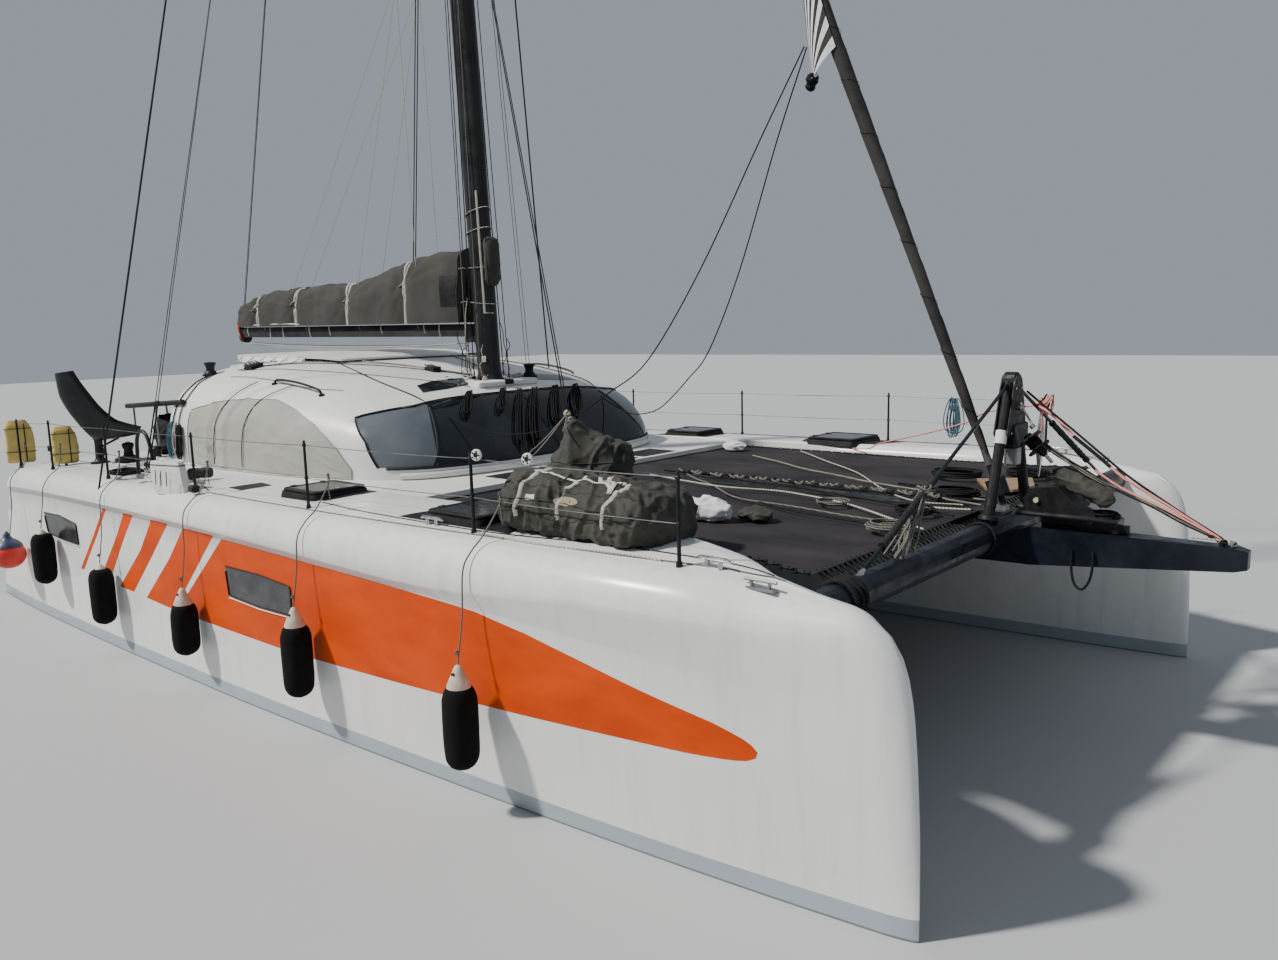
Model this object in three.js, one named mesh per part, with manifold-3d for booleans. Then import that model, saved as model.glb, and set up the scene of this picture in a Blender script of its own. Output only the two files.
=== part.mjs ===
// A 13 m performance cruising catamaran, afloat and moored, with its sails stowed.
// Millimetres. +X is the bow, +Y is port, +Z is up; the origin is on the centreline, amidships, at the waterline.
import * as THREE from 'three';
import * as BufferGeometryUtils from 'three/addons/utils/BufferGeometryUtils.js';
import Module from 'manifold-3d';

const wasm = await Module();
wasm.setup();

// Fits
const SEAT = 0.3;              // gap between faces that touch
const RUN = 8;                 // running gap round a board or a stock
const GUIDE = 2.5;             // growth of the board's outline where the trunk's mouth guides it

// Hulls
const HULL_Y = 3080;           // from the centreline to a hull's own centre plane
const HULL_IN = 550;           // half breadth of the hull's inner wall where the bridge deck meets it
const DECK_CROWN = 0.06;        // rise of the deck from its edge to its middle, for each mm of half breadth
const DECK_RISE = 0.08;         // and to its inner edge
const EDGE_R = 240;            // the rounded outer deck edge
const INNER_R = 15;            // the inner edge, where the bridge deck meets it
const NET_EDGE_R = 120;        // and beside the nets
const STERN_SHORT = 1050;       // how far the deck stops short of the transom's foot

// Bridge deck and cabin
const DECK_Z = 1990;
const TUB_AFT = -5300;
const TUB_FORE = 1450;
const TUB_BOTTOM = 800;
const FLOOR_Z = 1200;
const WELL_Y = 2050;           // half width of the saloon and cockpit well
const WELL_AFT = -5050;
const WELL_FORE = 0;
const SHELL = 45;              // thickness of the coach roof
const ROOF_AFT = -4200;
const SIDE_AFT = -3480;        // the cabin side ends here and a visor goes on
const VISOR_Y = 1250;          // the visor's half width
const BULKHEAD_X = -3450;
const BULKHEAD_T = 40;

// Rig
const MAST_X = -390;           // mast centre at the roof
const MAST_FOOT = 2850;
const MAST_TOP = 20000;
const RAKE = 0.0419;           // mm aft for each mm up
const HOUNDS = 18900;
const STAY_TOP = 18910;
const BEAM_X = 5870;
const BEAM_Z = 1800;
const BEAM_R = 113;
const GOOSE_X = -690;          // vertical axis of the gooseneck
const BOOM_Z = 3400;           // underside of the boom at the mast
const BOOM_H = 150;
const BOOM_END = -6100;
const BOOM_RISE = 40;

// Foils and drives
const BOARD_X = -1930;
const BOARD_Y = 3200;
const BOARD_CHORD = 620;
const BOARD_T = 90;
const BOARD_TOP = 2200;
const BOARD_FOOT = -1900;
const RUDDER_X = -5550;
const STOCK_R = 38;
const BEARING_Z = 1965;        // flat top of the rudder bearing's boss
const BEARING_R = 90;
const TILLER_Z = 2040;
const DRIVE_X = -3600;
const PROP_Z = -820;

// Guard rails
const POST_H = 620;
const POST_R = 13;
const WIRE_R = 5;
const WIRE_UP = [300, 590];
// Posts: x, distance from the centreline
const POSTS = [
  [-5640, 3440], [-4680, 3400], [-3050, 3400], [-1050, 3365], [950, 3320], [3140, 3290], [5050, 3250],
];

const SIDES = [
  { name: 'starboard', s: -1 },
  { name: 'port', s: 1 },
];

const boat = new THREE.Group();

const paint = {
  gelcoat: { color: 0xe9e8e4, roughness: 0.28, metalness: 0 },
  carbon: { color: 0x101215, roughness: 0.35, metalness: 0 },
  glass: { color: 0x14171b, roughness: 0.08, metalness: 0 },
  canvas: { color: 0xa3a39b, roughness: 0.9, metalness: 0 },
  cover: { color: 0x4b4c4e, roughness: 0.9, metalness: 0 },
  net: { color: 0x202226, roughness: 0.95, metalness: 0 },
  steel: { color: 0x9a9ea3, roughness: 0.3, metalness: 1 },
  black: { color: 0x0e0f11, roughness: 0.7, metalness: 0 },
  yellow: { color: 0xd6b24b, roughness: 0.85, metalness: 0 },
  red: { color: 0xc8231c, roughness: 0.5, metalness: 0 },
  foil: { color: 0xdedfdd, roughness: 0.35, metalness: 0 },
};

// A triangle mesh from points and faces, turned so that its faces point out.
function meshOf(points, faces) {
  let volume = 0;
  for (const [a, b, c] of faces) {
    volume += points[a].dot(new THREE.Vector3().crossVectors(points[b], points[c]));
  }
  const flat = points.flatMap((p) => [p.x, p.y, p.z]);
  const index = faces.flatMap(([a, b, c]) => (volume > 0 ? [a, b, c] : [a, c, b]));
  const geometry = new THREE.BufferGeometry();
  geometry.setAttribute('position', new THREE.Float32BufferAttribute(flat, 3));
  geometry.setIndex(index);
  return geometry;
}

// Rings of equal length joined into a skin, with a fan over each end.
function loft(rings) {
  const n = rings[0].length;
  const points = rings.flat();
  const faces = [];
  for (let r = 0; r + 1 < rings.length; r += 1) {
    for (let i = 0; i < n; i += 1) {
      const a = r * n + i;
      const b = r * n + (i + 1) % n;
      faces.push([a, b, b + n], [a, b + n, a + n]);
    }
  }
  for (const [r, flip] of [[0, true], [rings.length - 1, false]]) {
    const middle = rings[r].reduce((sum, p) => sum.add(p), new THREE.Vector3()).divideScalar(n);
    const hub = points.push(middle) - 1;
    for (let i = 0; i < n; i += 1) {
      const a = r * n + i;
      const b = r * n + (i + 1) % n;
      faces.push(flip ? [hub, b, a] : [hub, a, b]);
    }
  }
  return meshOf(points, faces);
}

function solidOf(geometry) {
  const bare = geometry.clone();
  bare.deleteAttribute('normal');
  bare.deleteAttribute('uv');
  const merged = BufferGeometryUtils.mergeVertices(bare, 1e-3);
  return new wasm.Manifold(new wasm.Mesh({
    numProp: 3,
    vertProperties: new Float32Array(merged.attributes.position.array),
    triVerts: new Uint32Array(merged.index.array),
  }));
}

function geometryOf(solid) {
  const mesh = solid.getMesh();
  const geometry = new THREE.BufferGeometry();
  geometry.setAttribute('position', new THREE.Float32BufferAttribute(mesh.vertProperties, 3));
  geometry.setIndex(Array.from(mesh.triVerts));
  return geometry;
}

function box(x0, x1, y0, y1, z0, z1) {
  const geometry = new THREE.BoxGeometry(x1 - x0, Math.abs(y1 - y0), z1 - z0);
  return geometry.translate((x0 + x1) / 2, (y0 + y1) / 2, (z0 + z1) / 2);
}

// A straight round bar from a to b; its end may have another radius.
function rod(a, b, radius, sides = 10, endRadius = radius) {
  const from = new THREE.Vector3(...a);
  const to = new THREE.Vector3(...b);
  const span = to.clone().sub(from);
  const geometry = new THREE.CylinderGeometry(endRadius, radius, span.length(), sides);
  const turn = new THREE.Quaternion().setFromUnitVectors(new THREE.Vector3(0, 1, 0), span.normalize());
  geometry.applyQuaternion(turn);
  const mid = from.add(to).multiplyScalar(0.5);
  return geometry.translate(mid.x, mid.y, mid.z);
}

// An outline in X and Z, extruded across Y.
function plateXZ(outline, y0, y1) {
  const shape = new THREE.Shape(outline.map(([x, z]) => new THREE.Vector2(x, z)));
  const geometry = new THREE.ExtrudeGeometry(shape, { depth: y1 - y0, bevelEnabled: false });
  return geometry.rotateX(Math.PI / 2).translate(0, y1, 0);
}

// An outline in X and Y, extruded up Z.
function plateXY(outline, z0, z1) {
  const shape = new THREE.Shape(outline.map(([x, y]) => new THREE.Vector2(x, y)));
  return new THREE.ExtrudeGeometry(shape, { depth: z1 - z0, bevelEnabled: false }).translate(0, 0, z0);
}

function join(...parts) {
  return parts.reduce((sum, part) => sum.add(part));
}

function add(name, geometry, look) {
  const mesh = new THREE.Mesh(geometry, new THREE.MeshStandardMaterial(paint[look]));
  mesh.name = name;
  boat.add(mesh);
  return mesh;
}

function addSolid(name, solid, look) {
  return add(name, geometryOf(solid), look);
}

// Straight-line value from a table of [position, value] rows.
function along(table, at, column = 1) {
  const last = table[table.length - 1];
  if (at <= table[0][0]) return table[0][column];
  if (at >= last[0]) return last[column];
  const i = table.findIndex((row) => row[0] > at);
  const [low, high] = [table[i - 1], table[i]];
  return low[column] + (high[column] - low[column]) * (at - low[0]) / (high[0] - low[0]);
}

// Hull stations from stern to stem:
// station, half breadth at the waterline, at the crease and at the gunwale, half breadth of the inner wall,
// keel height, crease height, deck height, height where the inner wall starts, share of the end's slope
const STATIONS = [
  [-6900, 340, 400, 440, 420, -20, 1500, 1820, 850, 1],
  [-6200, 385, 450, 505, 500, -110, 1550, 1850, 900, 0.5],
  [-5400, 420, 467, 527, HULL_IN, -220, 1590, 1885, 930, 0],
  [-4200, 445, 470, 530, HULL_IN, -380, 1610, 1910, 950, 0],
  [-2500, 460, 470, 532, HULL_IN, -500, 1610, 1925, 950, 0],
  [-700, 455, 470, 532, HULL_IN, -540, 1600, 1940, 950, 0],
  [1000, 415, 470, 530, HULL_IN, -540, 1575, 1965, 950, 0],
  [2600, 345, 466, 528, HULL_IN, -510, 1540, 1985, 1000, 0],
  [3600, 290, 455, 525, 548, -480, 1500, 2000, 1100, 0],
  [4500, 232, 405, 500, 530, -440, 1450, 2010, 1200, 0],
  [5200, 178, 340, 410, 410, -380, 1400, 1998, 1250, 0.05],
  [5800, 122, 225, 270, 255, -300, 1360, 1965, 1280, 0.42],
  [6300, 66, 122, 145, 140, -200, 1330, 1925, 1300, 0.8],
  [6600, 26, 55, 64, 62, -120, 1300, 1895, 1300, 1],
];
const NETS_FROM = 2600;        // stations ahead of this have nets beside them
// How far forward the stem reaches at each height: height, distance back from the plumb line
const STEM = [
  [-200, 40], [0, 0], [500, 5], [900, 22], [1260, 50], [1470, 80], [1600, 115], [1700, 165], [1790, 250],
  [1870, 390], [1905, 550],
];

function hullRing(row, side) {
  const [station, water, crease, gunwale, inner, keel, creaseZ, deckZ, wallZ, slope] = row;
  const fore = station > 0;
  const round = Math.min(EDGE_R, gunwale * 0.55);
  const innerRound = station > NETS_FROM ? Math.min(NET_EDGE_R, inner * 0.55) : INNER_R;
  const innerZ = deckZ + DECK_RISE * inner;
  const edge = [0, 22.5, 45, 67.5, 90].map((deg) => {
    const turn = THREE.MathUtils.degToRad(deg);
    return [gunwale - round * (1 - Math.cos(turn)), deckZ - round * (1 - Math.sin(turn))];
  });
  const outline = [
    [0, keel],
    [0.55 * water, keel * 0.86],
    [0.9 * water, keel * 0.45],
    [water, 0],
    [water + 0.62 * (crease - water), 0.5 * creaseZ],
    [crease, creaseZ],
    [gunwale, creaseZ + 70],
    ...edge,
    [0, deckZ + DECK_CROWN * gunwale],
    [-(inner - innerRound), innerZ],
    [-inner, innerZ - innerRound],
    [-inner, wallZ],
    [-(water + 0.3 * (inner - water)), 0.5 * wallZ],
    [-water, 0],
    [-0.9 * water, keel * 0.45],
    [-0.55 * water, keel * 0.86],
  ];
  return outline.map(([out, z]) => {
    const shift = fore ? -slope * along(STEM, z) : slope * STERN_SHORT * Math.max(z, 0) / DECK_Z;
    return new THREE.Vector3(station + shift, side * (HULL_Y + out), z);
  });
}

function foilOutline(x, y, chord, thick) {
  const share = [[0.5, 0], [0.36, 0.34], [0.12, 0.5], [-0.2, 0.42], [-0.5, 0.04]];
  const upper = share.map(([u, v]) => [x + u * chord, y + v * thick]);
  const lower = share.slice(1).reverse().map(([u, v]) => [x + u * chord, y - v * thick]);
  return [...upper, ...lower];
}

// Deck hatches: fore and aft centre, distance from the centreline, size
const HATCHES = [
  { label: 'midship', x: 480, y: 2860, size: 560 },
  { label: 'forward', x: 2760, y: 2870, size: 640 },
];
const COAMING = 40;
const LID_T = 26;

function hatchZ(hatch) {
  return along(STATIONS, hatch.x, 7) + DECK_RISE * HULL_IN + COAMING;
}

function coaming(hatch, s) {
  const half = hatch.size / 2;
  const y = s * hatch.y;
  const top = hatchZ(hatch);
  const outer = solidOf(box(hatch.x - half, hatch.x + half, y - half, y + half, top - 160, top));
  const hole = half - 40;
  const inner = solidOf(box(hatch.x - hole, hatch.x + hole, y - hole, y + hole, top - COAMING, top + 50));
  return outer.subtract(inner);
}

const hulls = {};
for (const { name, s } of SIDES) {
  const body = solidOf(loft(STATIONS.map((row) => hullRing(row, s))));
  const grown = (by) => foilOutline(BOARD_X, s * BOARD_Y, BOARD_CHORD + 2 * by, BOARD_T + 2 * by);
  const slot = join(solidOf(plateXY(grown(RUN), -900, 1850)), solidOf(plateXY(grown(GUIDE), 1800, 2600)));
  const boss = solidOf(rod([RUDDER_X, s * HULL_Y, 1800], [RUDDER_X, s * HULL_Y, BEARING_Z], BEARING_R, 20));
  const bore = solidOf(rod([RUDDER_X, s * HULL_Y, -900], [RUDDER_X, s * HULL_Y, 2600], STOCK_R + RUN, 16));
  const yIn = s * (HULL_Y - 600);
  const yOut = s * (HULL_Y + 200);
  const lowStep = solidOf(box(-7200, -6200, Math.min(yIn, yOut), Math.max(yIn, yOut), 620, 2600));
  const highStep = solidOf(box(-7200, -5860, Math.min(yIn, yOut), Math.max(yIn, yOut), 1250, 2600));
  const wells = HATCHES.map((hatch) => coaming(hatch, s));
  const cuts = join(slot, bore, lowStep, highStep);
  hulls[name] = join(body, boss, ...wells).subtract(cuts);
  addSolid(`hull_${name}`, hulls[name], 'gelcoat');
}

// A copy of a hull moved by the seat gap, for cutting what rests on it.
function hullCutter(name, s, outward, up) {
  return hulls[name].translate([0, s * outward, up]);
}

// Bridge deck: the slab between the hulls with the saloon and cockpit well sunk in it
function bridgeDeck() {
  const y = HULL_Y - HULL_IN - SEAT;
  const outline = [[-y, DECK_Z], [-y, 960], [-2250, TUB_BOTTOM], [2250, TUB_BOTTOM], [y, 960], [y, DECK_Z]];
  const shape = new THREE.Shape(outline.map(([a, b]) => new THREE.Vector2(a, b)));
  const slab = new THREE.ExtrudeGeometry(shape, { depth: TUB_FORE - TUB_AFT, bevelEnabled: false });
  slab.applyMatrix4(new THREE.Matrix4().set(0, 0, 1, TUB_AFT, 1, 0, 0, 0, 0, 1, 0, 0, 0, 0, 0, 1));
  const well = solidOf(box(WELL_AFT, WELL_FORE, -WELL_Y, WELL_Y, FLOOR_Z, 2600));
  const fall = plateXZ([[TUB_AFT - 50, 1925], [-3700, DECK_Z], [-3700, 2100], [TUB_AFT - 50, 2100]], -2600, 2600);
  const nose = plateXZ([[TUB_FORE - 420, 700], [TUB_FORE + 50, 700], [TUB_FORE + 50, 1350]], -2600, 2600);
  return solidOf(slab).subtract(well).subtract(solidOf(nose)).subtract(solidOf(fall));
}
addSolid('bridge_deck', bridgeDeck(), 'gelcoat');

// Coach roof stations: x, half width at the deck, crown height
const ROOF = [
  [ROOF_AFT, 2420, 3110],
  [-3500, 2480, 3155],
  [-2500, 2480, 3160],
  [-1600, 2440, 3090],
  [-900, 2370, 2995],
  [-390, 2290, 2905],
  [-100, 2215, 2835],
  [80, 2150, 2770],
  [220, 2065, 2690],
  [360, 1970, 2580],
  [500, 1840, 2450],
  [620, 1640, 2330],
  [720, 1330, 2215],
  [800, 860, 2110],
  [850, 350, 2030],
];
const ROOF_POWER = 3.6;
const ROOF_ARCS = 16;

// The roof as a solid dome, drawn in by the given inset, with a straight skirt below the deck.
const SKIRT = 850;
function dome(inset) {
  const floor = DECK_Z + SEAT;
  const rings = ROOF.map(([x, half, crown], row) => {
    const ring = [];
    const w = half - inset;
    const h = Math.max(crown - inset - floor, 4);
    const end = row === ROOF.length - 1 ? -inset : 0;
    const start = row === 0 ? inset : 0;
    ring.push(new THREE.Vector3(x + start + end, w, floor - SKIRT));
    for (let i = 0; i <= ROOF_ARCS; i += 1) {
      const t = Math.PI * i / ROOF_ARCS;
      const c = Math.cos(t);
      const y = w * Math.sign(c) * Math.abs(c) ** (2 / ROOF_POWER);
      const z = floor + h * Math.abs(Math.sin(t)) ** (2 / ROOF_POWER);
      ring.push(new THREE.Vector3(x + start + end, y, z));
    }
    ring.push(new THREE.Vector3(x + start + end, -w, floor - SKIRT));
    return ring;
  });
  return solidOf(loft(rings));
}

const WINDSCREEN = [[210, 2115], [1200, 2115], [1200, 3100], [90, 3100], [80, 2700], [-200, 2620], [70, 2380]];
const SIDE_WINDOW = [
  [-3010, 2090], [-70, 2090], [-230, 2310], [-640, 2550], [-1010, 2670], [-1400, 2765], [-2370, 2735], [-3010, 2600],
];

function shrunk(outline, by) {
  const cx = outline.reduce((sum, p) => sum + p[0], 0) / outline.length;
  const cz = outline.reduce((sum, p) => sum + p[1], 0) / outline.length;
  return outline.map(([x, z]) => {
    const reach = Math.hypot(x - cx, z - cz);
    const share = (reach - by) / reach;
    return [cx + (x - cx) * share, cz + (z - cz) * share];
  });
}

const outerDome = dome(0).subtract(solidOf(box(-4500, 2000, -2800, 2800, 1000, DECK_Z + SEAT)));
const innerDome = dome(SHELL);

function coachRoof() {
  const underRoof = solidOf(box(ROOF_AFT - 100, SIDE_AFT, -2700, 2700, 1900, 2740));
  const aftEnd = solidOf(box(ROOF_AFT - 100, ROOF_AFT + 60, -2300, 2300, 1900, 3030));
  const corners = [-1, 1].map((s) => solidOf(
    box(ROOF_AFT - 100, SIDE_AFT, s > 0 ? VISOR_Y : -2700, s > 0 ? 2700 : -VISOR_Y, 1900, 3300)));
  const screen = solidOf(plateXZ(WINDSCREEN, -2700, 2700));
  const sides = solidOf(plateXZ(SIDE_WINDOW, -2700, 2700));
  const shell = outerDome.subtract(innerDome).subtract(join(underRoof, aftEnd, ...corners));
  return shell.subtract(screen).subtract(sides);
}
const roof = coachRoof();
addSolid('coach_roof', roof, 'gelcoat');

function pane(outline, outside, inside, y0, y1) {
  const skin = dome(outside).subtract(dome(inside));
  return skin.intersect(solidOf(plateXZ(shrunk(outline, 1), y0, y1)));
}
addSolid('windscreen', pane(WINDSCREEN, 12, 26, -2700, 2700), 'glass');
for (const { name, s } of SIDES) {
  const [y0, y1] = s < 0 ? [-2700, -1000] : [1000, 2700];
  addSolid(`window_cover_${name}`, pane(SIDE_WINDOW, 6, 20, y0, y1), 'canvas');
}

// The saloon's aft bulkhead, with its doorway and window, and the sliding door behind it
const DOOR = { y0: -450, y1: 450, z0: FLOOR_Z + 20, z1: 2950, t: 34 };
function bulkhead() {
  const back = BULKHEAD_X;
  const front = BULKHEAD_X + BULKHEAD_T;
  const low = solidOf(box(back, front, -WELL_Y + SEAT, WELL_Y - SEAT, FLOOR_Z + SEAT, DECK_Z + 30));
  const high = solidOf(box(back, front, -2600, 2600, DECK_Z + SEAT, 3300)).intersect(dome(SHELL + SEAT));
  const doorway = solidOf(box(back - 50, front + 50, DOOR.y0 + 60, DOOR.y1 - 60, DOOR.z0 + 60, DOOR.z1 - 80));
  const light = solidOf(box(back - 50, front + 50, -1900, -700, 2080, 2780));
  return join(low, high).subtract(doorway).subtract(light);
}
addSolid('aft_bulkhead', bulkhead(), 'gelcoat');
const doorX = BULKHEAD_X - 6;
const doorFrame = solidOf(box(doorX - DOOR.t, doorX, DOOR.y0, DOOR.y1, DOOR.z0, DOOR.z1));
addSolid('saloon_door', doorFrame, 'glass');
const sill = box(doorX - DOOR.t - 10, BULKHEAD_X - SEAT, DOOR.y0 - 40, 1480, FLOOR_Z + SEAT, DOOR.z0 - SEAT);
add('door_track', sill, 'steel');

// Saloon: settee to port, galley to starboard, mast post in the middle
function settee() {
  const base = solidOf(box(-3000, -1000, 1300, WELL_Y - SEAT, FLOOR_Z + SEAT, 1640));
  const back = solidOf(box(-3000, -1000, 1860, WELL_Y - SEAT, 1600, 1960));
  return join(base, back);
}
addSolid('saloon_settee', settee(), 'canvas');
add('galley_counter', box(-3000, -1000, -WELL_Y + SEAT, -1400, FLOOR_Z + SEAT, 1960), 'gelcoat');
function mastPost() {
  return solidOf(rod([MAST_X, 0, FLOOR_Z + SEAT], [MAST_X, 0, 3000], 60, 16)).intersect(dome(SHELL + SEAT));
}
addSolid('mast_post', mastPost(), 'carbon');

function cockpitBench() {
  const base = solidOf(box(WELL_AFT + SEAT, -4500, -1700, 1700, FLOOR_Z + SEAT, 1640));
  const back = solidOf(box(WELL_AFT + SEAT, -4970, -1700, 1700, 1600, 1900));
  return join(base, back);
}
addSolid('cockpit_bench', cockpitBench(), 'gelcoat');

// Fore part: crossbeam, spine, nets, sprit and striker
function crossbeam() {
  const bar = solidOf(rod([BEAM_X, -3080, BEAM_Z], [BEAM_X, 3080, BEAM_Z], BEAM_R, 20));
  return bar.subtract(hullCutter('starboard', -1, -SEAT, 0)).subtract(hullCutter('port', 1, -SEAT, 0));
}
addSolid('crossbeam', crossbeam(), 'carbon');
const beamCut = solidOf(rod([BEAM_X, -3080, BEAM_Z], [BEAM_X, 3080, BEAM_Z], BEAM_R + SEAT, 20));

const NET_Z = 1925;
const NET_T = 12;
const SPINE_Y = 110;
function spine() {
  return solidOf(box(TUB_FORE + SEAT, BEAM_X, -SPINE_Y, SPINE_Y, 1800, 1940)).subtract(beamCut);
}
addSolid('net_spine', spine(), 'carbon');
for (const { name, s } of SIDES) {
  const edge = [
    [TUB_FORE + SEAT, SPINE_Y + SEAT], [5690, SPINE_Y + SEAT], [5690, 2740], [5200, 2590], [4500, 2480],
    [TUB_FORE + SEAT, 2480],
  ];
  add(`trampoline_${name}`, plateXY(edge.map(([x, y]) => [x, s * y]), NET_Z, NET_Z + NET_T), 'net');
}

// Sprit: a tapered box beam from the spine's foot, under the crossbeam, to its tip
const SPRIT_TIP = 7590;
function bowsprit() {
  const rows = [
    [5640, 110, 1530, 1680],
    [6100, 110, 1540, 1850],
    [SPRIT_TIP - 80, 70, 1670, 1840],
    [SPRIT_TIP, 50, 1690, 1820],
  ];
  const rings = rows.map(([x, y, low, high]) => [
    new THREE.Vector3(x, -y, low), new THREE.Vector3(x, y, low), new THREE.Vector3(x, y, high),
    new THREE.Vector3(x, -y, high),
  ]);
  return solidOf(loft(rings)).subtract(beamCut);
}
addSolid('bowsprit', bowsprit(), 'carbon');

const STRIKER = { top: 2980, foot: 1830, spread: 430, r: 42, gusset: 2560 };
function striker() {
  const legs = [-1, 1].map((s) => solidOf(rod(
    [BEAM_X, s * STRIKER.spread, STRIKER.foot], [BEAM_X, s * 40, STRIKER.top], STRIKER.r, 12)));
  const outline = [[-150, STRIKER.gusset], [150, STRIKER.gusset], [55, STRIKER.top], [-55, STRIKER.top]];
  const shape = new THREE.Shape(outline.map(([y, z]) => new THREE.Vector2(y, z)));
  const web = new THREE.ExtrudeGeometry(shape, { depth: 40, bevelEnabled: false });
  web.applyMatrix4(new THREE.Matrix4().set(0, 0, 1, BEAM_X - 20, 1, 0, 0, 0, 0, 1, 0, 0, 0, 0, 0, 1));
  const head = solidOf(rod([BEAM_X - 45, 0, STRIKER.top], [BEAM_X + 45, 0, STRIKER.top], 78, 16));
  return join(...legs, solidOf(web), head).subtract(beamCut);
}
const strikerSolid = striker();
addSolid('striker_frame', strikerSolid, 'carbon');
const strikerCut = { 1: strikerSolid.translate([0, SEAT, 0]), '-1': strikerSolid.translate([0, -SEAT, 0]) };
for (const { name, s } of SIDES) {
  const stay = solidOf(rod([BEAM_X, s * 2560, BEAM_Z + 60], [BEAM_X, s * 30, STRIKER.top], 14, 8));
  addSolid(`striker_stay_${name}`, stay.subtract(beamCut).subtract(strikerCut[s]), 'carbon');
}

// Mast, with one pair of spreaders
// Mast section: height, half length fore and aft, half width
const MAST_RINGS = [[2600, 170, 115], [9000, 170, 115], [15000, 148, 102], [MAST_TOP, 92, 68]];
function mastX(z) {
  return MAST_X - RAKE * (z - MAST_FOOT);
}
function mastBody(grow = 0) {
  const rings = MAST_RINGS.map(([z, fore, across]) => {
    const ring = [];
    for (let i = 0; i < 14; i += 1) {
      const t = 2 * Math.PI * i / 14;
      ring.push(new THREE.Vector3(
        mastX(z) + (fore + grow) * Math.cos(t), (across + grow) * Math.sin(t), z));
    }
    return ring;
  });
  return solidOf(loft(rings));
}
const SPREADER_Z = 10500;
const TIP = { x: -1950, y: 1905, z: 10540 };
function mast() {
  const arms = [-1, 1].map((s) => solidOf(rod(
    [mastX(SPREADER_Z), s * 20, SPREADER_Z], [TIP.x, s * TIP.y, TIP.z], 45, 8, 26)));
  return join(mastBody(), ...arms).subtract(dome(-SEAT));
}
const mastSolid = mast();
addSolid('mast', mastSolid, 'carbon');
const mastCut = mastBody(SEAT);

function eightSided(x, y, z, radius) {
  return [0, 1, 2, 3, 4, 5, 6, 7].map((i) => {
    const t = Math.PI * i / 4;
    return new THREE.Vector3(x + radius * Math.cos(t), y + radius * Math.sin(t), z);
  });
}

// A shroud runs from the deck edge past the spreader's tip to the hounds
const CHAIN = { x: -2950, y: 3560, z: 1800 };
const SHROUD_R = 12;
for (const { name, s } of SIDES) {
  const route = [[CHAIN.x, s * CHAIN.y, CHAIN.z], [TIP.x, s * (TIP.y + 28), TIP.z], [mastX(HOUNDS), 0, HOUNDS]];
  const wire = solidOf(loft(route.map(([x, y, z]) => eightSided(x, y, z, SHROUD_R))));
  addSolid(`shroud_${name}`, wire.subtract(mastCut).subtract(hullCutter(name, s, 0, SEAT)), 'carbon');
}

// Forestay with the furled headsail: height, radius of the roll
const STAY_FOOT = { x: 5842, z: 1980 };
const ROLL = [[2330, 30], [2800, 46], [4300, 56], [5500, 66], [7000, 78], [12000, 72], [17200, 46], [18300, 20]];
function stayX(z) {
  return STAY_FOOT.x + (mastX(STAY_TOP) - STAY_FOOT.x) * (z - STAY_FOOT.z) / (STAY_TOP - STAY_FOOT.z);
}
function furledSail() {
  const rings = ROLL.map(([z, r]) => {
    const ring = [];
    for (let i = 0; i < 14; i += 1) {
      const t = 2 * Math.PI * i / 14;
      ring.push(new THREE.Vector3(stayX(z) + r * Math.cos(t), r * Math.sin(t), z));
    }
    return ring;
  });
  const wire = solidOf(rod([stayX(STAY_TOP), 0, STAY_TOP], [stayX(2300), 0, 2300], 10, 8));
  return join(solidOf(loft(rings)), wire).subtract(mastBody(SEAT));
}
addSolid('furled_headsail', furledSail(), 'cover');
const drumTop = [stayX(2300 - SEAT), 0, 2300 - SEAT];
const drum = join(
  solidOf(rod([stayX(1990), 0, 1990], drumTop, 26, 12)),
  solidOf(rod([stayX(2060), 0, 2060], [stayX(2190), 0, 2190], 82, 18)),
);
addSolid('furler_drum', drum, 'black');
add('stay_bracket', box(5780, BEAM_X - 2, -40, 40, 1940 + SEAT, 1980), 'steel');

// Boom and its stowed sail, both on the gooseneck's axis
function boomZ(x) {
  return BOOM_Z + BOOM_RISE * (GOOSE_X - x) / (GOOSE_X - BOOM_END);
}
function boom() {
  const rows = [[GOOSE_X - 20, 70], [-1200, 90], [-5900, 90], [BOOM_END, 60]];
  const rings = rows.map(([x, half]) => {
    const z = boomZ(x);
    const mid = BOOM_H / 2;
    return [[-half, 0], [half, 0], [half + 20, mid], [half, BOOM_H], [-half, BOOM_H], [-half - 20, mid]].map(
      ([y, up]) => new THREE.Vector3(x, y, z + up));
  });
  const boss = solidOf(rod([GOOSE_X, 0, BOOM_Z], [GOOSE_X, 0, BOOM_Z + BOOM_H - 20], 70, 18));
  const flat = solidOf(box(GOOSE_X - 60, GOOSE_X + 100, -200, 200, BOOM_Z - 60, BOOM_Z));
  return join(solidOf(loft(rings)), boss).subtract(flat);
}
addSolid('boom', boom(), 'carbon');
function gooseneck() {
  const shelf = solidOf(box(GOOSE_X - 40, mastX(BOOM_Z) + 40, -50, 50, BOOM_Z - 70, BOOM_Z - SEAT));
  return shelf.subtract(mastCut);
}
addSolid('gooseneck', gooseneck(), 'steel');

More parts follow.
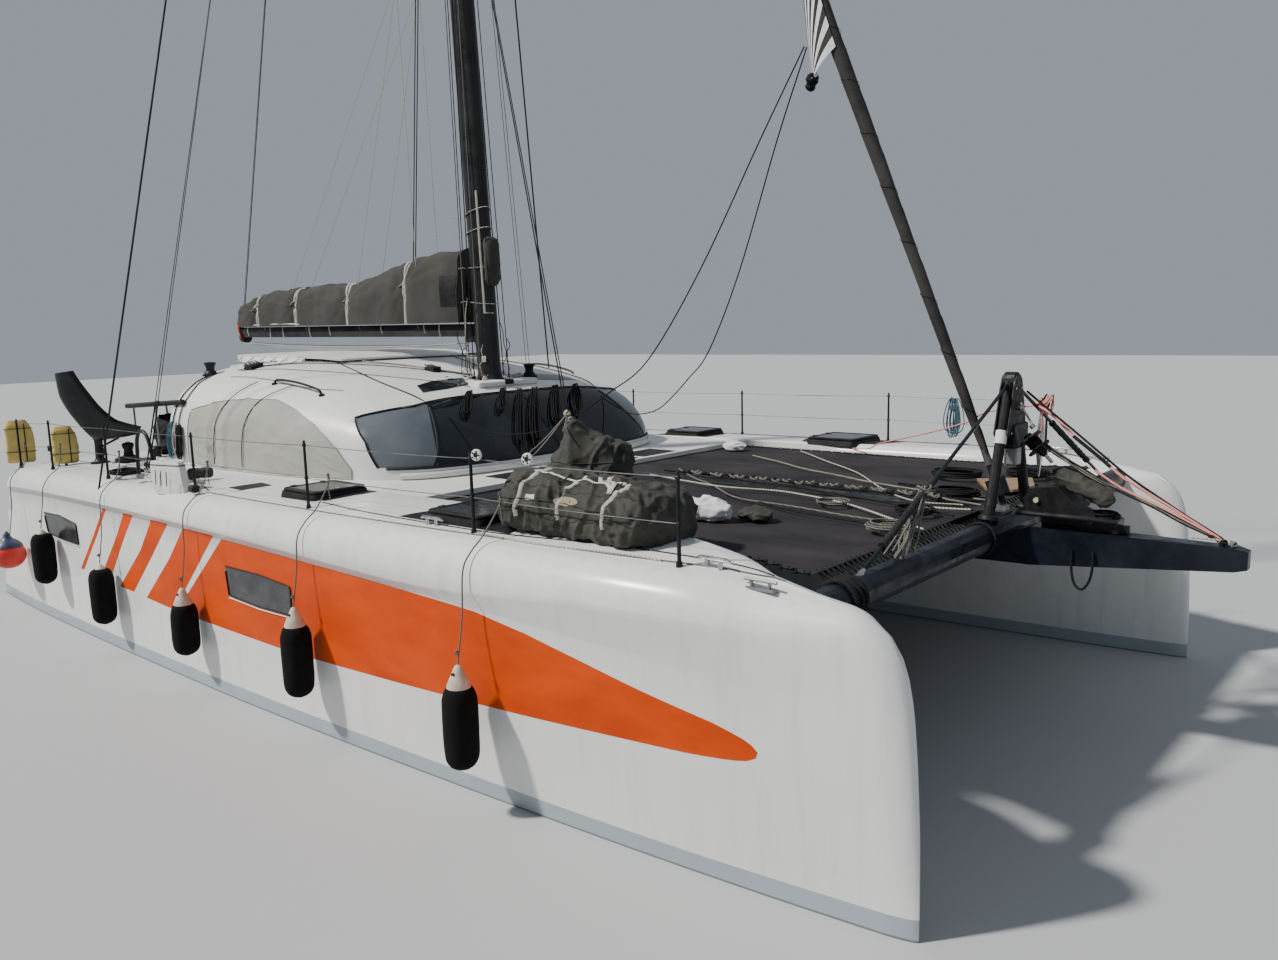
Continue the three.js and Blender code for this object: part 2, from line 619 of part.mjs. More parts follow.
// Stowed sail: x, height above the boom's top, half width
const STACK = [
  [-700, 870, 150], [-1100, 850, 220], [-1730, 785, 235], [-3010, 560, 230], [-4270, 540, 200], [-5450, 440, 160],
  [-6040, 330, 110],
];
function sailStack() {
  const rings = STACK.map(([x, tall, half]) => {
    const base = boomZ(x) + BOOM_H + SEAT;
    const ring = [];
    for (let i = 0; i < 12; i += 1) {
      const t = 2 * Math.PI * i / 12;
      ring.push(new THREE.Vector3(x, half * Math.sin(t), base + tall / 2 - (tall / 2) * Math.cos(t)));
    }
    return ring;
  });
  const slabAlong = (low, high, half) => solidOf(loft([STACK[0], STACK[STACK.length - 1]].map(([x]) => [
    [-half, low], [half, low], [half, high], [-half, high]].map(
    ([y, up]) => new THREE.Vector3(x, y, boomZ(x) + up)))));
  const foot = slabAlong(BOOM_H - 10, BOOM_H + 110, 60);
  return join(solidOf(loft(rings)), foot).subtract(slabAlong(-200, BOOM_H + SEAT, 400));
}
addSolid('mainsail_cover', sailStack(), 'cover');

// Height of the deck's outer edge, less a little for the rail's foot
function edgeZ(x) {
  return along(STATIONS, x, 7) - 12;
}

// Guard rails: posts joined by their two wires
const rails = {};
for (const { name, s } of SIDES) {
  const at = ([x, y], up) => [x, s * y, edgeZ(x) + up];
  const posts = POSTS.map((post) => solidOf(rod(at(post, -90), at(post, POST_H), POST_R, 8)));
  const wires = [];
  for (const up of WIRE_UP) {
    for (let i = 0; i + 1 < POSTS.length; i += 1) {
      wires.push(solidOf(rod(at(POSTS[i], up), at(POSTS[i + 1], up), WIRE_R, 6)));
    }
  }
  rails[name] = join(...posts, ...wires).subtract(hullCutter(name, s, 0, SEAT));
  addSolid(`guard_rail_${name}`, rails[name], 'black');
}

// Daggerboards, rudders with tillers, and drive legs with propellers
for (const { name, s } of SIDES) {
  const board = plateXY(foilOutline(BOARD_X, s * BOARD_Y, BOARD_CHORD, BOARD_T), BOARD_FOOT, BOARD_TOP);
  add(`daggerboard_${name}`, board, 'foil');

  const blade = solidOf(plateXY(foilOutline(RUDDER_X - 60, s * HULL_Y, 480, 70), -1250, -300));
  const stock = solidOf(rod([RUDDER_X, s * HULL_Y, -360], [RUDDER_X, s * HULL_Y, TILLER_Z - SEAT], STOCK_R, 16));
  const ring = [RUDDER_X, s * HULL_Y, BEARING_Z + SEAT];
  const collarRing = solidOf(rod(ring, [RUDDER_X, s * HULL_Y, BEARING_Z + 30], 70, 16));
  addSolid(`rudder_${name}`, join(blade, stock, collarRing), 'foil');

  const collar = solidOf(rod([RUDDER_X, s * HULL_Y, TILLER_Z], [RUDDER_X, s * HULL_Y, TILLER_Z + 70], 60, 16));
  const arm = solidOf(rod([RUDDER_X, s * HULL_Y, TILLER_Z + 35], [RUDDER_X + 620, s * HULL_Y, TILLER_Z + 60], 28, 10, 18));
  addSolid(`tiller_${name}`, join(collar, arm), 'carbon');

  const y = s * HULL_Y;
  const leg = join(
    solidOf(plateXY(foilOutline(DRIVE_X, y, 260, 80), PROP_Z, -300)),
    solidOf(rod([DRIVE_X - 170, y, PROP_Z], [DRIVE_X + 150, y, PROP_Z], 62, 16, 30)),
  ).subtract(hullCutter(name, s, 0, -SEAT));
  addSolid(`drive_leg_${name}`, leg, 'steel');

  const face = DRIVE_X - 170 - SEAT;
  const hub = solidOf(rod([face, y, PROP_Z], [face - 110, y, PROP_Z], 58, 16, 40));
  const blades = [0, 1, 2].map((k) => {
    const wing = box(-8, 8, -70, 70, 30, 225).rotateZ(0.6).rotateX(k * 2 * Math.PI / 3);
    return solidOf(wing.translate(face - 55, y, PROP_Z));
  });
  addSolid(`propeller_${name}`, join(hub, ...blades), 'steel');
}

// Hatch lids, hinged along their fore edges
for (const { name, s } of SIDES) {
  for (const hatch of HATCHES) {
    const half = hatch.size / 2;
    const z = hatchZ(hatch) + SEAT;
    const y = s * hatch.y;
    const lid = box(hatch.x - half, hatch.x + half, y - half, y + half, z, z + LID_T);
    add(`hatch_lid_${hatch.label}_${name}`, lid, 'glass');
  }
}

// Helm seats: a bucket on a pedestal, facing forward and inboard
const SEAT_PLACE = { x: -4450, y: 2950, turn: 62 };
const BUCKET = [
  [0, 0], [-230, 300], [-360, 560], [-390, 890], [-190, 920], [-60, 640], [190, 270], [520, 150], [490, 70], [260, 40],
];
const BUCKET_W = 215;
for (const { name, s } of SIDES) {
  const body = solidOf(plateXZ(BUCKET, -BUCKET_W, BUCKET_W));
  const wall = 28;
  const inside = [[0, 46], [-200, 320], [-325, 570], [-350, 960], [-100, 960], [-20, 700], [230, 330], [700, 230],
    [700, 112], [480, 112], [260, 78]];
  const hollow = solidOf(plateXZ(inside, -BUCKET_W + wall, BUCKET_W - wall));
  const post = solidOf(rod([120, 0, -280], [120, 0, 60], 45, 14));
  const turn = s < 0 ? SEAT_PLACE.turn : -SEAT_PLACE.turn;
  const seat = join(body.subtract(hollow), post.subtract(hollow)).rotate([0, 0, turn]);
  const placed = seat.translate([SEAT_PLACE.x, s * SEAT_PLACE.y, 2190]);
  addSolid(`helm_seat_${name}`, placed.subtract(hullCutter(name, s, 0, SEAT)), 'carbon');
}

// Anchor on the sprit's root
function anchor() {
  const shank = solidOf(box(6150, 6800, -14, 14, 1844, 1915));
  const fluke = solidOf(loft([
    [[6150, -14, 1846], [6150, 14, 1846], [6150, 14, 1880], [6150, -14, 1880]],
    [[6420, -60, 1846], [6420, 60, 1846], [6420, 60, 1864], [6420, -60, 1864]],
  ].map((ring) => ring.map((p) => new THREE.Vector3(...p)))));
  return join(shank, fluke);
}
addSolid('anchor', anchor().subtract(bowsprit().translate([0, 0, SEAT])), 'steel');

// Sail bags on the starboard deck and net
function lump(cx, cy, cz, lx, ly, lz, turn) {
  const ball = new THREE.SphereGeometry(1, 18, 12).scale(lx / 2, ly / 2, lz / 2);
  return solidOf(ball.rotateX(Math.PI / 2).rotateZ(turn).translate(cx, cy, cz));
}
function boxedLump(cx, cy, cz, lx, ly, lz, turn) {
  const ring = (k, z) => {
    const row = [];
    for (let i = 0; i < 16; i += 1) {
      const t = 2 * Math.PI * i / 16;
      const c = Math.cos(t);
      const q = Math.sin(t);
      const x = Math.sign(c) * Math.abs(c) ** 0.6 * k * lx / 2;
      const y = Math.sign(q) * Math.abs(q) ** 0.6 * k * ly / 2;
      row.push(new THREE.Vector3(x, y, z));
    }
    return row;
  };
  const share = [[0.86, -0.5], [1, -0.3], [0.98, 0.05], [0.8, 0.35], [0.5, 0.5]];
  const geometry = loft(share.map(([k, up]) => ring(k, up * lz)));
  return solidOf(geometry.rotateZ(turn).translate(cx, cy, cz));
}
const bagA = boxedLump(3980, -2850, 2240, 1480, 790, 430, 0.05).subtract(hullCutter('starboard', -1, 0, SEAT));
addSolid('sail_bag_large', bagA, 'cover');
const bagB = boxedLump(3170, -2120, 2325, 900, 600, 790, 0);
addSolid('sail_bag_small', bagB.subtract(bagA.translate([0, 1, 0])).subtract(
  solidOf(box(1900, 5700, -2500, 0, 1500, NET_Z + NET_T + SEAT))), 'cover');

// Fenders hung from the lower guard wire: x, height of the top and of the foot
const FENDERS = [[3390, 1150, 370], [1240, 1210, 420], [-810, 1060, 380], [-2750, 1040, 350], [-4400, 1240, 560]];
const FENDER_Y = -3705;
const FENDER_R = 138;
const railCut = rails.starboard.translate([0, -SEAT, 0]);
function lanyard(x, y, z) {
  const deck = edgeZ(x);
  const wireY = -along(POSTS, x + 60) - 9;
  const path = new THREE.CatmullRomCurve3([
    [x, y, z], [x + 15, -3655, z + 350], [x + 30, -3640, deck - 160], [x + 40, -3560, deck - 30],
    [x + 50, -3450, deck + 70], [x + 60, wireY, deck + 270], [x + 60, wireY, deck + 340],
  ].map((p) => new THREE.Vector3(...p)));
  const hexagon = new THREE.Shape();
  for (let i = 0; i < 6; i += 1) {
    const t = 2 * Math.PI * i / 6;
    hexagon[i ? 'lineTo' : 'moveTo'](6 * Math.cos(t), 6 * Math.sin(t));
  }
  hexagon.closePath();
  const rope = new THREE.ExtrudeGeometry(hexagon, { steps: 24, extrudePath: path, bevelEnabled: false });
  return solidOf(rope).subtract(railCut);
}
FENDERS.forEach(([x, top, foot], k) => {
  const r = FENDER_R;
  const tall = top - foot;
  const profile = [[0, 0], [45, 0], [60, 40], [r * 0.8, 70], [r, 140], [r, tall - 140], [r * 0.8, tall - 60],
    [45, tall - 20], [38, tall], [0, tall]].map(([a, b]) => new THREE.Vector2(a, b));
  const body = new THREE.LatheGeometry(profile, 18).rotateX(Math.PI / 2).translate(x, FENDER_Y, foot);
  addSolid(`fender_${k + 1}`, join(solidOf(body), lanyard(x, FENDER_Y, top - 20)), 'black');
});
const ball = lump(-5500, -3745, 800, 400, 400, 400, 0);
addSolid('fender_ball', join(ball, lanyard(-5500, -3745, 960)), 'red');

// Lifebuoy covers on short posts at the starboard quarter, their broad faces turned forward
const BUOYS = [
  { x: -5830, y: -3370, middle: 2180, wide: 340, tall: 560 },
  { x: -4790, y: -3205, middle: 2180, wide: 300, tall: 470 },
];
const BUOY_THICK = 130;
const BUOY_TURN = 1.26;
BUOYS.forEach(({ x, y, middle, wide, tall }, k) => {
  const cover = boxedLump(x, y, middle, wide, BUOY_THICK, tall, BUOY_TURN);
  const post = solidOf(rod([x, y, 1800], [x, y, middle - tall / 4], 18, 10));
  addSolid(`lifebuoy_cover_${k + 1}`, join(cover, post).subtract(hullCutter('starboard', -1, 0, SEAT)), 'yellow');
});

export default boat;
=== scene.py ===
# %% [markdown]
# # A sailing catamaran, afloat with its sails stowed
#
# The packed model is a fixed frame: its solids carry the size, the joints and the collision shapes.
# This lesson dresses it, one part of the boat after another. A CAD solid whose shape is already right
# only gets a finish. One whose real counterpart is soft, rounded or detailed is replaced by a piece of
# its own, made from the same numbers, so that both lie in the same place.

# %% Load the frame
import math
import random

import bmesh
import bpy
from mathutils import Matrix, Vector, noise
from mathutils.bvhtree import BVHTree
from mathutils.geometry import tessellate_polygon


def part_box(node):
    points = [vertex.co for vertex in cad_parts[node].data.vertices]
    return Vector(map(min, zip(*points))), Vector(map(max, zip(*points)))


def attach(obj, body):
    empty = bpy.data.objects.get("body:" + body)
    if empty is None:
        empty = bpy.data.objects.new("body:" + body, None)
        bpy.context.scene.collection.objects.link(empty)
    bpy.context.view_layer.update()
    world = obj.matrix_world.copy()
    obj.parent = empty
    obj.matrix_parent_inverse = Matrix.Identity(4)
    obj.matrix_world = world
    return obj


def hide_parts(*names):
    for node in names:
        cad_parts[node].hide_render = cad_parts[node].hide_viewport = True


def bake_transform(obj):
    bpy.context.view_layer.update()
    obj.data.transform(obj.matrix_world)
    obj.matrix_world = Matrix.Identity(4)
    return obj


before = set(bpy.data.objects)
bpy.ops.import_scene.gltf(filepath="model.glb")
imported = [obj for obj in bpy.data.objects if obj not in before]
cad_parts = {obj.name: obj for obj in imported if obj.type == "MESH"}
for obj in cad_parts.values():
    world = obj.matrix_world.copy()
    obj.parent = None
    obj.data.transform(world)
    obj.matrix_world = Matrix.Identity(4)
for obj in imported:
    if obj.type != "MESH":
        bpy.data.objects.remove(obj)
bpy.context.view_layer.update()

# %% [markdown]
# ## The camera
#
# A photograph can be undone: straight lines on the boat whose real places are known fix where the lens
# stood. The post height and the shape of the deck gave this place and this lens. A matrix says it without
# any aiming: its columns are the picture's right, its up, and the way back out of the picture.

# %% The camera, where the photographer stood
EYE = Vector((8.89, -8.06, 3.51))
YAW, PITCH, ROLL = (math.radians(a) for a in (130.82, -8.80, -1.39))
LENS = 28.53


def camera_axes():
    out = Vector((math.cos(YAW) * math.cos(PITCH), math.sin(YAW) * math.cos(PITCH), math.sin(PITCH)))
    level = Vector((math.sin(YAW), -math.cos(YAW), 0))
    right = math.cos(ROLL) * level + math.sin(ROLL) * level.cross(out)
    return right, right.cross(out), -out


camera = bpy.data.objects.new("camera", bpy.data.cameras.new("camera"))
camera.data.lens = LENS
camera.data.clip_end = 500
camera.matrix_world = Matrix([[*row, EYE[i]] for i, row in enumerate(zip(*camera_axes()))] + [[0, 0, 0, 1]])
bpy.context.scene.collection.objects.link(camera)
bpy.context.scene.camera = camera
print("camera at", tuple(round(v, 2) for v in camera.location))

# %% [markdown]
# ## Floor and light
#
# The boat floats, so the floor lies at the waterline and hides what is under water. One large warm
# lamp stands for the sun. The fenders' shadows on the hull gave its place, over the starboard quarter. The
# pale sky fills the rest. A sun lamp with a wide angle gives soft edges to its shadows.

# %% Floor, sky and lamps
def new_object(name, data):
    item = bpy.data.objects.new(name, data)
    bpy.context.scene.collection.objects.link(item)
    return item


def mesh_from(name, points, faces):
    data = bpy.data.meshes.new(name)
    data.from_pydata([tuple(p) for p in points], [], faces)
    data.validate()
    return new_object(name, data)


FLOOR_SIZE = 160
half = FLOOR_SIZE / 2
floor = mesh_from("floor", [(-half, -half, 0), (half, -half, 0), (half, half, 0), (-half, half, 0)],
                  [(0, 1, 2, 3)])
paper = bpy.data.materials.new("floor_paper")
paper.use_nodes = True
paper.node_tree.nodes["Principled BSDF"].inputs["Base Color"].default_value = (0.44, 0.45, 0.46, 1)
paper.node_tree.nodes["Principled BSDF"].inputs["Roughness"].default_value = 0.9
floor.data.materials.append(paper)

SUN_FROM = Vector((-4.3, -5.3, 7.1))
sun = new_object("sun", bpy.data.lights.new("sun", "SUN"))
sun.data.energy = 5.0
sun.data.angle = math.radians(4)
sun.data.color = (1.0, 0.965, 0.91)
sun.rotation_euler = SUN_FROM.to_track_quat("Z", "Y").to_euler()

sky = bpy.data.worlds.new("sky")
sky.use_nodes = True
sky.node_tree.nodes["Background"].inputs["Color"].default_value = (0.74, 0.82, 0.92, 1)
sky.node_tree.nodes["Background"].inputs["Strength"].default_value = 0.42
bpy.context.scene.world = sky

# %% [markdown]
# ## Finishes made of nodes
#
# Nothing on a boat has one flat colour: gelcoat goes chalky in patches, black paint is rubbed grey,
# canvas shows its weave. Image textures could hold that, but they need a picture and a layout of the
# surface. Noise in the object's own metres needs neither, and runs on over every edge. The small class
# below keeps each recipe to a few lines: a colour that wanders between two tones, a gloss that wanders
# too, and a bump on top.

# %% A short way to write node recipes
class Finish:
    def __init__(self, name, roughness=0.5, **inputs):
        self.material = bpy.data.materials.new(name)
        self.material.use_nodes = True
        self.tree = self.material.node_tree
        self.shader = self.tree.nodes["Principled BSDF"]
        self.place = self.node("ShaderNodeTexCoord").outputs["Object"]
        self.shader.inputs["Roughness"].default_value = roughness
        for key, value in inputs.items():
            self.shader.inputs[key.replace("_", " ")].default_value = value

    def node(self, kind, **settings):
        item = self.tree.nodes.new(kind)
        for key, value in settings.items():
            setattr(item, key, value)
        return item

    def link(self, source, target):
        self.tree.links.new(source, target)

    def stretched(self, scale, turn=(0, 0, 0)):
        item = self.node("ShaderNodeMapping")
        item.inputs["Scale"].default_value = scale
        item.inputs["Rotation"].default_value = turn
        self.link(self.place, item.inputs["Vector"])
        return item.outputs["Vector"]

    def noise(self, scale, detail=3, place=None, rough=0.55):
        item = self.node("ShaderNodeTexNoise")
        item.inputs["Scale"].default_value = scale
        item.inputs["Detail"].default_value = detail
        item.inputs["Roughness"].default_value = rough
        self.link(place or self.place, item.inputs["Vector"])
        return item.outputs["Fac"]

    def waves(self, scale, direction="X", place=None, distortion=0.0, profile="SIN"):
        item = self.node("ShaderNodeTexWave", bands_direction=direction, wave_profile=profile)
        item.inputs["Scale"].default_value = scale
        item.inputs["Distortion"].default_value = distortion
        self.link(place or self.place, item.inputs["Vector"])
        return item.outputs["Fac"]

    def span(self, factor, low, high, start=0.35, stop=0.65):
        item = self.node("ShaderNodeMapRange")
        for key, value in (("From Min", start), ("From Max", stop), ("To Min", low), ("To Max", high)):
            item.inputs[key].default_value = value
        self.link(factor, item.inputs["Value"])
        return item.outputs["Result"]

    def maths(self, operation, first, second):
        item = self.node("ShaderNodeMath", operation=operation)
        for slot, value in zip(item.inputs, (first, second)):
            if isinstance(value, (int, float)):
                slot.default_value = value
            else:
                self.link(value, slot)
        return item.outputs["Value"]

    def mix(self, factor, first, second):
        item = self.node("ShaderNodeMix", data_type="RGBA")
        self.link(factor, item.inputs["Factor"])
        for key, value in (("A", first), ("B", second)):
            slot = [s for s in item.inputs if s.name == key and s.type == "RGBA"][0]
            if isinstance(value, tuple):
                slot.default_value = (*value, 1)
            else:
                self.link(value, slot)
        return [s for s in item.outputs if s.type == "RGBA"][0]

    def height(self, axis):
        item = self.node("ShaderNodeSeparateXYZ")
        self.link(self.place, item.inputs["Vector"])
        return item.outputs[axis]

    def colour(self, source):
        self.link(source, self.shader.inputs["Base Color"])
        return self

    def gloss(self, source):
        self.link(source, self.shader.inputs["Roughness"])
        return self

    def bump(self, source, strength=0.3, depth=0.002):
        item = self.node("ShaderNodeBump")
        item.inputs["Strength"].default_value = strength
        item.inputs["Distance"].default_value = depth
        self.link(source, item.inputs["Height"])
        self.link(item.outputs["Normal"], self.shader.inputs["Normal"])
        return self


def mottled(name, first, second, scale, gloss=(0.4, 0.6), grain=200, strength=0.2, depth=0.001, **inputs):
    made = Finish(name, **inputs)
    cloud = made.noise(scale, 5)
    made.colour(made.mix(made.span(cloud, 0, 1), first, second))
    made.gloss(made.span(made.noise(scale * 3, 4), *gloss))
    return made.bump(made.noise(grain, 3), strength, depth)


print("helpers of a finish:", [name for name in vars(Finish) if not name.startswith("_")])

# %% [markdown]
# The hulls are glossy gelcoat. Rain has drawn faint grey runs down from the deck edge, so one noise is
# stretched long in z. Below the boot stripe comes the grey-green antifouling, which is matt: both bands
# are told apart by their height in the object's own frame, which stays true at any angle of view.

# %% Gelcoat, deck and orange film
gelcoat = Finish("hull_gelcoat", Coat_Weight=0.08, Coat_Roughness=0.2, Specular_IOR_Level=0.4)
runs = gelcoat.noise(1.0, 5, gelcoat.stretched((9, 9, 0.5)))
patches = gelcoat.noise(0.9, 4)
white = gelcoat.mix(gelcoat.span(patches, 0, 1), (0.80, 0.80, 0.785), (0.73, 0.735, 0.725))
white = gelcoat.mix(gelcoat.span(runs, 0, 0.42, 0.5, 0.75), white, (0.56, 0.565, 0.55))
boot = gelcoat.mix(gelcoat.noise(5, 4), (0.30, 0.36, 0.40), (0.40, 0.45, 0.48))
bottom = gelcoat.mix(gelcoat.noise(4, 6), (0.115, 0.145, 0.14), (0.20, 0.24, 0.22))
BOOT_FOOT, BOOT_TOP = (0.012, 0.018), (0.139, 0.144)  # the heights over which one paint turns into the next
low = gelcoat.span(gelcoat.height("Z"), 0, 1, *BOOT_FOOT)
high = gelcoat.span(gelcoat.height("Z"), 0, 1, *BOOT_TOP)
gelcoat.colour(gelcoat.mix(high, gelcoat.mix(low, bottom, boot), white))
gelcoat.gloss(gelcoat.mix(high, (0.6, 0.6, 0.6), gelcoat.mix(patches, (0.2, 0.2, 0.2), (0.34, 0.34, 0.34))))
gelcoat.bump(gelcoat.noise(2.5, 2), 0.08, 0.01)

deck_skin = Finish("deck_gelcoat", Coat_Weight=0.15, Coat_Roughness=0.3)
dust = deck_skin.noise(2.2, 6)
deck_skin.colour(deck_skin.mix(deck_skin.span(dust, 0, 1), (0.80, 0.80, 0.78), (0.68, 0.68, 0.66)))
deck_skin.gloss(deck_skin.span(dust, 0.34, 0.55))
deck_skin.bump(deck_skin.noise(320, 2), 0.35, 0.0012)

film = Finish("orange_film", Specular_IOR_Level=0.12)
bleached = film.noise(1.3, 4, film.stretched((1, 1, 2.5)))
film.colour(film.mix(film.span(bleached, 0, 1), (0.66, 0.072, 0.003), (0.52, 0.050, 0.002)))
film.gloss(film.span(film.noise(6, 4), 0.4, 0.55))
film.bump(film.noise(2.5, 2), 0.08, 0.01)
print("finishes so far", len(bpy.data.materials))

# %% [markdown]
# Glass seen from outside in daylight is mostly a dark mirror. A real pane would let light through twice
# and cost a lot of samples. Here the pane is a dark, nearly smooth skin that lets a little through, so
# that the cabin behind it is felt rather than seen.

# %% Dark glass and pale canvas
glass = mottled("tinted_glass", (0.006, 0.008, 0.012), (0.014, 0.018, 0.024), 1.1, (0.03, 0.07),
                3, 0.03, 0.004, Alpha=0.93, Specular_IOR_Level=0.4)
pane_grey = mottled("pale_grey_glass", (0.085, 0.10, 0.118), (0.13, 0.15, 0.17), 1.4, (0.12, 0.2), 3, 0.03, 0.004)
port_glass = mottled("portlight_glass", (0.016, 0.018, 0.02), (0.05, 0.052, 0.056), 6, (0.08, 0.2),
                     14, 0.25, 0.004)


def woven(name, first, second, thread=0.0022, scale=2.5, rough=(0.75, 0.92), strength=0.35,
          sheen=0.03, **inputs):
    made = Finish(name, Sheen_Weight=sheen, Sheen_Roughness=0.5, Specular_IOR_Level=0.2, **inputs)
    cloud = made.noise(scale, 5)
    turned = made.stretched((1, 1, 1), (0.6, 0.5, 0.78))
    pitch = 0.31 / thread
    weave = made.maths("MULTIPLY", made.waves(pitch / 2, "X", turned), made.waves(pitch / 2, "Y", turned))
    tone = made.maths("ADD", made.span(cloud, 0, 0.8), made.span(made.noise(60, 3), 0, 0.25))
    made.colour(made.mix(tone, first, second))
    made.gloss(made.span(cloud, *rough))
    return made.bump(made.maths("ADD", weave, made.noise(18, 4)), strength, 0.0012)


canvas = woven("window_canvas", (0.40, 0.40, 0.365), (0.33, 0.335, 0.305), 0.003, 1.6)
cover_cloth = woven("sail_cover_cloth", (0.034, 0.034, 0.031), (0.060, 0.059, 0.053), 0.003, 2.2)
bag_cloth = woven("sail_bag_cloth", (0.028, 0.029, 0.025), (0.062, 0.061, 0.053), 0.0025, 4.5,
                  (0.55, 0.8), 0.4)
webbing = woven("pale_webbing", (0.62, 0.60, 0.54), (0.45, 0.43, 0.38), 0.004, 9)
dark_webbing = woven("dark_webbing", (0.010, 0.010, 0.011), (0.028, 0.028, 0.029), 0.004, 9)
yellow_cloth = woven("yellow_cloth", (0.62, 0.47, 0.13), (0.50, 0.39, 0.14), 0.003, 9)
white_cloth = woven("white_sailcloth", (0.74, 0.75, 0.77), (0.60, 0.61, 0.64), 0.003, 7, (0.5, 0.7))
tan_cloth = woven("tan_patch", (0.30, 0.26, 0.18), (0.22, 0.19, 0.13), 0.003, 9)
fleece = woven("black_fleece", (0.0025, 0.003, 0.003), (0.006, 0.006, 0.006), 0.006, 5, (0.9, 1.0), 0.7, 0.0)
strut_cloth = woven("headsail_cover_cloth", (0.018, 0.018, 0.019), (0.050, 0.048, 0.044), 0.003, 3.5)
print("finishes so far", len(bpy.data.materials))

# %% [markdown]
# Black paint and carbon on deck gear are never one black: sun and salt leave them bluish or brown, and
# feet and ropes rub the upper edges grey. Ropes are twisted or braided, which fine slanting waves show.

# %% Black parts, metal, rubber and rope
beam_paint = mottled("beam_navy_paint", (0.003, 0.004, 0.009), (0.010, 0.014, 0.024), 3.0, (0.22, 0.5),
                     40, 0.15, 0.001, Specular_IOR_Level=0.3)
carbon = mottled("carbon_black", (0.006, 0.006, 0.007), (0.020, 0.020, 0.022), 2.5, (0.28, 0.5),
                 260, 0.15, 0.0006, Specular_IOR_Level=0.35)
black_plastic = mottled("black_plastic", (0.004, 0.004, 0.005), (0.014, 0.014, 0.015), 8, (0.4, 0.65),
                        300, 0.25, 0.0006, Specular_IOR_Level=0.3)
steel = mottled("polished_steel", (0.62, 0.62, 0.63), (0.42, 0.42, 0.43), 14, (0.18, 0.38), 150, 0.1,
                0.0004, Metallic=1)
grey_metal = mottled("weathered_alloy", (0.33, 0.34, 0.35), (0.22, 0.23, 0.24), 9, (0.4, 0.6), 150, 0.2,
                     0.0006, Metallic=0.8)
red_plastic = mottled("red_vinyl", (0.72, 0.035, 0.018), (0.52, 0.025, 0.015), 7, (0.35, 0.5),
                      120, 0.15, 0.001)
blue_plastic = mottled("blue_vinyl", (0.018, 0.028, 0.075), (0.035, 0.05, 0.11), 7, (0.35, 0.5),
                       120, 0.15, 0.001)
cream_plastic = mottled("cream_vinyl", (0.62, 0.56, 0.46), (0.48, 0.42, 0.33), 16, (0.4, 0.6),
                        120, 0.2, 0.001)
white_plastic = mottled("white_moulding", (0.78, 0.78, 0.76), (0.66, 0.66, 0.64), 3, (0.3, 0.5),
                        200, 0.15, 0.0006)


def wood_of(name, light, dark):
    made = Finish(name, Coat_Weight=0.2, Coat_Roughness=0.25)
    long = made.stretched((1.2, 14, 14))
    grain = made.noise(2.2, 6, long)
    made.colour(made.mix(made.span(grain, 0, 1), light, dark))
    made.gloss(made.span(grain, 0.35, 0.55))
    return made.bump(grain, 0.2, 0.001)


oak = wood_of("cabin_wood", (0.42, 0.27, 0.14), (0.26, 0.15, 0.07))
board_wood = wood_of("tan_board_wood", (0.36, 0.22, 0.10), (0.22, 0.13, 0.06))


def rope_of(name, first, second, fleck=None, twist=26):
    made = Finish(name, Specular_IOR_Level=0.2)
    slanted = made.stretched((1, 1, 1), (0.5, 0.6, 0.3))
    strands = made.waves(twist, "DIAGONAL", slanted, 1.2)
    # The strands are darker in the grooves between them and paler on their crowns: painted shade. The fleck
    # is the rope's own colour.
    shade = made.mix(made.span(strands, 0, 1, 0.2, 0.8), first, second)
    if fleck:
        shade = made.mix(made.span(made.waves(twist * 0.55, "X", slanted, 3), 0, 1, 0.8, 0.85), shade, fleck)
    made.colour(shade)
    made.gloss(made.span(made.noise(60, 3), 0.7, 0.9))
    return made.bump(strands, 0.6, 0.0012)


black_rope = rope_of("black_rope", (0.004, 0.004, 0.005), (0.018, 0.018, 0.020))
grey_rope = rope_of("grey_rope", (0.09, 0.09, 0.08), (0.20, 0.195, 0.17))
pale_rope = rope_of("pale_rope", (0.44, 0.41, 0.33), (0.62, 0.59, 0.50), (0.16, 0.16, 0.15))
pink_rope = rope_of("faded_red_rope", (0.62, 0.20, 0.17), (0.74, 0.36, 0.30))
blue_rope = rope_of("blue_grey_rope", (0.030, 0.075, 0.105), (0.085, 0.170, 0.215))
green_rope = rope_of("green_grey_rope", (0.17, 0.18, 0.12), (0.33, 0.33, 0.24))
wire_finish = mottled("rigging_wire", (0.045, 0.047, 0.052), (0.12, 0.12, 0.13), 6, (0.35, 0.55),
                      200, 0.3, 0.0005)
print("finishes", len(bpy.data.materials))

# %% [markdown]
# ## Tools that make shapes
#
# Blender's own cubes and cylinders would need moving and joining hundreds of times. Plain lists of
# points and faces are simpler to repeat, mirror and bend. A Shape gathers lofts, tubes and slabs, and
# becomes one object when it is finished. Every piece is written in the boat's own metres, so nothing
# has to be placed afterwards.

# %% A shape is a growing list of points and faces
def face_outwards(data):
    """Booleans need every face to know which side is out."""
    work = bmesh.new()
    work.from_mesh(data)
    bmesh.ops.recalc_face_normals(work, faces=work.faces)
    if work.calc_volume(signed=True) < 0:
        bmesh.ops.reverse_faces(work, faces=work.faces)
    work.to_mesh(data)
    work.free()


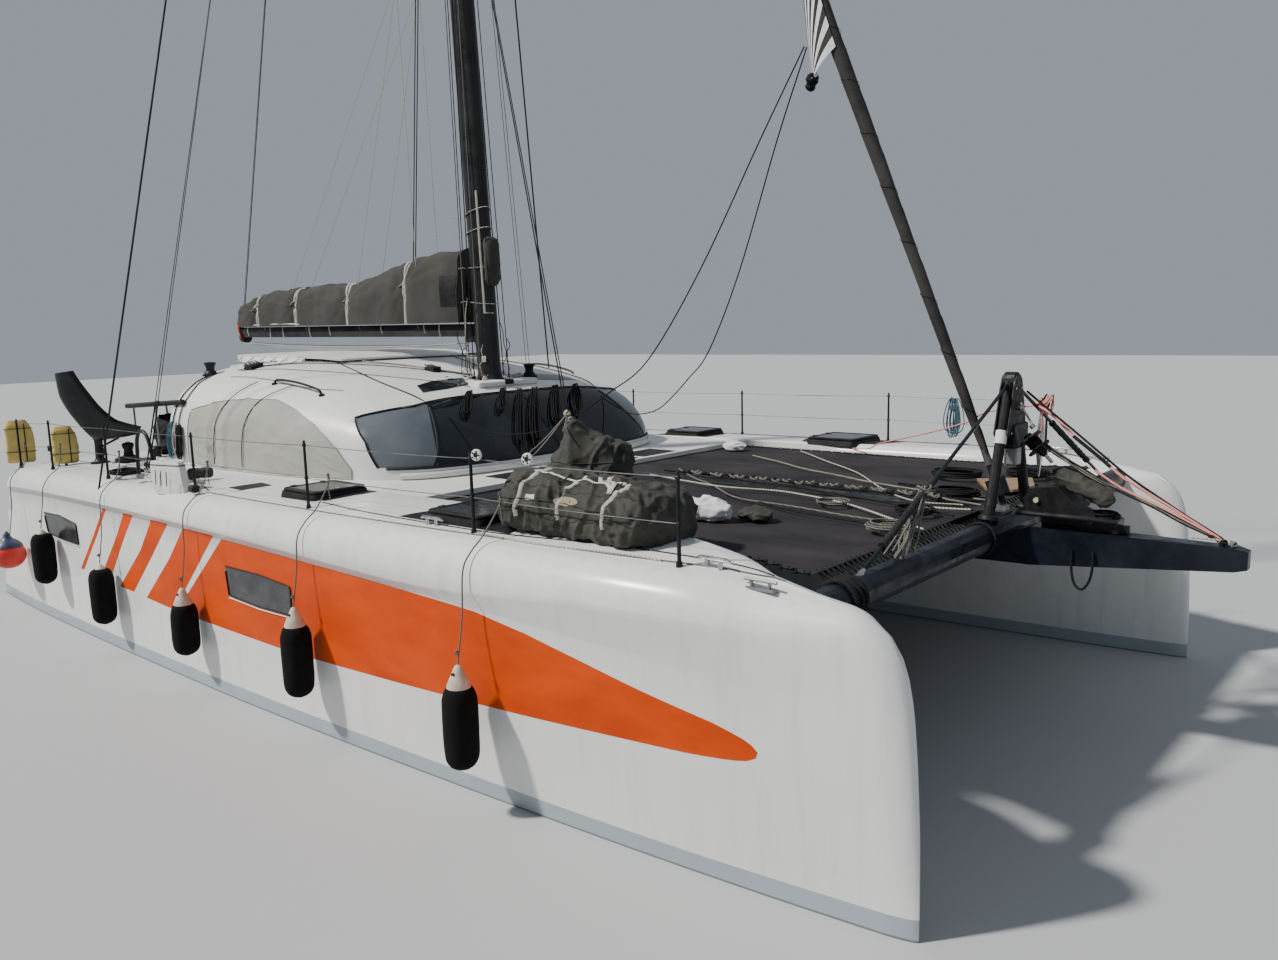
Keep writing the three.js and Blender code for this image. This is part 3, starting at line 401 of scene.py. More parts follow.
class Shape:
    def __init__(self):
        self.points, self.faces, self.marks, self.paint = [], [], [], 0

    def add(self, points, faces):
        start = len(self.points)
        self.points += [Vector(p) for p in points]
        self.faces += [[start + i for i in face] for face in faces]
        self.marks += [self.paint] * len(faces)
        return self

    def coloured(self, paint):
        self.paint = paint
        return self

    def loft(self, rings, caps=True, around=True):
        count = len(rings[0])
        wide = count if around else count - 1
        faces = [(r * count + i, r * count + (i + 1) % count, (r + 1) * count + (i + 1) % count,
                  (r + 1) * count + i) for r in range(len(rings) - 1) for i in range(wide)]
        if caps:
            faces += [tuple(range(count))[::-1], tuple(range((len(rings) - 1) * count, len(rings) * count))]
        return self.add([p for ring in rings for p in ring], faces)

    def tube(self, path, radius, sides=8, caps=True, flat=1.0):
        path = [Vector(p) for p in path]
        side = None
        rings = []
        for i, p in enumerate(path):
            along = (path[min(i + 1, len(path) - 1)] - path[max(i - 1, 0)]).normalized()
            if side is None:
                side = along.orthogonal() if abs(along.z) > 0.9 else along.cross(Vector((0, 0, 1)))
            side = (side - along * side.dot(along)).normalized()
            other = along.cross(side)
            r = radius[i] if isinstance(radius, (list, tuple)) else radius
            turns = (2 * math.pi * k / sides for k in range(sides))
            rings.append([p + r * (math.cos(t) * side + flat * math.sin(t) * other) for t in turns])
        return self.loft(rings, caps)

    def lathe(self, centre, axis, profile, sides=20):
        centre, axis = Vector(centre), Vector(axis).normalized()
        return self.tube([centre + axis * h for h, _ in profile], [r for _, r in profile], sides)

    def slab(self, outline, depth):
        """outline is a loop of points; depth the vector to the other face."""
        low = [Vector(p) for p in outline]
        return self.loft([low, [p + Vector(depth) for p in low]])

    def block(self, low, high, bevel=0.004):
        x0, y0, z0 = low
        x1, y1, z1 = high
        b = min(bevel, (x1 - x0) / 3, (y1 - y0) / 3, (z1 - z0) / 3)
        rings = []
        for z, inset in ((z0, b), (z0 + b, 0), (z1 - b, 0), (z1, b)):
            a, c = inset + b, inset
            rings.append([(x0 + a, y0 + c, z), (x1 - a, y0 + c, z), (x1 - c, y0 + a, z), (x1 - c, y1 - a, z),
                          (x1 - a, y1 - c, z), (x0 + a, y1 - c, z), (x0 + c, y1 - a, z), (x0 + c, y0 + a, z)])
        return self.loft(rings)

    def ball(self, centre, radius, stretch=(1, 1, 1), rings=8, sides=14):
        made = []
        for i in range(rings + 1):
            a = math.pi * (i + 0.02) / (rings + 0.04)
            made.append([Vector((math.sin(a) * math.cos(2 * math.pi * k / sides) * stretch[0],
                                 math.sin(a) * math.sin(2 * math.pi * k / sides) * stretch[1],
                                 math.cos(a) * stretch[2])) * radius + Vector(centre) for k in range(sides)])
        return self.loft(made[::-1])

    def mirrored(self):
        twin = Shape()
        twin.points = [Vector((p.x, -p.y, p.z)) for p in self.points]
        twin.faces = [face[::-1] for face in self.faces]
        twin.marks = list(self.marks)
        return twin

    def piece(self, name, *finishes, body="root", replaces=(), slot=None, smooth=35):
        item = mesh_from(name, self.points, self.faces)
        face_outwards(item.data)
        for finish in finishes:
            item.data.materials.append(finish.material)
        for polygon, mark in zip(item.data.polygons, self.marks):
            polygon.material_index = mark
        item.data.shade_smooth()
        item.data.set_sharp_from_angle(angle=math.radians(smooth))
        if body:
            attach(item, body)
        if replaces:
            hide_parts(*replaces)
        return item


def both_sides(shape, name, *finishes, replaces=None, **facts):
    """Make the starboard piece and its mirror image to port."""
    made = []
    for side, one in (("starboard", shape), ("port", shape.mirrored())):
        nodes = (f"{replaces}_{side}",) if replaces else ()
        made.append(one.piece(f"{name}_{side}", *finishes, replaces=nodes, **facts))
    return made


print("a plain block has", len(Shape().block((0, 0, 0), (1, 1, 1)).faces), "faces")

# %% [markdown]
# The tables below hold only a few measured numbers each. A curve fills in between them and never
# overshoots, and a rope is rounded in the same way. Booleans cut clean openings into a finished skin.

# %% Smooth curves through measured numbers
def place_in(xs, x):
    """Which step of the table x falls into, and how far through that step it lies, from 0 to 1."""
    i = max(0, min(len(xs) - 2, sum(x >= v for v in xs) - 1))
    return i, min(1, max(0, (x - xs[i]) / (xs[i + 1] - xs[i])))


def slopes(xs, ys):
    """Slopes that never overshoot the numbers they pass through."""
    steps = [(ys[i + 1] - ys[i]) / (xs[i + 1] - xs[i]) for i in range(len(xs) - 1)]
    inner = [0 if a * b <= 0 else 2 * a * b / (a + b) for a, b in zip(steps, steps[1:])]
    return [steps[0], *inner, steps[-1]]


def curve_through(xs, ys):
    rates = slopes(xs, ys)

    def at(x):
        i, t = place_in(xs, x)
        wide = xs[i + 1] - xs[i]
        a, b = (1 + 2 * t) * (1 - t) ** 2, t * (1 - t) ** 2
        c, d = t * t * (3 - 2 * t), t * t * (t - 1)
        return a * ys[i] + b * wide * rates[i] + c * ys[i + 1] + d * wide * rates[i + 1]
    return at


def straight(xs, ys):
    def at(x):
        i, t = place_in(xs, x)
        return ys[i] + t * (ys[i + 1] - ys[i])
    return at


def smooth_path(points, steps=8):
    """A path through the points, rounded at each of them."""
    points = [Vector(p) for p in points]
    ends = [2 * points[0] - points[1], *points, 2 * points[-1] - points[-2]]
    made = []
    for a, b, c, d in zip(ends, ends[1:], ends[2:], ends[3:]):
        for k in range(steps):
            t = k / steps
            made.append(0.5 * (2 * b + (c - a) * t + (2 * a - 5 * b + 4 * c - d) * t * t
                               + (3 * b - a - 3 * c + d) * t ** 3))
    return made + [points[-1]]


def sagging(start, end, sag, steps=10):
    start, end = Vector(start), Vector(end)
    return [start.lerp(end, k / steps) - Vector((0, 0, 4 * sag * (k / steps) * (1 - k / steps)))
            for k in range(steps + 1)]


def cut_by(item, *cutters):
    """Take the cutters' shapes out of the piece, and throw the cutters away."""
    for cutter in cutters:
        knife = mesh_from("knife", cutter.points, cutter.faces)
        face_outwards(knife.data)
        change = item.modifiers.new("cut", "BOOLEAN")
        change.operation, change.object, change.solver = "DIFFERENCE", knife, "MANIFOLD"
        graph = bpy.context.evaluated_depsgraph_get()
        result = bpy.data.meshes.new_from_object(item.evaluated_get(graph))
        item.modifiers.clear()
        old, item.data = item.data, result
        bpy.data.meshes.remove(old)
        bpy.data.objects.remove(knife)
    item.data.shade_smooth()
    item.data.set_sharp_from_angle(angle=math.radians(42))


def finish_node(finish, *names):
    for name in names:
        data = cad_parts[name].data
        data.materials.clear()
        data.materials.append(finish.material)


print("helpers ready; a path through three points has",
      len(smooth_path([(0, 0, 0), (1, 0, 0), (1, 1, 0)])), "points")

# %% [markdown]
# ## The hulls
#
# A cruising catamaran's hull is a deep narrow trough with a sharp crease high on its side, a softly
# rounded deck edge, and a nearly upright bow. Sculpting it would lose the exact lines. It is lofted
# instead: a table says how wide and how high each cross-section is, smooth curves fill in between, and
# sixty sections are skinned. The steps at the stern and the slot for the daggerboard are cut
# out afterwards, because a clean cut is easier than a skin that winds around a hole.

# %% Hull sections
HULL_Y = 3.080
HULL_TABLE = [
    # station, half widths at the waterline, the crease, the gunwale and inside, heights of the keel,
    # the crease, the deck and the start of the inner wall, and the share of the stem's curve
    (-6.900, 0.340, 0.400, 0.440, 0.420, -0.020, 1.500, 1.820, 0.850, 1.00),
    (-6.200, 0.385, 0.450, 0.505, 0.500, -0.110, 1.550, 1.850, 0.900, 0.50),
    (-5.400, 0.420, 0.467, 0.527, 0.550, -0.220, 1.590, 1.885, 0.930, 0.00),
    (-4.200, 0.445, 0.470, 0.530, 0.550, -0.380, 1.610, 1.910, 0.950, 0.00),
    (-2.500, 0.460, 0.470, 0.532, 0.550, -0.500, 1.610, 1.925, 0.950, 0.00),
    (-0.700, 0.455, 0.470, 0.532, 0.550, -0.540, 1.600, 1.940, 0.950, 0.00),
    (1.000, 0.415, 0.470, 0.530, 0.550, -0.540, 1.575, 1.965, 0.950, 0.00),
    (2.600, 0.345, 0.466, 0.528, 0.550, -0.510, 1.540, 1.985, 1.000, 0.00),
    (3.600, 0.290, 0.455, 0.525, 0.548, -0.480, 1.500, 2.000, 1.100, 0.00),
    (4.500, 0.232, 0.405, 0.500, 0.530, -0.440, 1.450, 2.010, 1.200, 0.00),
    (5.200, 0.178, 0.340, 0.410, 0.410, -0.380, 1.400, 1.998, 1.250, 0.05),
    (5.800, 0.122, 0.225, 0.270, 0.255, -0.300, 1.360, 1.965, 1.280, 0.42),
    (6.300, 0.066, 0.136, 0.172, 0.150, -0.200, 1.330, 1.925, 1.300, 0.80),
    (6.600, 0.030, 0.092, 0.125, 0.110, -0.120, 1.300, 1.895, 1.300, 1.00),
]
HULL_AT = [curve_through([row[0] for row in HULL_TABLE], list(column)) for column in zip(*HULL_TABLE)][1:]
STEM_BACK = curve_through([-0.2, 0, 0.5, 0.9, 1.26, 1.47, 1.6, 1.7, 1.79, 1.87, 1.905],
                          [0.04, 0, 0.005, 0.022, 0.05, 0.08, 0.115, 0.165, 0.25, 0.39, 0.55])
NOSE_START, NOSE_END = 6.40, 6.60


def fade(value, low, high):
    t = min(1, max(0, (value - low) / (high - low)))
    return t * t * (3 - 2 * t)


def hull_ring(station):
    water, crease, edge, inner, keel, crease_z, deck, wall_z, slope = (f(station) for f in HULL_AT)
    pinch = 1.0
    if station > NOSE_START:
        pinch = math.sqrt(max(0.02, 1 - ((station - NOSE_START) / (NOSE_END - NOSE_START)) ** 2.2))
    water, crease, edge, inner = (v * pinch for v in (water, crease, edge, inner))
    bend = min(0.240, 0.90 * edge)
    bend_in = min(0.120 + 0.10 * fade(station, 4.4, 5.8), 0.90 * inner) if station > 2.6 else 0.015
    ring = [(0, keel), (0.3 * water, 0.97 * keel), (0.55 * water, 0.86 * keel), (0.76 * water, 0.67 * keel),
            (0.9 * water, 0.45 * keel), (0.97 * water, 0.22 * keel)]
    for k in range(9):
        t = k / 8
        ring.append((water + (crease - water) * (1.48 * t - 0.48 * t * t), crease_z * t))
    spread = 0.070 + (deck - bend - crease_z - 0.090) * fade(station, 2.2, 4.6)
    for k in range(1, 8):
        ring.append((crease + (edge - crease) * k / 7, crease_z + spread * k / 7))
    for k in range(9):
        a = math.radians(87 * k / 8)
        ring.append((edge - bend * (1 - math.cos(a)), deck - bend * (1 - math.sin(a))))
    crown = deck + 0.06 * edge
    for t in (0.35, 0.7, 1.0):
        ring.append(((edge - bend) * (1 - t), deck + (crown - deck) * t ** 0.7))
    inner_z = deck + 0.08 * inner
    ring.append((-0.5 * (inner - bend_in), 0.5 * (crown + inner_z) + 0.004))
    for k in range(6):
        a = math.radians(90 * k / 5)
        ring.append((-(inner - bend_in) - bend_in * math.sin(a), inner_z - bend_in * (1 - math.cos(a))))
    for k in range(1, 6):
        t = k / 5
        ring.append((-inner, inner_z - bend_in + (wall_z - inner_z + bend_in) * t))
    for k in range(1, 7):
        t = 1 - k / 6
        ring.append((-(water + (inner - water) * (0.2 * t + 0.8 * t * t)), wall_z * t))
    ring += [(-0.97 * water, 0.22 * keel), (-0.9 * water, 0.45 * keel), (-0.76 * water, 0.67 * keel),
             (-0.55 * water, 0.86 * keel), (-0.3 * water, 0.97 * keel)]
    made = []
    for out, z in ring:
        back = slope * STEM_BACK(z) if station > 0 else -slope * 1.050 * max(z, 0) / 1.990
        made.append(Vector((station - back, -(HULL_Y + out), z)))
    return made


stations = [-6.9 + 0.35 * k for k in range(30)]
stations += [3.6 + 0.14 * k for k in range(20)] + [6.32, 6.38, 6.43, 6.48, 6.52, 6.55, 6.572,
                                                   6.587, 6.596, 6.60]
rings = [hull_ring(s) for s in stations]
hull_shape = Shape().loft(rings, caps=False)
around = len(rings[0])
nose = (len(rings) - 1) * around
hull_shape.faces.append(list(range(around))[::-1])
front = [Vector((p.y, p.z, 0)) for p in rings[-1]]
for a, b, c in tessellate_polygon([front]):
    facing = (front[b] - front[a]).cross(front[c] - front[a]).z
    hull_shape.faces.append([nose + a, nose + b, nose + c] if facing > 0 else [nose + c, nose + b, nose + a])
hull_shape.marks = [0] * len(hull_shape.faces)
print("hull points", len(hull_shape.points))

# %% [markdown]
# The cutters are slabs: two for the bathing steps, one for the daggerboard's trunk. The bearing of the
# rudder and the mouth of the board's guide stay small: the frame leaves them a few millimetres.

# %% Cut the steps and the trunk, once for each side
def box_shape(low, high):
    (x0, y0, z0), (x1, y1, z1) = low, high
    return Shape().slab([(x0, y0, z0), (x1, y0, z0), (x1, y1, z0), (x0, y1, z0)], (0, 0, z1 - z0))


BOARD_X, BOARD_Y, BOARD_CHORD, BOARD_T = -1.930, 3.200, 0.620, 0.090


def board_outline(grow):
    """The daggerboard's wing-like section, grown by a gap."""
    half_chord = BOARD_CHORD / 2 + grow
    ring = []
    for k in range(24):
        a = 2 * math.pi * k / 24
        ring.append((BOARD_X + half_chord * math.cos(a),
                     -BOARD_Y + (BOARD_T / 2 + grow) * math.sin(a) * (1.1 if math.cos(a) > 0 else 0.95)))
    return ring


cutters = [box_shape((-7.2, -3.60, 0.620), (-6.200, -2.56, 2.5)),
           box_shape((-6.3, -3.60, 1.250), (-5.860, -2.56, 2.5)),
           Shape().slab([(x, y, -1.0) for x, y in board_outline(0.004)], (0, 0, 3.6))]
hull = hull_shape.piece("hull_skin_starboard", gelcoat, replaces=("hull_starboard",), slot="gelcoat")
cut_by(hull, *cutters)
cut_shape = Shape().add([v.co for v in hull.data.vertices], [list(p.vertices) for p in hull.data.polygons])
cut_shape.mirrored().piece("hull_skin_port", gelcoat, replaces=("hull_port",), slot="gelcoat", smooth=32)
print("faces on each hull", len(hull.data.polygons))

# %% [markdown]
# ## Film, portlights and everything else that lies on the hull
#
# The orange graphic is film stuck on the gelcoat. Painting it in the material would need its outline as
# maths. As a thin patch of mesh its outline stays sharp: rows of points are shot at the hull from the
# side, and where they land the patch is laid, two millimetres proud.

# %% Shoot patches onto the hull
def tree_of(item):
    shape = bmesh.new()
    shape.from_mesh(item.data)
    tree = BVHTree.FromBMesh(shape)
    shape.free()
    return tree


hull_tree = tree_of(hull)


def on_hull(x, z, proud=0.002):
    hit, normal, _, _ = hull_tree.ray_cast(Vector((x, -5, z)), Vector((0, 1, 0)))
    if hit is None:
        return Vector((x, -3.55, z))
    if normal.y > 0:
        normal = -normal
    return hit + normal * proud


def along_line(points, t):
    """The point at share t of a line through the points."""
    lengths = [math.dist(a, b) for a, b in zip(points, points[1:])]
    reach = t * sum(lengths)
    for (a, b), length in zip(zip(points, points[1:]), lengths):
        if reach <= length or (a, b) == (points[-2], points[-1]):
            s = reach / length
            return (a[0] + (b[0] - a[0]) * s, a[1] + (b[1] - a[1]) * s)
        reach -= length


def hull_patch(shape, top, bottom, columns, rows, proud=0.002):
    rings = []
    for j in range(rows + 1):
        line = []
        for i in range(columns + 1):
            a, b = along_line(top, i / columns), along_line(bottom, i / columns)
            s = j / rows
            line.append(on_hull(a[0] + (b[0] - a[0]) * s, a[1] + (b[1] - a[1]) * s, proud))
        rings.append(line)
    return shape.loft(rings, caps=False, around=False)


CREASE_Z = HULL_AT[5]


def crease_line(start, stop, steps=14):
    return [(x, CREASE_Z(x) - 0.006) for x in (start + (stop - start) * k / steps for k in range(steps + 1))]


print("the hull's side at x 0 and z 1 lies at y", round(on_hull(0, 1).y, 3))

# %% [markdown]
# Each stripe is ruled between its two edges, from the crease down. The long body is ruled between its
# upper and its lower edge, and the upper one follows the crease until the body starts to taper.

# %% The orange graphic: three slanted stripes, a broad one, and the long body
STRIPES = [
    # aft edge, fore edge, both from the crease down
    ([(-2.90, 1.62), (-3.24, 1.28), (-3.74, 0.81)], [(-2.82, 1.62), (-3.15, 1.28), (-3.65, 0.81)]),
    ([(-2.37, 1.62), (-2.62, 1.33), (-3.17, 0.79)], [(-2.14, 1.62), (-2.43, 1.33), (-2.93, 0.78)]),
    ([(-1.70, 1.62), (-2.04, 1.25), (-2.66, 0.76)], [(-1.33, 1.62), (-1.74, 1.25), (-2.32, 0.75)]),
    ([(-1.00, 1.61), (-1.37, 1.25), (-2.01, 0.735)],
     [(-0.38, 1.61), (-0.70, 1.32), (-1.14, 0.92), (-1.43, 0.71)]),
]
BODY_LOW = [(-1.32, 0.705), (0.57, 0.69), (1.25, 0.70), (2.3, 0.735), (3.37, 0.780), (4.2, 0.820),
            (4.825, 0.849),
            (5.19, 0.863), (5.45, 0.880), (5.57, 0.893), (5.63, 0.912), (5.65, 0.928)]
BODY_HIGH = crease_line(-0.23, 3.4) + [(3.9, 1.430), (4.4, 1.320), (4.862, 1.216), (5.216, 1.143),
                                       (5.375, 1.108),
                                       (5.50, 1.066), (5.59, 1.032), (5.64, 1.000), (5.665, 0.968)]

stripes = Shape()
for aft, fore in STRIPES:
    hull_patch(stripes, aft, fore, 26, 6)
hull_patch(stripes, BODY_HIGH, BODY_LOW, 110, 12)
films = both_sides(stripes, "orange_graphic", film, slot="gelcoat")
print("film faces", len(films[0].data.polygons))

# %% [markdown]
# A portlight is a smoked pane bonded into the side with a thin dark frame, and a narrow pale lip under
# it. Its corners are cut by the same ruled patch: the frame is a tube laid along the pane's edge.

# %% Portlights with frame and lip
PORTS = [
    ([(-4.70, 1.385), (-4.2, 1.395), (-3.72, 1.345)], [(-4.63, 1.135), (-4.15, 1.105), (-3.70, 1.10)]),
    ([(-0.20, 1.335), (0.4, 1.34), (0.94, 1.305)], [(-0.17, 1.055), (0.38, 1.03), (0.92, 1.04)]),
]
ports = Shape()
for top, bottom in PORTS:
    hull_patch(ports.coloured(0), top, bottom, 16, 4, 0.004)
    edge = [*top, *bottom[::-1], top[0]]
    ports.coloured(1).tube([on_hull(*along_line(edge, k / 60), 0.003) for k in range(60)], 0.012, 6, flat=0.5)
    lip = [(x, z - 0.022) for x, z in bottom]
    ports.coloured(2).tube([on_hull(*along_line(lip, k / 16), 0.004) for k in range(17)], 0.010, 6, flat=0.6)
both_sides(ports, "portlights", port_glass, black_plastic, white_plastic, slot="glass", smooth=50)
print("portlights on each side", len(PORTS))

# %% [markdown]
# ## Fenders
#
# A fender is a blown vinyl bottle inside a fleece sock, hung by a line through the eye of its neck. The
# sock wrinkles, so the sausage is lofted with small seeded bulges. The two forward fenders show their
# cream necks. The line goes up over the deck edge to the guard wire, where it is made fast with a hitch
# and a short tail.

# %% Fenders and the ball
EDGE_Z = curve_through([row[0] for row in HULL_TABLE], [row[7] - 0.012 for row in HULL_TABLE])
POSTS = [(-5.640, 3.440), (-4.680, 3.400), (-3.050, 3.400), (-1.050, 3.365), (0.950, 3.320), (3.140, 3.290),
         (5.050, 3.250)]
RAIL_Y = straight([x for x, _ in POSTS], [y for _, y in POSTS])
FENDERS = [(3.390, 1.150, 0.370), (1.240, 1.210, 0.420), (-0.810, 1.060, 0.380), (-2.750, 1.040, 0.350),
           (-4.400, 1.240, 0.560)]
FENDER_Y = -3.705


def lanyard(x, z):
    deck, wire_y = EDGE_Z(x), -RAIL_Y(x + 0.06) - 0.009
    return smooth_path([(x, FENDER_Y, z), (x + 0.015, -3.655, z + 0.35), (x + 0.03, -3.640, deck - 0.16),
                        (x + 0.04, -3.560, deck - 0.03), (x + 0.05, -3.450, deck + 0.07),
                        (x + 0.06, wire_y, deck + 0.27), (x + 0.06, wire_y, deck + 0.34)], 6)


def knot(shape, centre, size):
    """Three crossed turns of rope, as a hitch or an overhand knot looks from a step away."""
    for k in range(3):
        tilt = Matrix.Rotation(k * 1.05 + 0.3, 3, "X") @ Matrix.Rotation(0.7 * k, 3, "Y")
        ring = [Vector(centre)
                + tilt @ Vector((math.cos(a) * size, math.sin(a) * size, 0.25 * size * math.sin(2 * a)))
                for a in (2 * math.pi * i / 10 for i in range(11))]
        shape.tube(ring, size * 0.42, 6)


for number, (x, top, foot) in enumerate(FENDERS, 1):
    sock = Shape()
    neck = number in (1, 2, 3)
    body_top = top - (0.15 if neck else 0.06)
    profile = [(0, 0.028), (0.012, 0.060), (0.045, 0.104), (0.10, 0.127), (0.20, 0.133), (0.35, 0.1335),
               (body_top - foot - 0.12, 0.132), (body_top - foot - 0.05, 0.118),
               (body_top - foot - 0.012, 0.092),
               (body_top - foot, 0.066)]
    shape_of = curve_through([h for h, _ in profile], [r for _, r in profile])
    rings = []
    for i in range(34):
        h = (body_top - foot) * i / 33
        z = foot + h
        ring = []
        for k in range(28):
            a = 2 * math.pi * k / 28
            out = noise.noise(Vector((x * 3 + math.cos(a) * 1.6, math.sin(a) * 1.6, z * 3.2)))
            fold = noise.noise(Vector((x * 5 + a * 0.9, 7.0, z * 15)))
            r = shape_of(h) + 0.0035 * out + 0.0015 * fold - 0.004
            ring.append((x + r * math.cos(a), FENDER_Y + r * math.sin(a), z))
        rings.append(ring)
    sock.coloured(0).loft(rings)
    sock.coloured(2).tube(lanyard(x, top), 0.006, 8)
    hitch = lanyard(x, top)[-1]
    knot(sock, hitch, 0.011)
    sock.tube(smooth_path([hitch, hitch + Vector((0.02, -0.02, -0.08)),
                           hitch + Vector((0.035, -0.015, -0.22))], 5), 0.005)
    knot(sock, (x, FENDER_Y, top + 0.09), 0.013)
    if neck:
        cone = [(0, 0.088), (0.02, 0.085), (0.07, 0.062), (0.105, 0.045), (0.135, 0.034), (0.155, 0.022),
                (0.165, 0.008)]
        sock.coloured(1).lathe((x, FENDER_Y, body_top - 0.012), (0, 0, 1), cone, 24)
        sock.coloured(3).tube([(x, FENDER_Y - 0.05, body_top + 0.085),
                               (x, FENDER_Y - 0.036, body_top + 0.085)], 0.018, 12)
    else:
        sock.coloured(1).lathe((x, FENDER_Y, body_top - 0.01), (0, 0, 1),
                               [(0, 0.06), (0.02, 0.05), (0.05, 0.02), (0.06, 0.01)])
    sock.piece(f"fender_sock_{number}", fleece, cream_plastic, grey_rope, black_plastic,
               replaces=(f"fender_{number}",),
               slot="black", smooth=50)

ball = Shape().coloured(0)
BALL, BALL_R = Vector((-5.500, -3.745, 0.800)), 0.196
rings = []
for i in range(22):
    a = math.pi * (i + 0.3) / 22.4
    r = BALL_R * math.sin(a) * (1 + 0.05 * math.cos(a))
    rings.append([(BALL.x + r * math.cos(t), BALL.y + r * math.sin(t), BALL.z - 0.185 * math.cos(a) - 0.01)
                  for t in (2 * math.pi * k / 30 for k in range(30))])
ball.loft(rings)
ball.coloured(1).lathe(BALL + Vector((0, 0, 0.085)), (0, 0, 1),
                       [(0, 0.172), (0.03, 0.158), (0.07, 0.120), (0.10, 0.070), (0.13, 0.045), (0.16, 0.04),
                        (0.185, 0.02)], 30)
ball.coloured(2).tube(lanyard(BALL.x, 1.05), 0.006)
knot(ball, (BALL.x, BALL.y, 1.07), 0.014)
ball.piece("fender_ball_skin", red_plastic, blue_plastic, grey_rope, replaces=("fender_ball",),
           slot="red", smooth=50)
print("fenders", len(FENDERS), "and a ball of radius", BALL_R)

# %% [markdown]
# ## The coach roof
#
# The cabin top is one white moulding like a flattened bubble. Each cross-section is a superellipse: a
# circle whose power is raised, so that its sides stand up and its top lies flat. A table gives width
# and height along the boat, and the sections are skinned inside and outside into one shell. The
# windscreen is then cut out of it.

# %% The roof shell
ROOF_BASE, ROOF_POWER, ROOF_SHELL = 1.9903, 3.6, 0.045
ROOF_TABLE = [(-4.200, 2.420, 3.110), (-3.500, 2.480, 3.155), (-2.500, 2.480, 3.160), (-1.600, 2.440, 3.090),
              (-0.900, 2.370, 2.995), (-0.390, 2.290, 2.905), (-0.100, 2.215, 2.835), (0.080, 2.150, 2.770),
              (0.220, 2.065, 2.690), (0.360, 1.970, 2.580), (0.500, 1.840, 2.450), (0.620, 1.640, 2.330),
              (0.720, 1.330, 2.215), (0.800, 0.860, 2.110), (0.850, 0.350, 2.030)]
ROOF_HALF = curve_through([r[0] for r in ROOF_TABLE], [r[1] for r in ROOF_TABLE])
ROOF_TOP = curve_through([r[0] for r in ROOF_TABLE], [r[2] for r in ROOF_TABLE])


def roof_arc(x, inset, count=56):
    half = max(0.02, ROOF_HALF(x) - inset)
    tall = max(0.004, ROOF_TOP(x) - ROOF_BASE - inset)
    arc = []
    for k in range(count + 1):
        a = math.pi * k / count
        c, s = math.cos(a), math.sin(a)
        arc.append(Vector((x, -half * math.copysign(abs(c) ** (2 / ROOF_POWER), c),
                           ROOF_BASE + tall * abs(s) ** (2 / ROOF_POWER))))
    return arc


ROOF_X = [-4.2 + 0.12 * k for k in range(34)] + [-0.12, -0.02, 0.07, 0.15, 0.23, 0.31, 0.38, 0.45, 0.51,
                                                 0.57, 0.62, 0.67, 0.71, 0.74, 0.77, 0.80, 0.825, 0.84, 0.85]


def roof_shell(outside, inside):
    return Shape().loft([roof_arc(x, outside) + roof_arc(x, inside)[::-1] for x in ROOF_X])


SCREEN = [(0.21, 2.115), (1.2, 2.115), (1.2, 3.1), (0.09, 3.1), (0.08, 2.70), (-0.20, 2.62), (0.07, 2.38)]


def xz_prism(outline, low, high):
    return Shape().slab([(x, low, z) for x, z in outline], (0, high - low, 0))


whole = roof_shell(0, ROOF_SHELL)
dome = BVHTree.FromPolygons(whole.points, whole.faces)
roof = whole.piece("roof_moulding", deck_skin, replaces=("coach_roof",), slot="gelcoat")
screen_prism = xz_prism(SCREEN[::-1], -2.6, 2.6)
cut_by(roof, screen_prism, box_shape((-4.4, -2.7, 1.9), (-3.48, -1.25, 3.3)),
       box_shape((-4.4, 1.25, 1.9), (-3.48, 2.7, 3.3)), box_shape((-4.4, -1.3, 1.9), (-3.48, 1.3, 2.74)))
print("roof faces", len(roof.data.polygons))


def on_roof(point, direction, proud=0.003):
    """Where a line from the point meets the roof, lifted a little."""
    direction = Vector(direction).normalized()
    hit, normal, _, _ = dome.ray_cast(Vector(point), direction)
    if hit is None:
        return Vector(point)
    if normal.dot(direction) > 0:
        normal = -normal
    return hit + normal * proud


def over_roof(x, y, proud=0.003):
    return on_roof((x, y, 5), (0, 0, -1), proud)


def beside_roof(x, z, proud=0.003):
    return on_roof((x, -5, z), (0, 1, 0), proud)


def before_roof(y, z, proud=0.003):
    return on_roof((3, y, z), (-1, 0, 0), proud)


# %% [markdown]
# The windscreen is a thin shell a little inside the roof's own, cut by the same prism, so it lies in its
# frame with an even step all round. Its outermost panes are a paler grey than the rest. Tubes of black
# sealant run round the opening, and narrow bars divide the panes.

# %% Windscreen panes, sealant and bars
def meet(shape, *others):
    """Keep what the shape has in common with the others, as plain points and faces."""
    item = mesh_from("meeting", shape.points, shape.faces)
    face_outwards(item.data)
    for other in others:
        knife = mesh_from("knife", other.points, other.faces)
        face_outwards(knife.data)
        change = item.modifiers.new("meet", "BOOLEAN")
        change.operation, change.object, change.solver = "INTERSECT", knife, "EXACT"
        result = bpy.data.meshes.new_from_object(item.evaluated_get(bpy.context.evaluated_depsgraph_get()))
        item.modifiers.clear()
        item.data = result
        bpy.data.objects.remove(knife)
    points = [v.co.copy() for v in item.data.vertices]
    faces = [list(p.vertices) for p in item.data.polygons]
    bpy.data.objects.remove(item)
    return points, faces


def xy_prism(outline):
    return Shape().slab([(x, y, 1.8) for x, y in outline], (0, 0, 1.6))


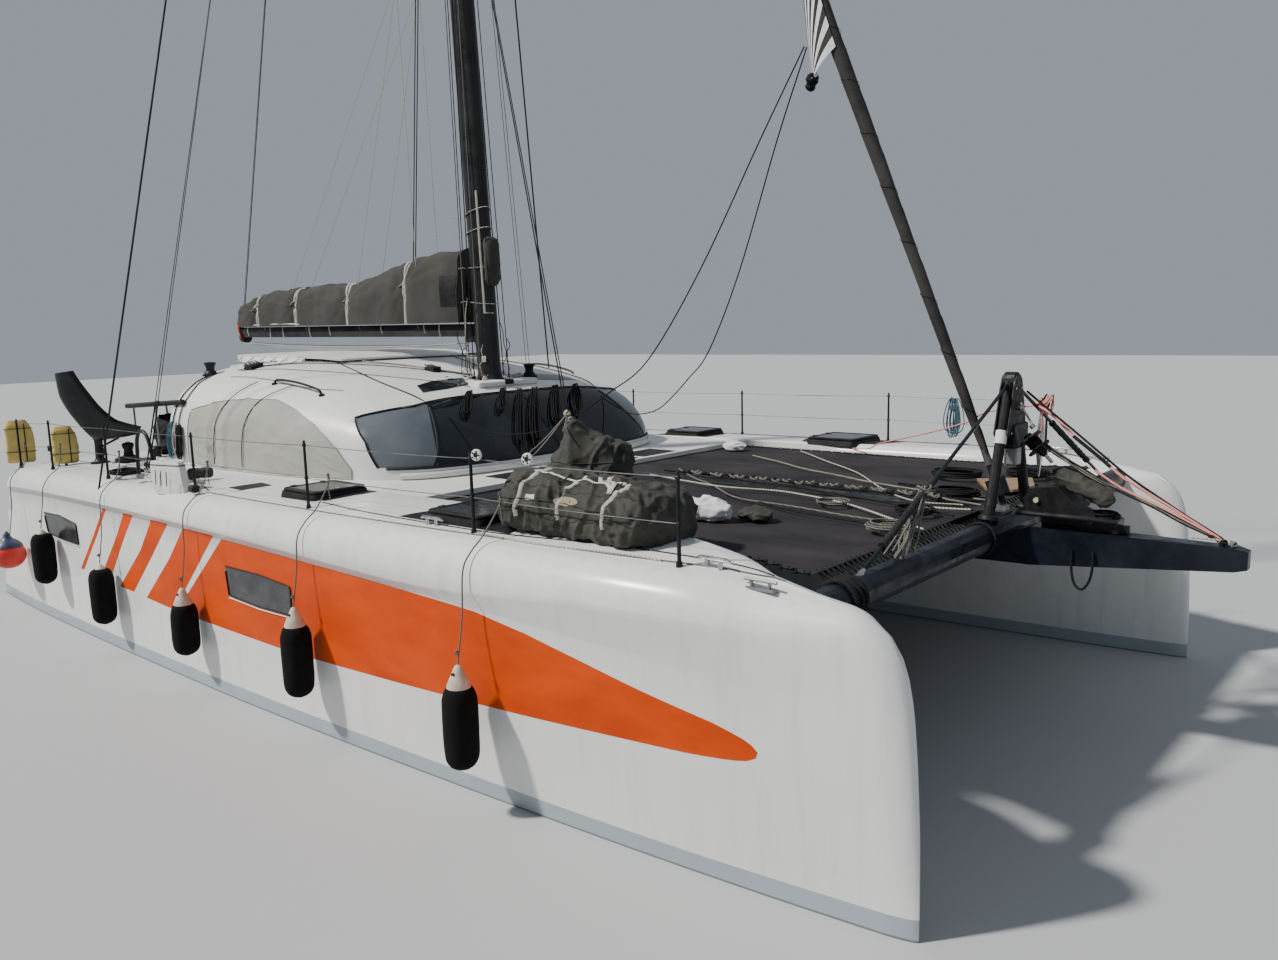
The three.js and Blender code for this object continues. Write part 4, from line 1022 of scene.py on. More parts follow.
screen = Shape()
thin = roof_shell(0.012, 0.020)
for mark, outline in ((0, [(-0.6, -0.925), (1.4, -2.074), (1.4, -3), (-0.6, -3)][::-1]),
                      (1, [(-0.6, -0.925), (-0.6, 0.925), (1.4, 2.074), (1.4, -2.074)][::-1]),
                      (0, [(-0.6, 0.925), (1.4, 2.074), (1.4, 3), (-0.6, 3)])):
    screen.coloured(mark).add(*meet(thin, screen_prism, xy_prism(outline)))
screen.piece("windscreen_panes", pane_grey, glass, replaces=("windscreen",), slot="glass", smooth=40)

trim = Shape()
sill = [before_roof(y, 2.105, -0.002) for y in [-2.02 + 4.04 * k / 60 for k in range(61)]]
head = [over_roof(0.080, -1.50 + 3.00 * k / 40, -0.002) for k in range(41)]
side = [beside_roof(*along_line([(0.21, 2.115), (0.07, 2.38), (-0.20, 2.62), (0.075, 2.705)], k / 16), -0.002)
        for k in range(17)]
trim.tube(sill, 0.016, 6).tube(head, 0.009, 6)
for line in (side, [Vector((p.x, -p.y, p.z)) for p in side]):
    trim.tube(line, 0.010, 6)


def bar(y_top, y_foot):
    line = []
    for k in range(13):
        t = k / 12
        z = 2.69 - 0.575 * t
        line.append(before_roof(y_top + (y_foot - y_top) * t, z, -0.010))
    return line


for y_top, y_foot in ((-1.33, -1.66), (1.33, 1.66), (0, 0)):
    trim.tube(bar(y_top, y_foot), 0.020, 6, flat=0.5)
trim.piece("windscreen_trim", black_plastic, slot="black", smooth=50)

# A white locker front that shows behind the glass, and a pale grey band on the pane over it
seen = Shape()


def behind(corners, proud=-0.0105, steps=8):
    (a, b, c, d) = corners
    rows = []
    for j in range(steps + 1):
        t = j / steps
        left = [a[k] + (d[k] - a[k]) * t for k in (0, 1)]
        right = [b[k] + (c[k] - b[k]) * t for k in (0, 1)]
        rows.append([before_roof(left[0] + (right[0] - left[0]) * i / steps,
                                 left[1] + (right[1] - left[1]) * i / steps, proud)
                     for i in range(steps + 1)])
    return rows


for mark, corners in ((0, [(-0.80, 2.44), (-0.60, 2.45), (-0.66, 2.15), (-0.93, 2.13)]),
                      (1, [(-1.20, 2.60), (-0.32, 2.63), (-0.35, 2.54), (-1.24, 2.51)])):
    seen.coloured(mark).loft(behind(corners), caps=False, around=False)
seen.piece("locker_and_band_on_glass", white_plastic, pane_grey, slot="glass")

gutter = Shape()
gutter.tube([p + Vector((0.035, 0, -0.075)) for p in sill[1:-1]], 0.020, 8, flat=1.6)
gutter.piece("windscreen_gutter", white_plastic, slot="gelcoat", smooth=60)
print("windscreen panes", len(screen.faces), "faces")

# %% [markdown]
# A canvas cover is buttoned over each big side window. Flat cloth on a doubly curved moulding always
# wrinkles a little. The patch is shot onto the roof like the film on the hull, but on a
# fine grid, and pushed out along the roof's normal by slow noise, most of all along its upper edge.

# %% The side covers
COVER_TOP = [(-3.00, 2.62), (-2.37, 2.735), (-1.90, 2.765), (-1.40, 2.765), (-1.01, 2.675), (-0.65, 2.55),
             (-0.42, 2.43), (-0.24, 2.31), (-0.055, 2.10)]
COVER_LOW = [(-3.00, 2.005), (-2.4, 2.005), (-1.7, 2.005), (-1.0, 2.005), (-0.055, 2.005)]
cover = Shape()
COLUMNS, ROWS = 96, 26
rings = []
for j in range(ROWS + 1):
    line = []
    for i in range(COLUMNS + 1):
        a, b = along_line(COVER_TOP, i / COLUMNS), along_line(COVER_LOW, i / COLUMNS)
        s = j / ROWS
        x, z = a[0] + (b[0] - a[0]) * s, a[1] + (b[1] - a[1]) * s
        lift = 0.5 + 0.5 * noise.noise(Vector((x * 2.1 + z * 1.2, 3, z * 3.5)))
        pull = 1 - abs(noise.noise(Vector((x * 3.2 + s * 1.9, 1.0, s * 1.4)))) * 2.4
        slack = 1 - abs(noise.noise(Vector((x * 1.6 - s * 3.4, 6.0, s * 2.4)))) * 2.6
        edge = min(1, 12 * i / COLUMNS, 12 * (1 - i / COLUMNS))
        line.append(beside_roof(x, z,
                                0.005 + edge * (0.007 * lift + 0.010 * max(0, pull) ** 3 * (1 - s)
                                                + 0.013 * max(0, slack) ** 4)))
    rings.append(line)
cover.loft(rings, caps=False, around=False)
cover_edge = rings[0] + [r[-1] for r in rings[1:]] + rings[-1][::-1][1:] + [r[0] for r in rings[::-1][1:-1]]
hem = Shape().tube([p + Vector((0, -0.002, 0)) for p in cover_edge], 0.007, 5, flat=0.5)
covers = both_sides(cover, "window_canvas", canvas, replaces="window_cover", slot="canvas", smooth=80)
hems = both_sides(hem, "canvas_hem", canvas, slot="canvas", smooth=80)
cover_area = sum(p.area for p in covers[0].data.polygons)
print("canvas area", round(cover_area, 2))
for side, edging in zip(covers, hems):
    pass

straps = Shape()
for points in ([(-2.05, 2.93), (-2.19, 2.78), (-2.31, 2.55), (-2.34, 2.30), (-2.36, 2.03)],
               [(-1.42, 2.90), (-1.64, 2.76), (-1.73, 2.55), (-1.76, 2.30), (-1.78, 2.03)]):
    straps.tube([beside_roof(p.x, p.z, 0.022) for p in smooth_path([(x, 0, z) for x, z in points], 6)],
                0.0055, 6)
both_sides(straps, "cover_lines", black_rope, slot="black", smooth=70)

# %% [markdown]
# ## The mast
#
# The mast is a carbon tube, oval in section, that leans back a little and thins towards its head. A
# loft of ovals gives it, with a sail track as a thin rail up its back edge. Swept spreaders hold the
# shrouds out. Webbing straps tie the cover's front round it, and a pouch hangs on its fore side.

# %% Mast, spreaders, track and collar
MAST_X, MAST_FOOT, MAST_TOP, RAKE = -0.390, 2.850, 20.000, 0.0419


def mast_x(z):
    return MAST_X - RAKE * (z - MAST_FOOT)


FORE_AFT = straight([2.6, 9, 15, 20], [0.170, 0.170, 0.148, 0.092])
ATHWART = straight([2.6, 9, 15, 20], [0.115, 0.115, 0.102, 0.068])


def mast_ring(z, grow=0.0, count=28):
    ring = []
    for k in range(count):
        a = 2 * math.pi * k / count
        ring.append((mast_x(z) + (FORE_AFT(z) + grow) * math.cos(a) * (1 if math.cos(a) > 0 else 0.94),
                     (ATHWART(z) + grow) * math.sin(a), z))
    return ring


MAST_Z = [2.866, 2.87, 3.4, 4.2, 6, 9, 12, 15, 17.5, 19, 19.96, 19.985, 20.0]
mast = Shape().coloured(0).loft([mast_ring(z, 0 if z < 19.97 else -0.012) for z in MAST_Z])
mast.coloured(1)
mast.tube([(mast_x(z) - FORE_AFT(z) * 0.94 - 0.004, 0, z) for z in (3.3, 9, 15, 19.9)], 0.014, 6)
mast.loft([mast_ring(z, g) for z,
           g in ((2.853, 0.045), (2.875, 0.045), (2.885, 0.030), (2.93, 0.012), (2.95, 0.002))])
SPREADER_Z = 10.54
for side in (-1, 1):
    root = Vector((mast_x(SPREADER_Z), side * 0.09, SPREADER_Z))
    tip = Vector((-1.950, side * 1.905, SPREADER_Z))
    mast.coloured(0).tube([root.lerp(tip, t) for t in (0, 0.5, 0.97, 1.0)],
                          [0.075, 0.062, 0.045, 0.030], 14, flat=0.32)
for z, size in ((18.9, 0.03), (SPREADER_Z, 0.04)):
    mast.coloured(2).tube([(mast_x(z), -ATHWART(z) - 0.02, z), (mast_x(z), ATHWART(z) + 0.02, z)], size, 10)
mast.piece("mast_tube", carbon, black_plastic, steel, replaces=("mast",), slot="carbon")
print("mast head at", round(mast_x(MAST_TOP), 3))

# %% [markdown]
# Four straps of pale webbing draw the cover's front round the mast, and an upright one ties them together.
# A strap is a flattened tube that follows the mast's own oval.

# %% Straps, pouch and white plate on the mast
bands = Shape()
for z, tilt in ((4.84, 0.05), (4.62, 0.04), (4.20, 0.0), (3.79, -0.015)):
    ring = []
    for k in range(25):
        a = 2 * math.pi * k / 24
        grow = 0.006 + 0.004 * noise.noise(Vector((a * 2, z, 0)))
        ring.append(Vector((mast_x(z) + (FORE_AFT(z) + grow) * math.cos(a), (ATHWART(z) + grow) * math.sin(a),
                            z + tilt * math.cos(a))))
    bands.coloured(0).tube(ring, 0.013, 6, flat=0.25)
    for s in (-1, 1):
        end = Vector((mast_x(z) - 0.18, s * 0.10, z - tilt))
        bands.tube([end, end + Vector((-0.06, s * 0.012, 0.012)), end + Vector((-0.105, s * 0.016, -0.005))],
                   0.012, 6, flat=0.3)
upright = [Vector((mast_x(z) + FORE_AFT(z) * 0.62 + 0.008, -ATHWART(z) * 0.80 - 0.008, z)) for z in
           [3.67 + 0.1 * k for k in range(15)]]
bands.tube(upright, 0.013, 6, flat=0.3)
bands.tube([upright[0], upright[0] + Vector((0.10, 0.045, 0.0))], 0.011, 6, flat=0.3)
pouch = []
for z, bulge in ((3.98, 0.2), (4.00, 0.55), (4.06, 0.85), (4.14, 0.8), (4.22, 1.0), (4.34, 0.85),
                 (4.46, 0.95), (4.52, 0.7),
                 (4.545, 0.3)):
    pouch.append([(mast_x(z) + FORE_AFT(z) + 0.02 + 0.085 * bulge * math.cos(a) + 0.008 * math.sin(9 * z),
                   0.105 * min(1, bulge + 0.15) * math.sin(a), z)
                  for a in (2 * math.pi * k / 20 for k in range(20))])
bands.coloured(1).loft(pouch)
bands.coloured(2).block((mast_x(3.14) + 0.03, -0.128, 3.10), (mast_x(3.14) + 0.10, -0.119, 3.17), 0.002)
bands.piece("mast_straps", webbing, bag_cloth, white_plastic, slot="canvas", smooth=50)
print("strap faces", len(bands.faces))

# %% [markdown]
# ## Boom, stowed mainsail and its cover
#
# The mainsail is flaked on the boom under a long cover, high and slack near the mast and thin towards
# the end. Pairs of pale webbing draw it in. The cloth shows three things at once: a slack
# belly between the ties, folds that fan out from every tie, and small creases. The skin is a loft along
# the boom whose rings follow the measured profile, and three rules move its points.

# %% The sail cover
BOOM_START, BOOM_LENGTH, BOOM_FOOT_Z, BOOM_RISE = -0.690, 5.41, 3.400, 0.040


def boom_z(x):
    return BOOM_FOOT_Z + BOOM_RISE * (BOOM_START - x) / BOOM_LENGTH


COVER_X = [-6.04, -5.45, -4.27, -3.01, -1.73, -1.10, -0.72]
COVER_TALL = curve_through(COVER_X, [0.32, 0.445, 0.545, 0.565, 0.785, 0.855, 0.875])
COVER_WIDE = curve_through(COVER_X, [0.115, 0.165, 0.205, 0.235, 0.238, 0.225, 0.155])
TIES = [-1.73, -3.00, -4.30, -5.42]


def cover_point(x, a):
    """a runs from the starboard foot, over the top, to the port foot: 0 to 1."""
    near = min(abs(x - t) for t in TIES)
    pinch = math.exp(-(near / 0.10) ** 2)
    across = math.cos(math.pi * a)
    up = math.sin(math.pi * a)
    tall, wide = COVER_TALL(x), COVER_WIDE(x)
    belly = 1 + 0.10 * math.sin(math.pi * min(1, near / 0.55)) * (1 - up ** 2)
    out = wide * math.copysign(abs(across) ** 0.62, across) * belly * (1 - 0.17 * pinch)
    high = tall * (0.02 + 0.98 * up ** 0.75) * (1 - 0.05 * pinch * up)
    side = -1 if across > 0 else 1
    fan = 0
    for t in TIES:
        away = x - t
        if abs(away) < 0.75:
            turn = math.atan2(0.45 - up, away)
            fan += 0.020 * math.exp(-abs(away) / 0.30) * math.sin(13 * turn + t)
    front = math.exp(-((x + 0.72) / 0.55) ** 2)
    fan += 0.016 * front * math.sin(26 * a + 9 * (x + 0.7))
    crease = 0.022 * noise.noise(Vector((x * 2.3, a * 3.2, side * 4.0)))
    crease += 0.010 * noise.noise(Vector((x * 7, a * 9, side * 9.0)))
    crease += 0.012 * (1 - abs(2 * noise.noise(Vector((x * 1.6 + a * 2.2, a * 4.5 - x, side * 2.0)))))
    push = (fan + crease) * min(1, 4 * min(a, 1 - a) + 0.25)
    z = boom_z(x) + 0.150 + high
    y = -out
    length = math.hypot(across, up * 0.8) or 1
    return Vector((x, y - across / length * push, z + up / length * push * 0.8))


cover_x = [-6.03 + 5.30 * k / 150 for k in range(151)]
skin = Shape()
skin.coloured(0).loft([[cover_point(x, k / 44) for k in range(45)] for x in cover_x],
                      caps=False, around=False)
for x, steps in ((cover_x[-1], ((0.5, 0.010), (0.02, 0.012))),
                 (cover_x[0], ((0.55, -0.012), (0.02, -0.016)))):
    rim = [cover_point(x, k / 44) for k in range(45)]
    centre = sum(rim, Vector()) / 45
    inner = [[centre.lerp(p, share) + Vector((ahead, 0, 0)) for p in rim] for share, ahead in steps]
    skin.loft([rim, *inner], caps=False, around=False)
cover_skin = skin.piece("sail_cover", cover_cloth, body="boom", replaces=("mainsail_cover",),
                        slot="cover", smooth=80)
cover_area = sum(p.area for p in cover_skin.data.polygons)
print("sail cover area", round(cover_area, 2))

# %% [markdown]
# The ties are pairs of webbing that come up over the cover, meet in a knot on the side, and end in
# short tails under the boom. A length of the pale sail peeps out below the cover near the boom's end.

# %% Webbing round the cover, tails and patch
ties = Shape()
for t in TIES:
    for shift in (-0.045, 0.045):
        for side in (0, 1):
            line = []
            for k in range(21):
                a = 0.5 * k / 20
                lean = 0.16 * (0.5 - a) * (1 if shift > 0 else 0.75)
                p = cover_point(t + shift * (0.35 + 0.9 * abs(a - 0.2)) + lean, a if side == 0 else 1 - a)
                away = Vector((0, p.y, p.z - boom_z(t) - 0.35)).normalized()
                line.append(p + away * 0.007)
            ties.coloured(0).tube(line, 0.013, 6, flat=0.25)
    for side in (-1, 1):
        spot = cover_point(t + 0.03, 0.20 if side < 0 else 0.80) + Vector((0, side * 0.012, 0))
        knot(ties, spot, 0.020)
        ties.tube(smooth_path([spot, spot + Vector((-0.07, side * 0.02, -0.03)),
                               spot + Vector((-0.13, side * 0.012, -0.065))], 4),
                  0.011, 6, flat=0.4)
        low = Vector((t + 0.13, side * 0.10, boom_z(t) + 0.14))
        ties.tube(smooth_path([low, low + Vector((0.05, 0, -0.06)),
                               low + Vector((0.16, -side * 0.02, -0.13))], 5), 0.008, 6, flat=0.4)
for x, drop in ((-2.35, 0.10), (-3.55, 0.12), (-4.05, 0.14), (-4.75, 0.17), (-5.10, 0.24), (-5.75, 0.12),
                (-1.15, 0.17), (-1.45, 0.10)):
    low = Vector((x, -0.115, boom_z(x) + 0.145))
    ties.tube(smooth_path([low, low + Vector((0.01, -0.012, -0.4 * drop)),
                           low + Vector((0.03, -0.006, -drop))], 5), 0.007, 6, flat=0.4)
ties.coloured(0).tube(smooth_path([(-5.85, -0.10, boom_z(-5.8) + 0.17), (-5.2, -0.155, boom_z(-5.2) + 0.185),
                                   (-4.5, -0.19, boom_z(-4.5) + 0.19), (-3.9, -0.205, boom_z(-3.9) + 0.17)],
                                  8), 0.030, 8, flat=0.4)
ties.coloured(1)
dark = [[cover_point(x, a) + Vector((0, -0.006, 0)) for x in (-0.98, -0.93, -0.87, -0.80, -0.745)]
        for a in (0.045, 0.08, 0.12, 0.16, 0.19)]
ties.loft(dark, caps=False, around=False)
ties.piece("cover_ties", webbing, black_plastic, body="boom", slot="canvas", smooth=60)
print("ties on the cover", len(TIES), "pairs")

# %% [markdown]
# The boom's end carries a collar with three sheaves, the bundled outhaul and a red strop. Three reef
# lines hang a little slack under the boom.

# %% Boom gear: end fittings, outhaul and reef lines
boom_gear = Shape()
boom_gear.coloured(0).tube([(x, 0, boom_z(x)) for x in (-6.095, -6.09, -6.0, -5.99)],
                           [0.05, 0.085, 0.085, 0.05], 14)
for y in (-0.055, 0, 0.055):
    sheave = Vector((-6.07, y, boom_z(-6.07) + 0.09))
    boom_gear.coloured(1).tube([sheave - Vector((0, 0.012, 0)), sheave + Vector((0, 0.012, 0))], 0.032, 14)
boom_gear.coloured(2).tube(sagging((-6.05, -0.10, boom_z(-6) + 0.24), (-6.02, -0.09, boom_z(-6) - 0.02),
                                   0, 4), 0.016, 6)
boom_gear.tube([(-6.03, -0.105, boom_z(-6) + 0.21), (-6.04, -0.10, boom_z(-6) + 0.08)], 0.022, 8)
boom_gear.coloured(3)
for k in range(4):
    boom_gear.tube(sagging((-6.05 + 0.012 * k, -0.115 + 0.01 * k, boom_z(-6) + 0.23),
                           (-5.93, -0.10, boom_z(-6) - 0.02), 0.004 * k, 5), 0.006, 6)
for y, sag in ((-0.095, 0.05), (0.095, 0.04), (-0.085, 0.085)):
    boom_gear.coloured(4).tube(sagging((-5.95, y, boom_z(-6) - 0.085), (-0.85, y, boom_z(-1) - 0.085),
                                       sag, 16), 0.006, 6)
boom_gear.piece("boom_fittings", black_plastic, steel, red_plastic, black_rope, pale_rope,
                body="boom", slot="black")
finish_node(carbon, "boom", "gooseneck")
print("the boom's end is at height", round(boom_z(-6.1), 3))

# %% [markdown]
# ## The rolled headsail
#
# A furled sail is a long strip wound round its stay. Its surface is a shallow spiral: every turn laps over
# the one below, and the sun cover's seams climb round it. The radius table is the measured one. A saw
# tooth along the height and the angle makes the laps. The clew, with its striped corner, stands out
# at the end of the last turn, where the two sheets are knotted.

# %% The roll on the forestay
STAY_FOOT, STAY_HEAD = Vector((5.842, 0, 1.980)), Vector((-1.0629, 0, 18.910))
ROLL = straight([2.33, 2.8, 4.3, 5.5, 7.0, 12.0, 17.2, 18.3],
                [0.030, 0.046, 0.056, 0.066, 0.078, 0.072, 0.046, 0.020])
ALONG_STAY = (STAY_HEAD - STAY_FOOT).normalized()
STAY_SIDE = Vector((0, 1, 0))
STAY_OUT = ALONG_STAY.cross(STAY_SIDE)


def stay_point(z):
    return STAY_FOOT.lerp(STAY_HEAD, (z - STAY_FOOT.z) / (STAY_HEAD.z - STAY_FOOT.z))


roll = Shape()
rings = []
LEVELS = 420
for i in range(LEVELS + 1):
    z = 2.33 + (18.30 - 2.33) * i / LEVELS
    ring = []
    for k in range(26):
        a = 2 * math.pi * k / 26
        turn = (z / 0.46 + a / (2 * math.pi)) % 1.0
        lap = 0.0045 * turn - 0.0022
        soft = 0.004 * noise.noise(Vector((a * 1.2, z * 1.1, 0)))
        r = max(0.012, ROLL(z) + lap + soft - 0.004)
        ring.append(stay_point(z) + r * (math.cos(a) * STAY_OUT + math.sin(a) * STAY_SIDE))
    rings.append(ring)
roll.coloured(0).loft(rings)
roll.coloured(1).tube([stay_point(z) for z in (1.99, 2.36)], 0.006,
                      8).tube([stay_point(z) for z in (18.28, 18.90)], 0.006, 8)
roll.tube([stay_point(z) for z in (2.30, 2.42)], [0.033, 0.030], 12)
for k in range(34):
    z = 2.6 + 0.46 * k
    seam = []
    for j in range(15):
        a = 2 * math.pi * j / 14
        zz = z + 0.20 * j / 14
        seam.append(stay_point(zz) + (ROLL(zz) + 0.002) * (math.cos(a) * STAY_OUT + math.sin(a) * STAY_SIDE))
    roll.coloured(2).tube(seam, 0.0032, 4, flat=0.5)
roll.piece("headsail_roll", strut_cloth, wire_finish, carbon, replaces=("furled_headsail",),
           slot="cover", smooth=50)
print("roll rings", len(rings))

# %% [markdown]
# The sail's corner is a fan of narrow cloths between the knot and the roll, dark and pale by turns.

# %% The clew with its radial stripes and the sheets' knots
CLEW = Vector((3.97, 0.0, 5.88))
clew = Shape()
knot_at = stay_point(5.62) + Vector((-0.30, -0.03, -0.05))
corner = []
for k in range(13):
    t = k / 12
    z = 5.78 + 1.05 * t
    corner.append(stay_point(z) + Vector((0, -1, 0)) * (ROLL(z) + 0.006) * math.cos(1.1 * t)
                  + STAY_OUT * -(ROLL(z) + 0.004) * (0.25 + 0.6 * t))
for k in range(12):
    a, b = corner[k], corner[k + 1]
    clew.coloured(k % 2)
    steps = []
    for s in range(7):
        u = s / 6
        bulge = Vector((0, -0.035, 0)) * math.sin(math.pi * u)
        steps.append([knot_at.lerp(a, u) + bulge, knot_at.lerp(b, u) + bulge])
    clew.loft(steps, caps=False, around=False)
clew.coloured(2)
knot(clew, knot_at, 0.042)
knot(clew, knot_at + Vector((-0.03, 0.02, -0.05)), 0.034)
clew.coloured(3).ball(knot_at + Vector((0.03, -0.01, 0.03)), 0.026, (1, 0.4, 1))
clew.piece("headsail_clew", white_cloth, strut_cloth, black_rope, steel, slot="canvas", smooth=60)
print("stripes in the clew", len(corner) - 1)

# %% [markdown]
# ## Guard rails
#
# Thin black posts stand in sockets on the deck edge, with two wires through them. The frame's posts are
# right in place but plain. New ones get a foot plate, a taper, a cap and ferrules for the wire, and the
# wires sag by a centimetre, as tight wires do.

# %% Posts and wires
POST_H, WIRE_UP = 0.620, (0.300, 0.590)
POST_Z = {x: EDGE_Z(x) for x, _ in POSTS}
rail = Shape()
for x, y in POSTS:
    z = POST_Z[x]
    rail.coloured(0).lathe((x, -y, z - 0.012), (0, 0, 1),
                           [(0, 0.034), (0.010, 0.034), (0.014, 0.024), (0.060, 0.020), (0.064, 0.0135),
                                                          (0.40, 0.0125), (POST_H + 0.004, 0.0115),
                            (POST_H + 0.012, 0.007)], 14)
    for up in WIRE_UP:
        rail.tube([(x - 0.012, -y, z + up - 0.012), (x + 0.012, -y, z + up - 0.012)], 0.016, 10)
for up in WIRE_UP:
    for (xa, ya), (xb, yb) in zip(POSTS, POSTS[1:]):
        rail.coloured(1).tube(sagging((xa, -ya, POST_Z[xa] + up - 0.012), (xb, -yb, POST_Z[xb] + up - 0.012),
                                      0.010, 6), 0.0035, 6)
both_sides(rail, "guard_rail_fine", black_plastic, wire_finish, replaces="guard_rail",
           slot="steel", smooth=45)
print("posts on each side", len(POSTS))

# %% [markdown]
# ## Nets
#
# The trampolines are close-woven black nets laced to the hulls and the beams. Seen at a low angle the
# mesh closes up to a dark cloth, so it is made as one sheet that dips in the middle, with a
# sewn rim and a lacing line that zigzags over the gap to the hull.

# %% The two trampolines
NET_X0, NET_X1, NET_Z = 1.455, 5.685, 1.931
NET_OUT = straight([1.45, 5.20, 5.69], [2.478, 2.585, 2.735])


def net_point(x, u):
    """u runs from the spine, 0, to the hull, 1."""
    out = NET_OUT(x)
    y = 0.115 + (out - 0.115) * u
    t = (x - NET_X0) / (NET_X1 - NET_X0)
    dip = 0.0055 * math.sin(math.pi * t) * math.sin(math.pi * u)
    ripple = 0.0022 * noise.noise(Vector((x * 1.7, y * 2.4, 2))) + 0.0015 * math.sin(x * 9 + 3 * u)
    return Vector((x, -y, NET_Z + 0.002 - dip + ripple))


net = Shape().loft([[net_point(NET_X0 + (NET_X1 - NET_X0) * i / 90, j / 44) for j in range(45)]
                    for i in range(91)], caps=False, around=False)
mesh_cloth = Finish("trampoline_mesh", Specular_IOR_Level=0.15)
holes = mesh_cloth.maths("MULTIPLY", mesh_cloth.waves(26, "X"), mesh_cloth.waves(26, "Y"))
wear = mesh_cloth.span(mesh_cloth.noise(1.3, 6, mesh_cloth.stretched((1, 2, 1))), 0, 1)
tone = mesh_cloth.mix(wear, (0.022, 0.020, 0.023), (0.046, 0.042, 0.045))
mesh_cloth.colour(mesh_cloth.mix(mesh_cloth.span(holes, 0, 0.65, 0.3, 0.8), tone, (0.004, 0.004, 0.005)))
mesh_cloth.gloss(mesh_cloth.span(wear, 0.75, 0.9, 0, 1))
mesh_cloth.bump(holes, 0.5, 0.002)
nets = both_sides(net, "trampoline_net", mesh_cloth, replaces="trampoline", slot="net", smooth=80)
for one in nets:
    wide = one.dimensions

lacing = Shape()
rim = [net_point(NET_X0 + (NET_X1 - NET_X0) * i / 60, 0.992) + Vector((0, 0, 0.004)) for i in range(61)]
front = [net_point(NET_X1 - 0.012, 1 - j / 30) + Vector((0, 0, 0.004)) for j in range(31)]
inner = [net_point(NET_X1 - (NET_X1 - NET_X0) * i / 60, 0.006) + Vector((0, 0, 0.004)) for i in range(61)]
back = [net_point(NET_X0 + 0.012, j / 30) + Vector((0, 0, 0.004)) for j in range(31)]
lacing.coloured(0).tube(rim + front[1:] + inner[1:] + back[1:], 0.014, 6, flat=0.45)
zig = []
for k in range(58):
    x = 1.56 + 4.05 * k / 57
    lap = Vector((x, -NET_OUT(x) + 0.03, NET_Z + 0.012))
    hull_side = Vector((x + 0.035, -min(NET_OUT(x) + 0.055, 2.60 if x < 5.1 else 9),
                        NET_Z + 0.004 + 0.012 * (k % 2)))
    zig += [lap, hull_side]
lacing.coloured(1).tube(zig, 0.0045, 5)
zig = []
for k in range(40):
    y = 0.16 + 2.46 * k / 39
    zig += [Vector((5.655, -y, NET_Z + 0.012)), Vector((5.765, -y - 0.03, 1.858))]
lacing.tube(zig, 0.0045, 5)
for k in range(30):
    x = 1.62 + 4.0 * k / 29
    lacing.coloured(2).block((x - 0.045, -NET_OUT(x) - 0.012, NET_Z + 0.003),
                             (x + 0.045, -NET_OUT(x) + 0.010, NET_Z + 0.016), 0.003)
both_sides(lacing, "net_lacing", dark_webbing, black_rope, black_plastic, slot="net", smooth=50)

# %% [markdown]
# ## Hatches, panels and small deck fittings
#
# The hatch lids are smoked panes in dark frames. They swing on the frame's own hinges, so each new lid
# rides on its hatch body. Under the lids, the coamings and the dark non-slip panels lie on the deck,
# which is shot from above like the roof was.

# %% Hatch lids
HATCHES = [("midship", 0.480, 2.860, 0.280, 2.042), ("forward", 2.760, 2.870, 0.320, 2.072)]


def rounded_square(cx, cy, half, r, z, count=6):
    ring = []
    for qx, qy, start in ((1, 1, 0), (-1, 1, 90), (-1, -1, 180), (1, -1, 270)):
        for k in range(count + 1):
            a = math.radians(start + 90 * k / count)
            ring.append((cx + qx * (half - r) + r * math.cos(a), cy + qy * (half - r) + r * math.sin(a), z))
    return ring


for name, x, y, half, z in HATCHES:
    lid = Shape()
    lid.coloured(0).loft([rounded_square(x, -y, half - 0.004, 0.05, z + 0.001),
                          rounded_square(x, -y, half, 0.055, z + 0.006),
                          rounded_square(x, -y, half, 0.055, z + 0.019),
                          rounded_square(x, -y, half - 0.008, 0.05, z + 0.0255),
                          rounded_square(x, -y, half - 0.045, 0.03, z + 0.0255)], caps=False)
    lid.coloured(1).loft([rounded_square(x, -y, half - 0.048, 0.03, z + 0.004),
                          rounded_square(x, -y, half - 0.048, 0.03, z + 0.0225)])
    lid.coloured(0)
    for dy in (-0.16, 0.16):
        lid.block((x - half - 0.012, -y + dy - 0.03, z + 0.004),
                  (x - half + 0.05, -y + dy + 0.03, z + 0.030), 0.004)
    lid.coloured(2).block((x + half - 0.075, -y - 0.022, z + 0.020),
                          (x + half - 0.035, -y + 0.022, z + 0.030), 0.003)
    for side, one in (("starboard", lid), ("port", lid.mirrored())):
        one.piece(f"hatch_{name}_{side}", black_plastic, port_glass, steel, body=f"hatch_lid_{name}_{side}",
                  replaces=(f"hatch_lid_{name}_{side}",), slot="glass")
print("hatch lids", 2 * len(HATCHES))

# %% [markdown]
# Everything that stands on the deck asks one function for the height under it. Outside the hull's inner
# edge that is the hull's own skin, and inside it the flat top of the bridge deck.

# %% Things laid on the deck
BRIDGE_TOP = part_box("bridge_deck")[1].z
HULL_INSIDE = 2.535


def on_deck(x, y, proud=0.003):
    hit = hull_tree.ray_cast(Vector((x, -abs(y), 4)), Vector((0, 0, -1)))[0]
    if hit is None or abs(y) < HULL_INSIDE:
        return Vector((x, -abs(y), BRIDGE_TOP + proud))
    return Vector((x, -abs(y), hit.z + proud))


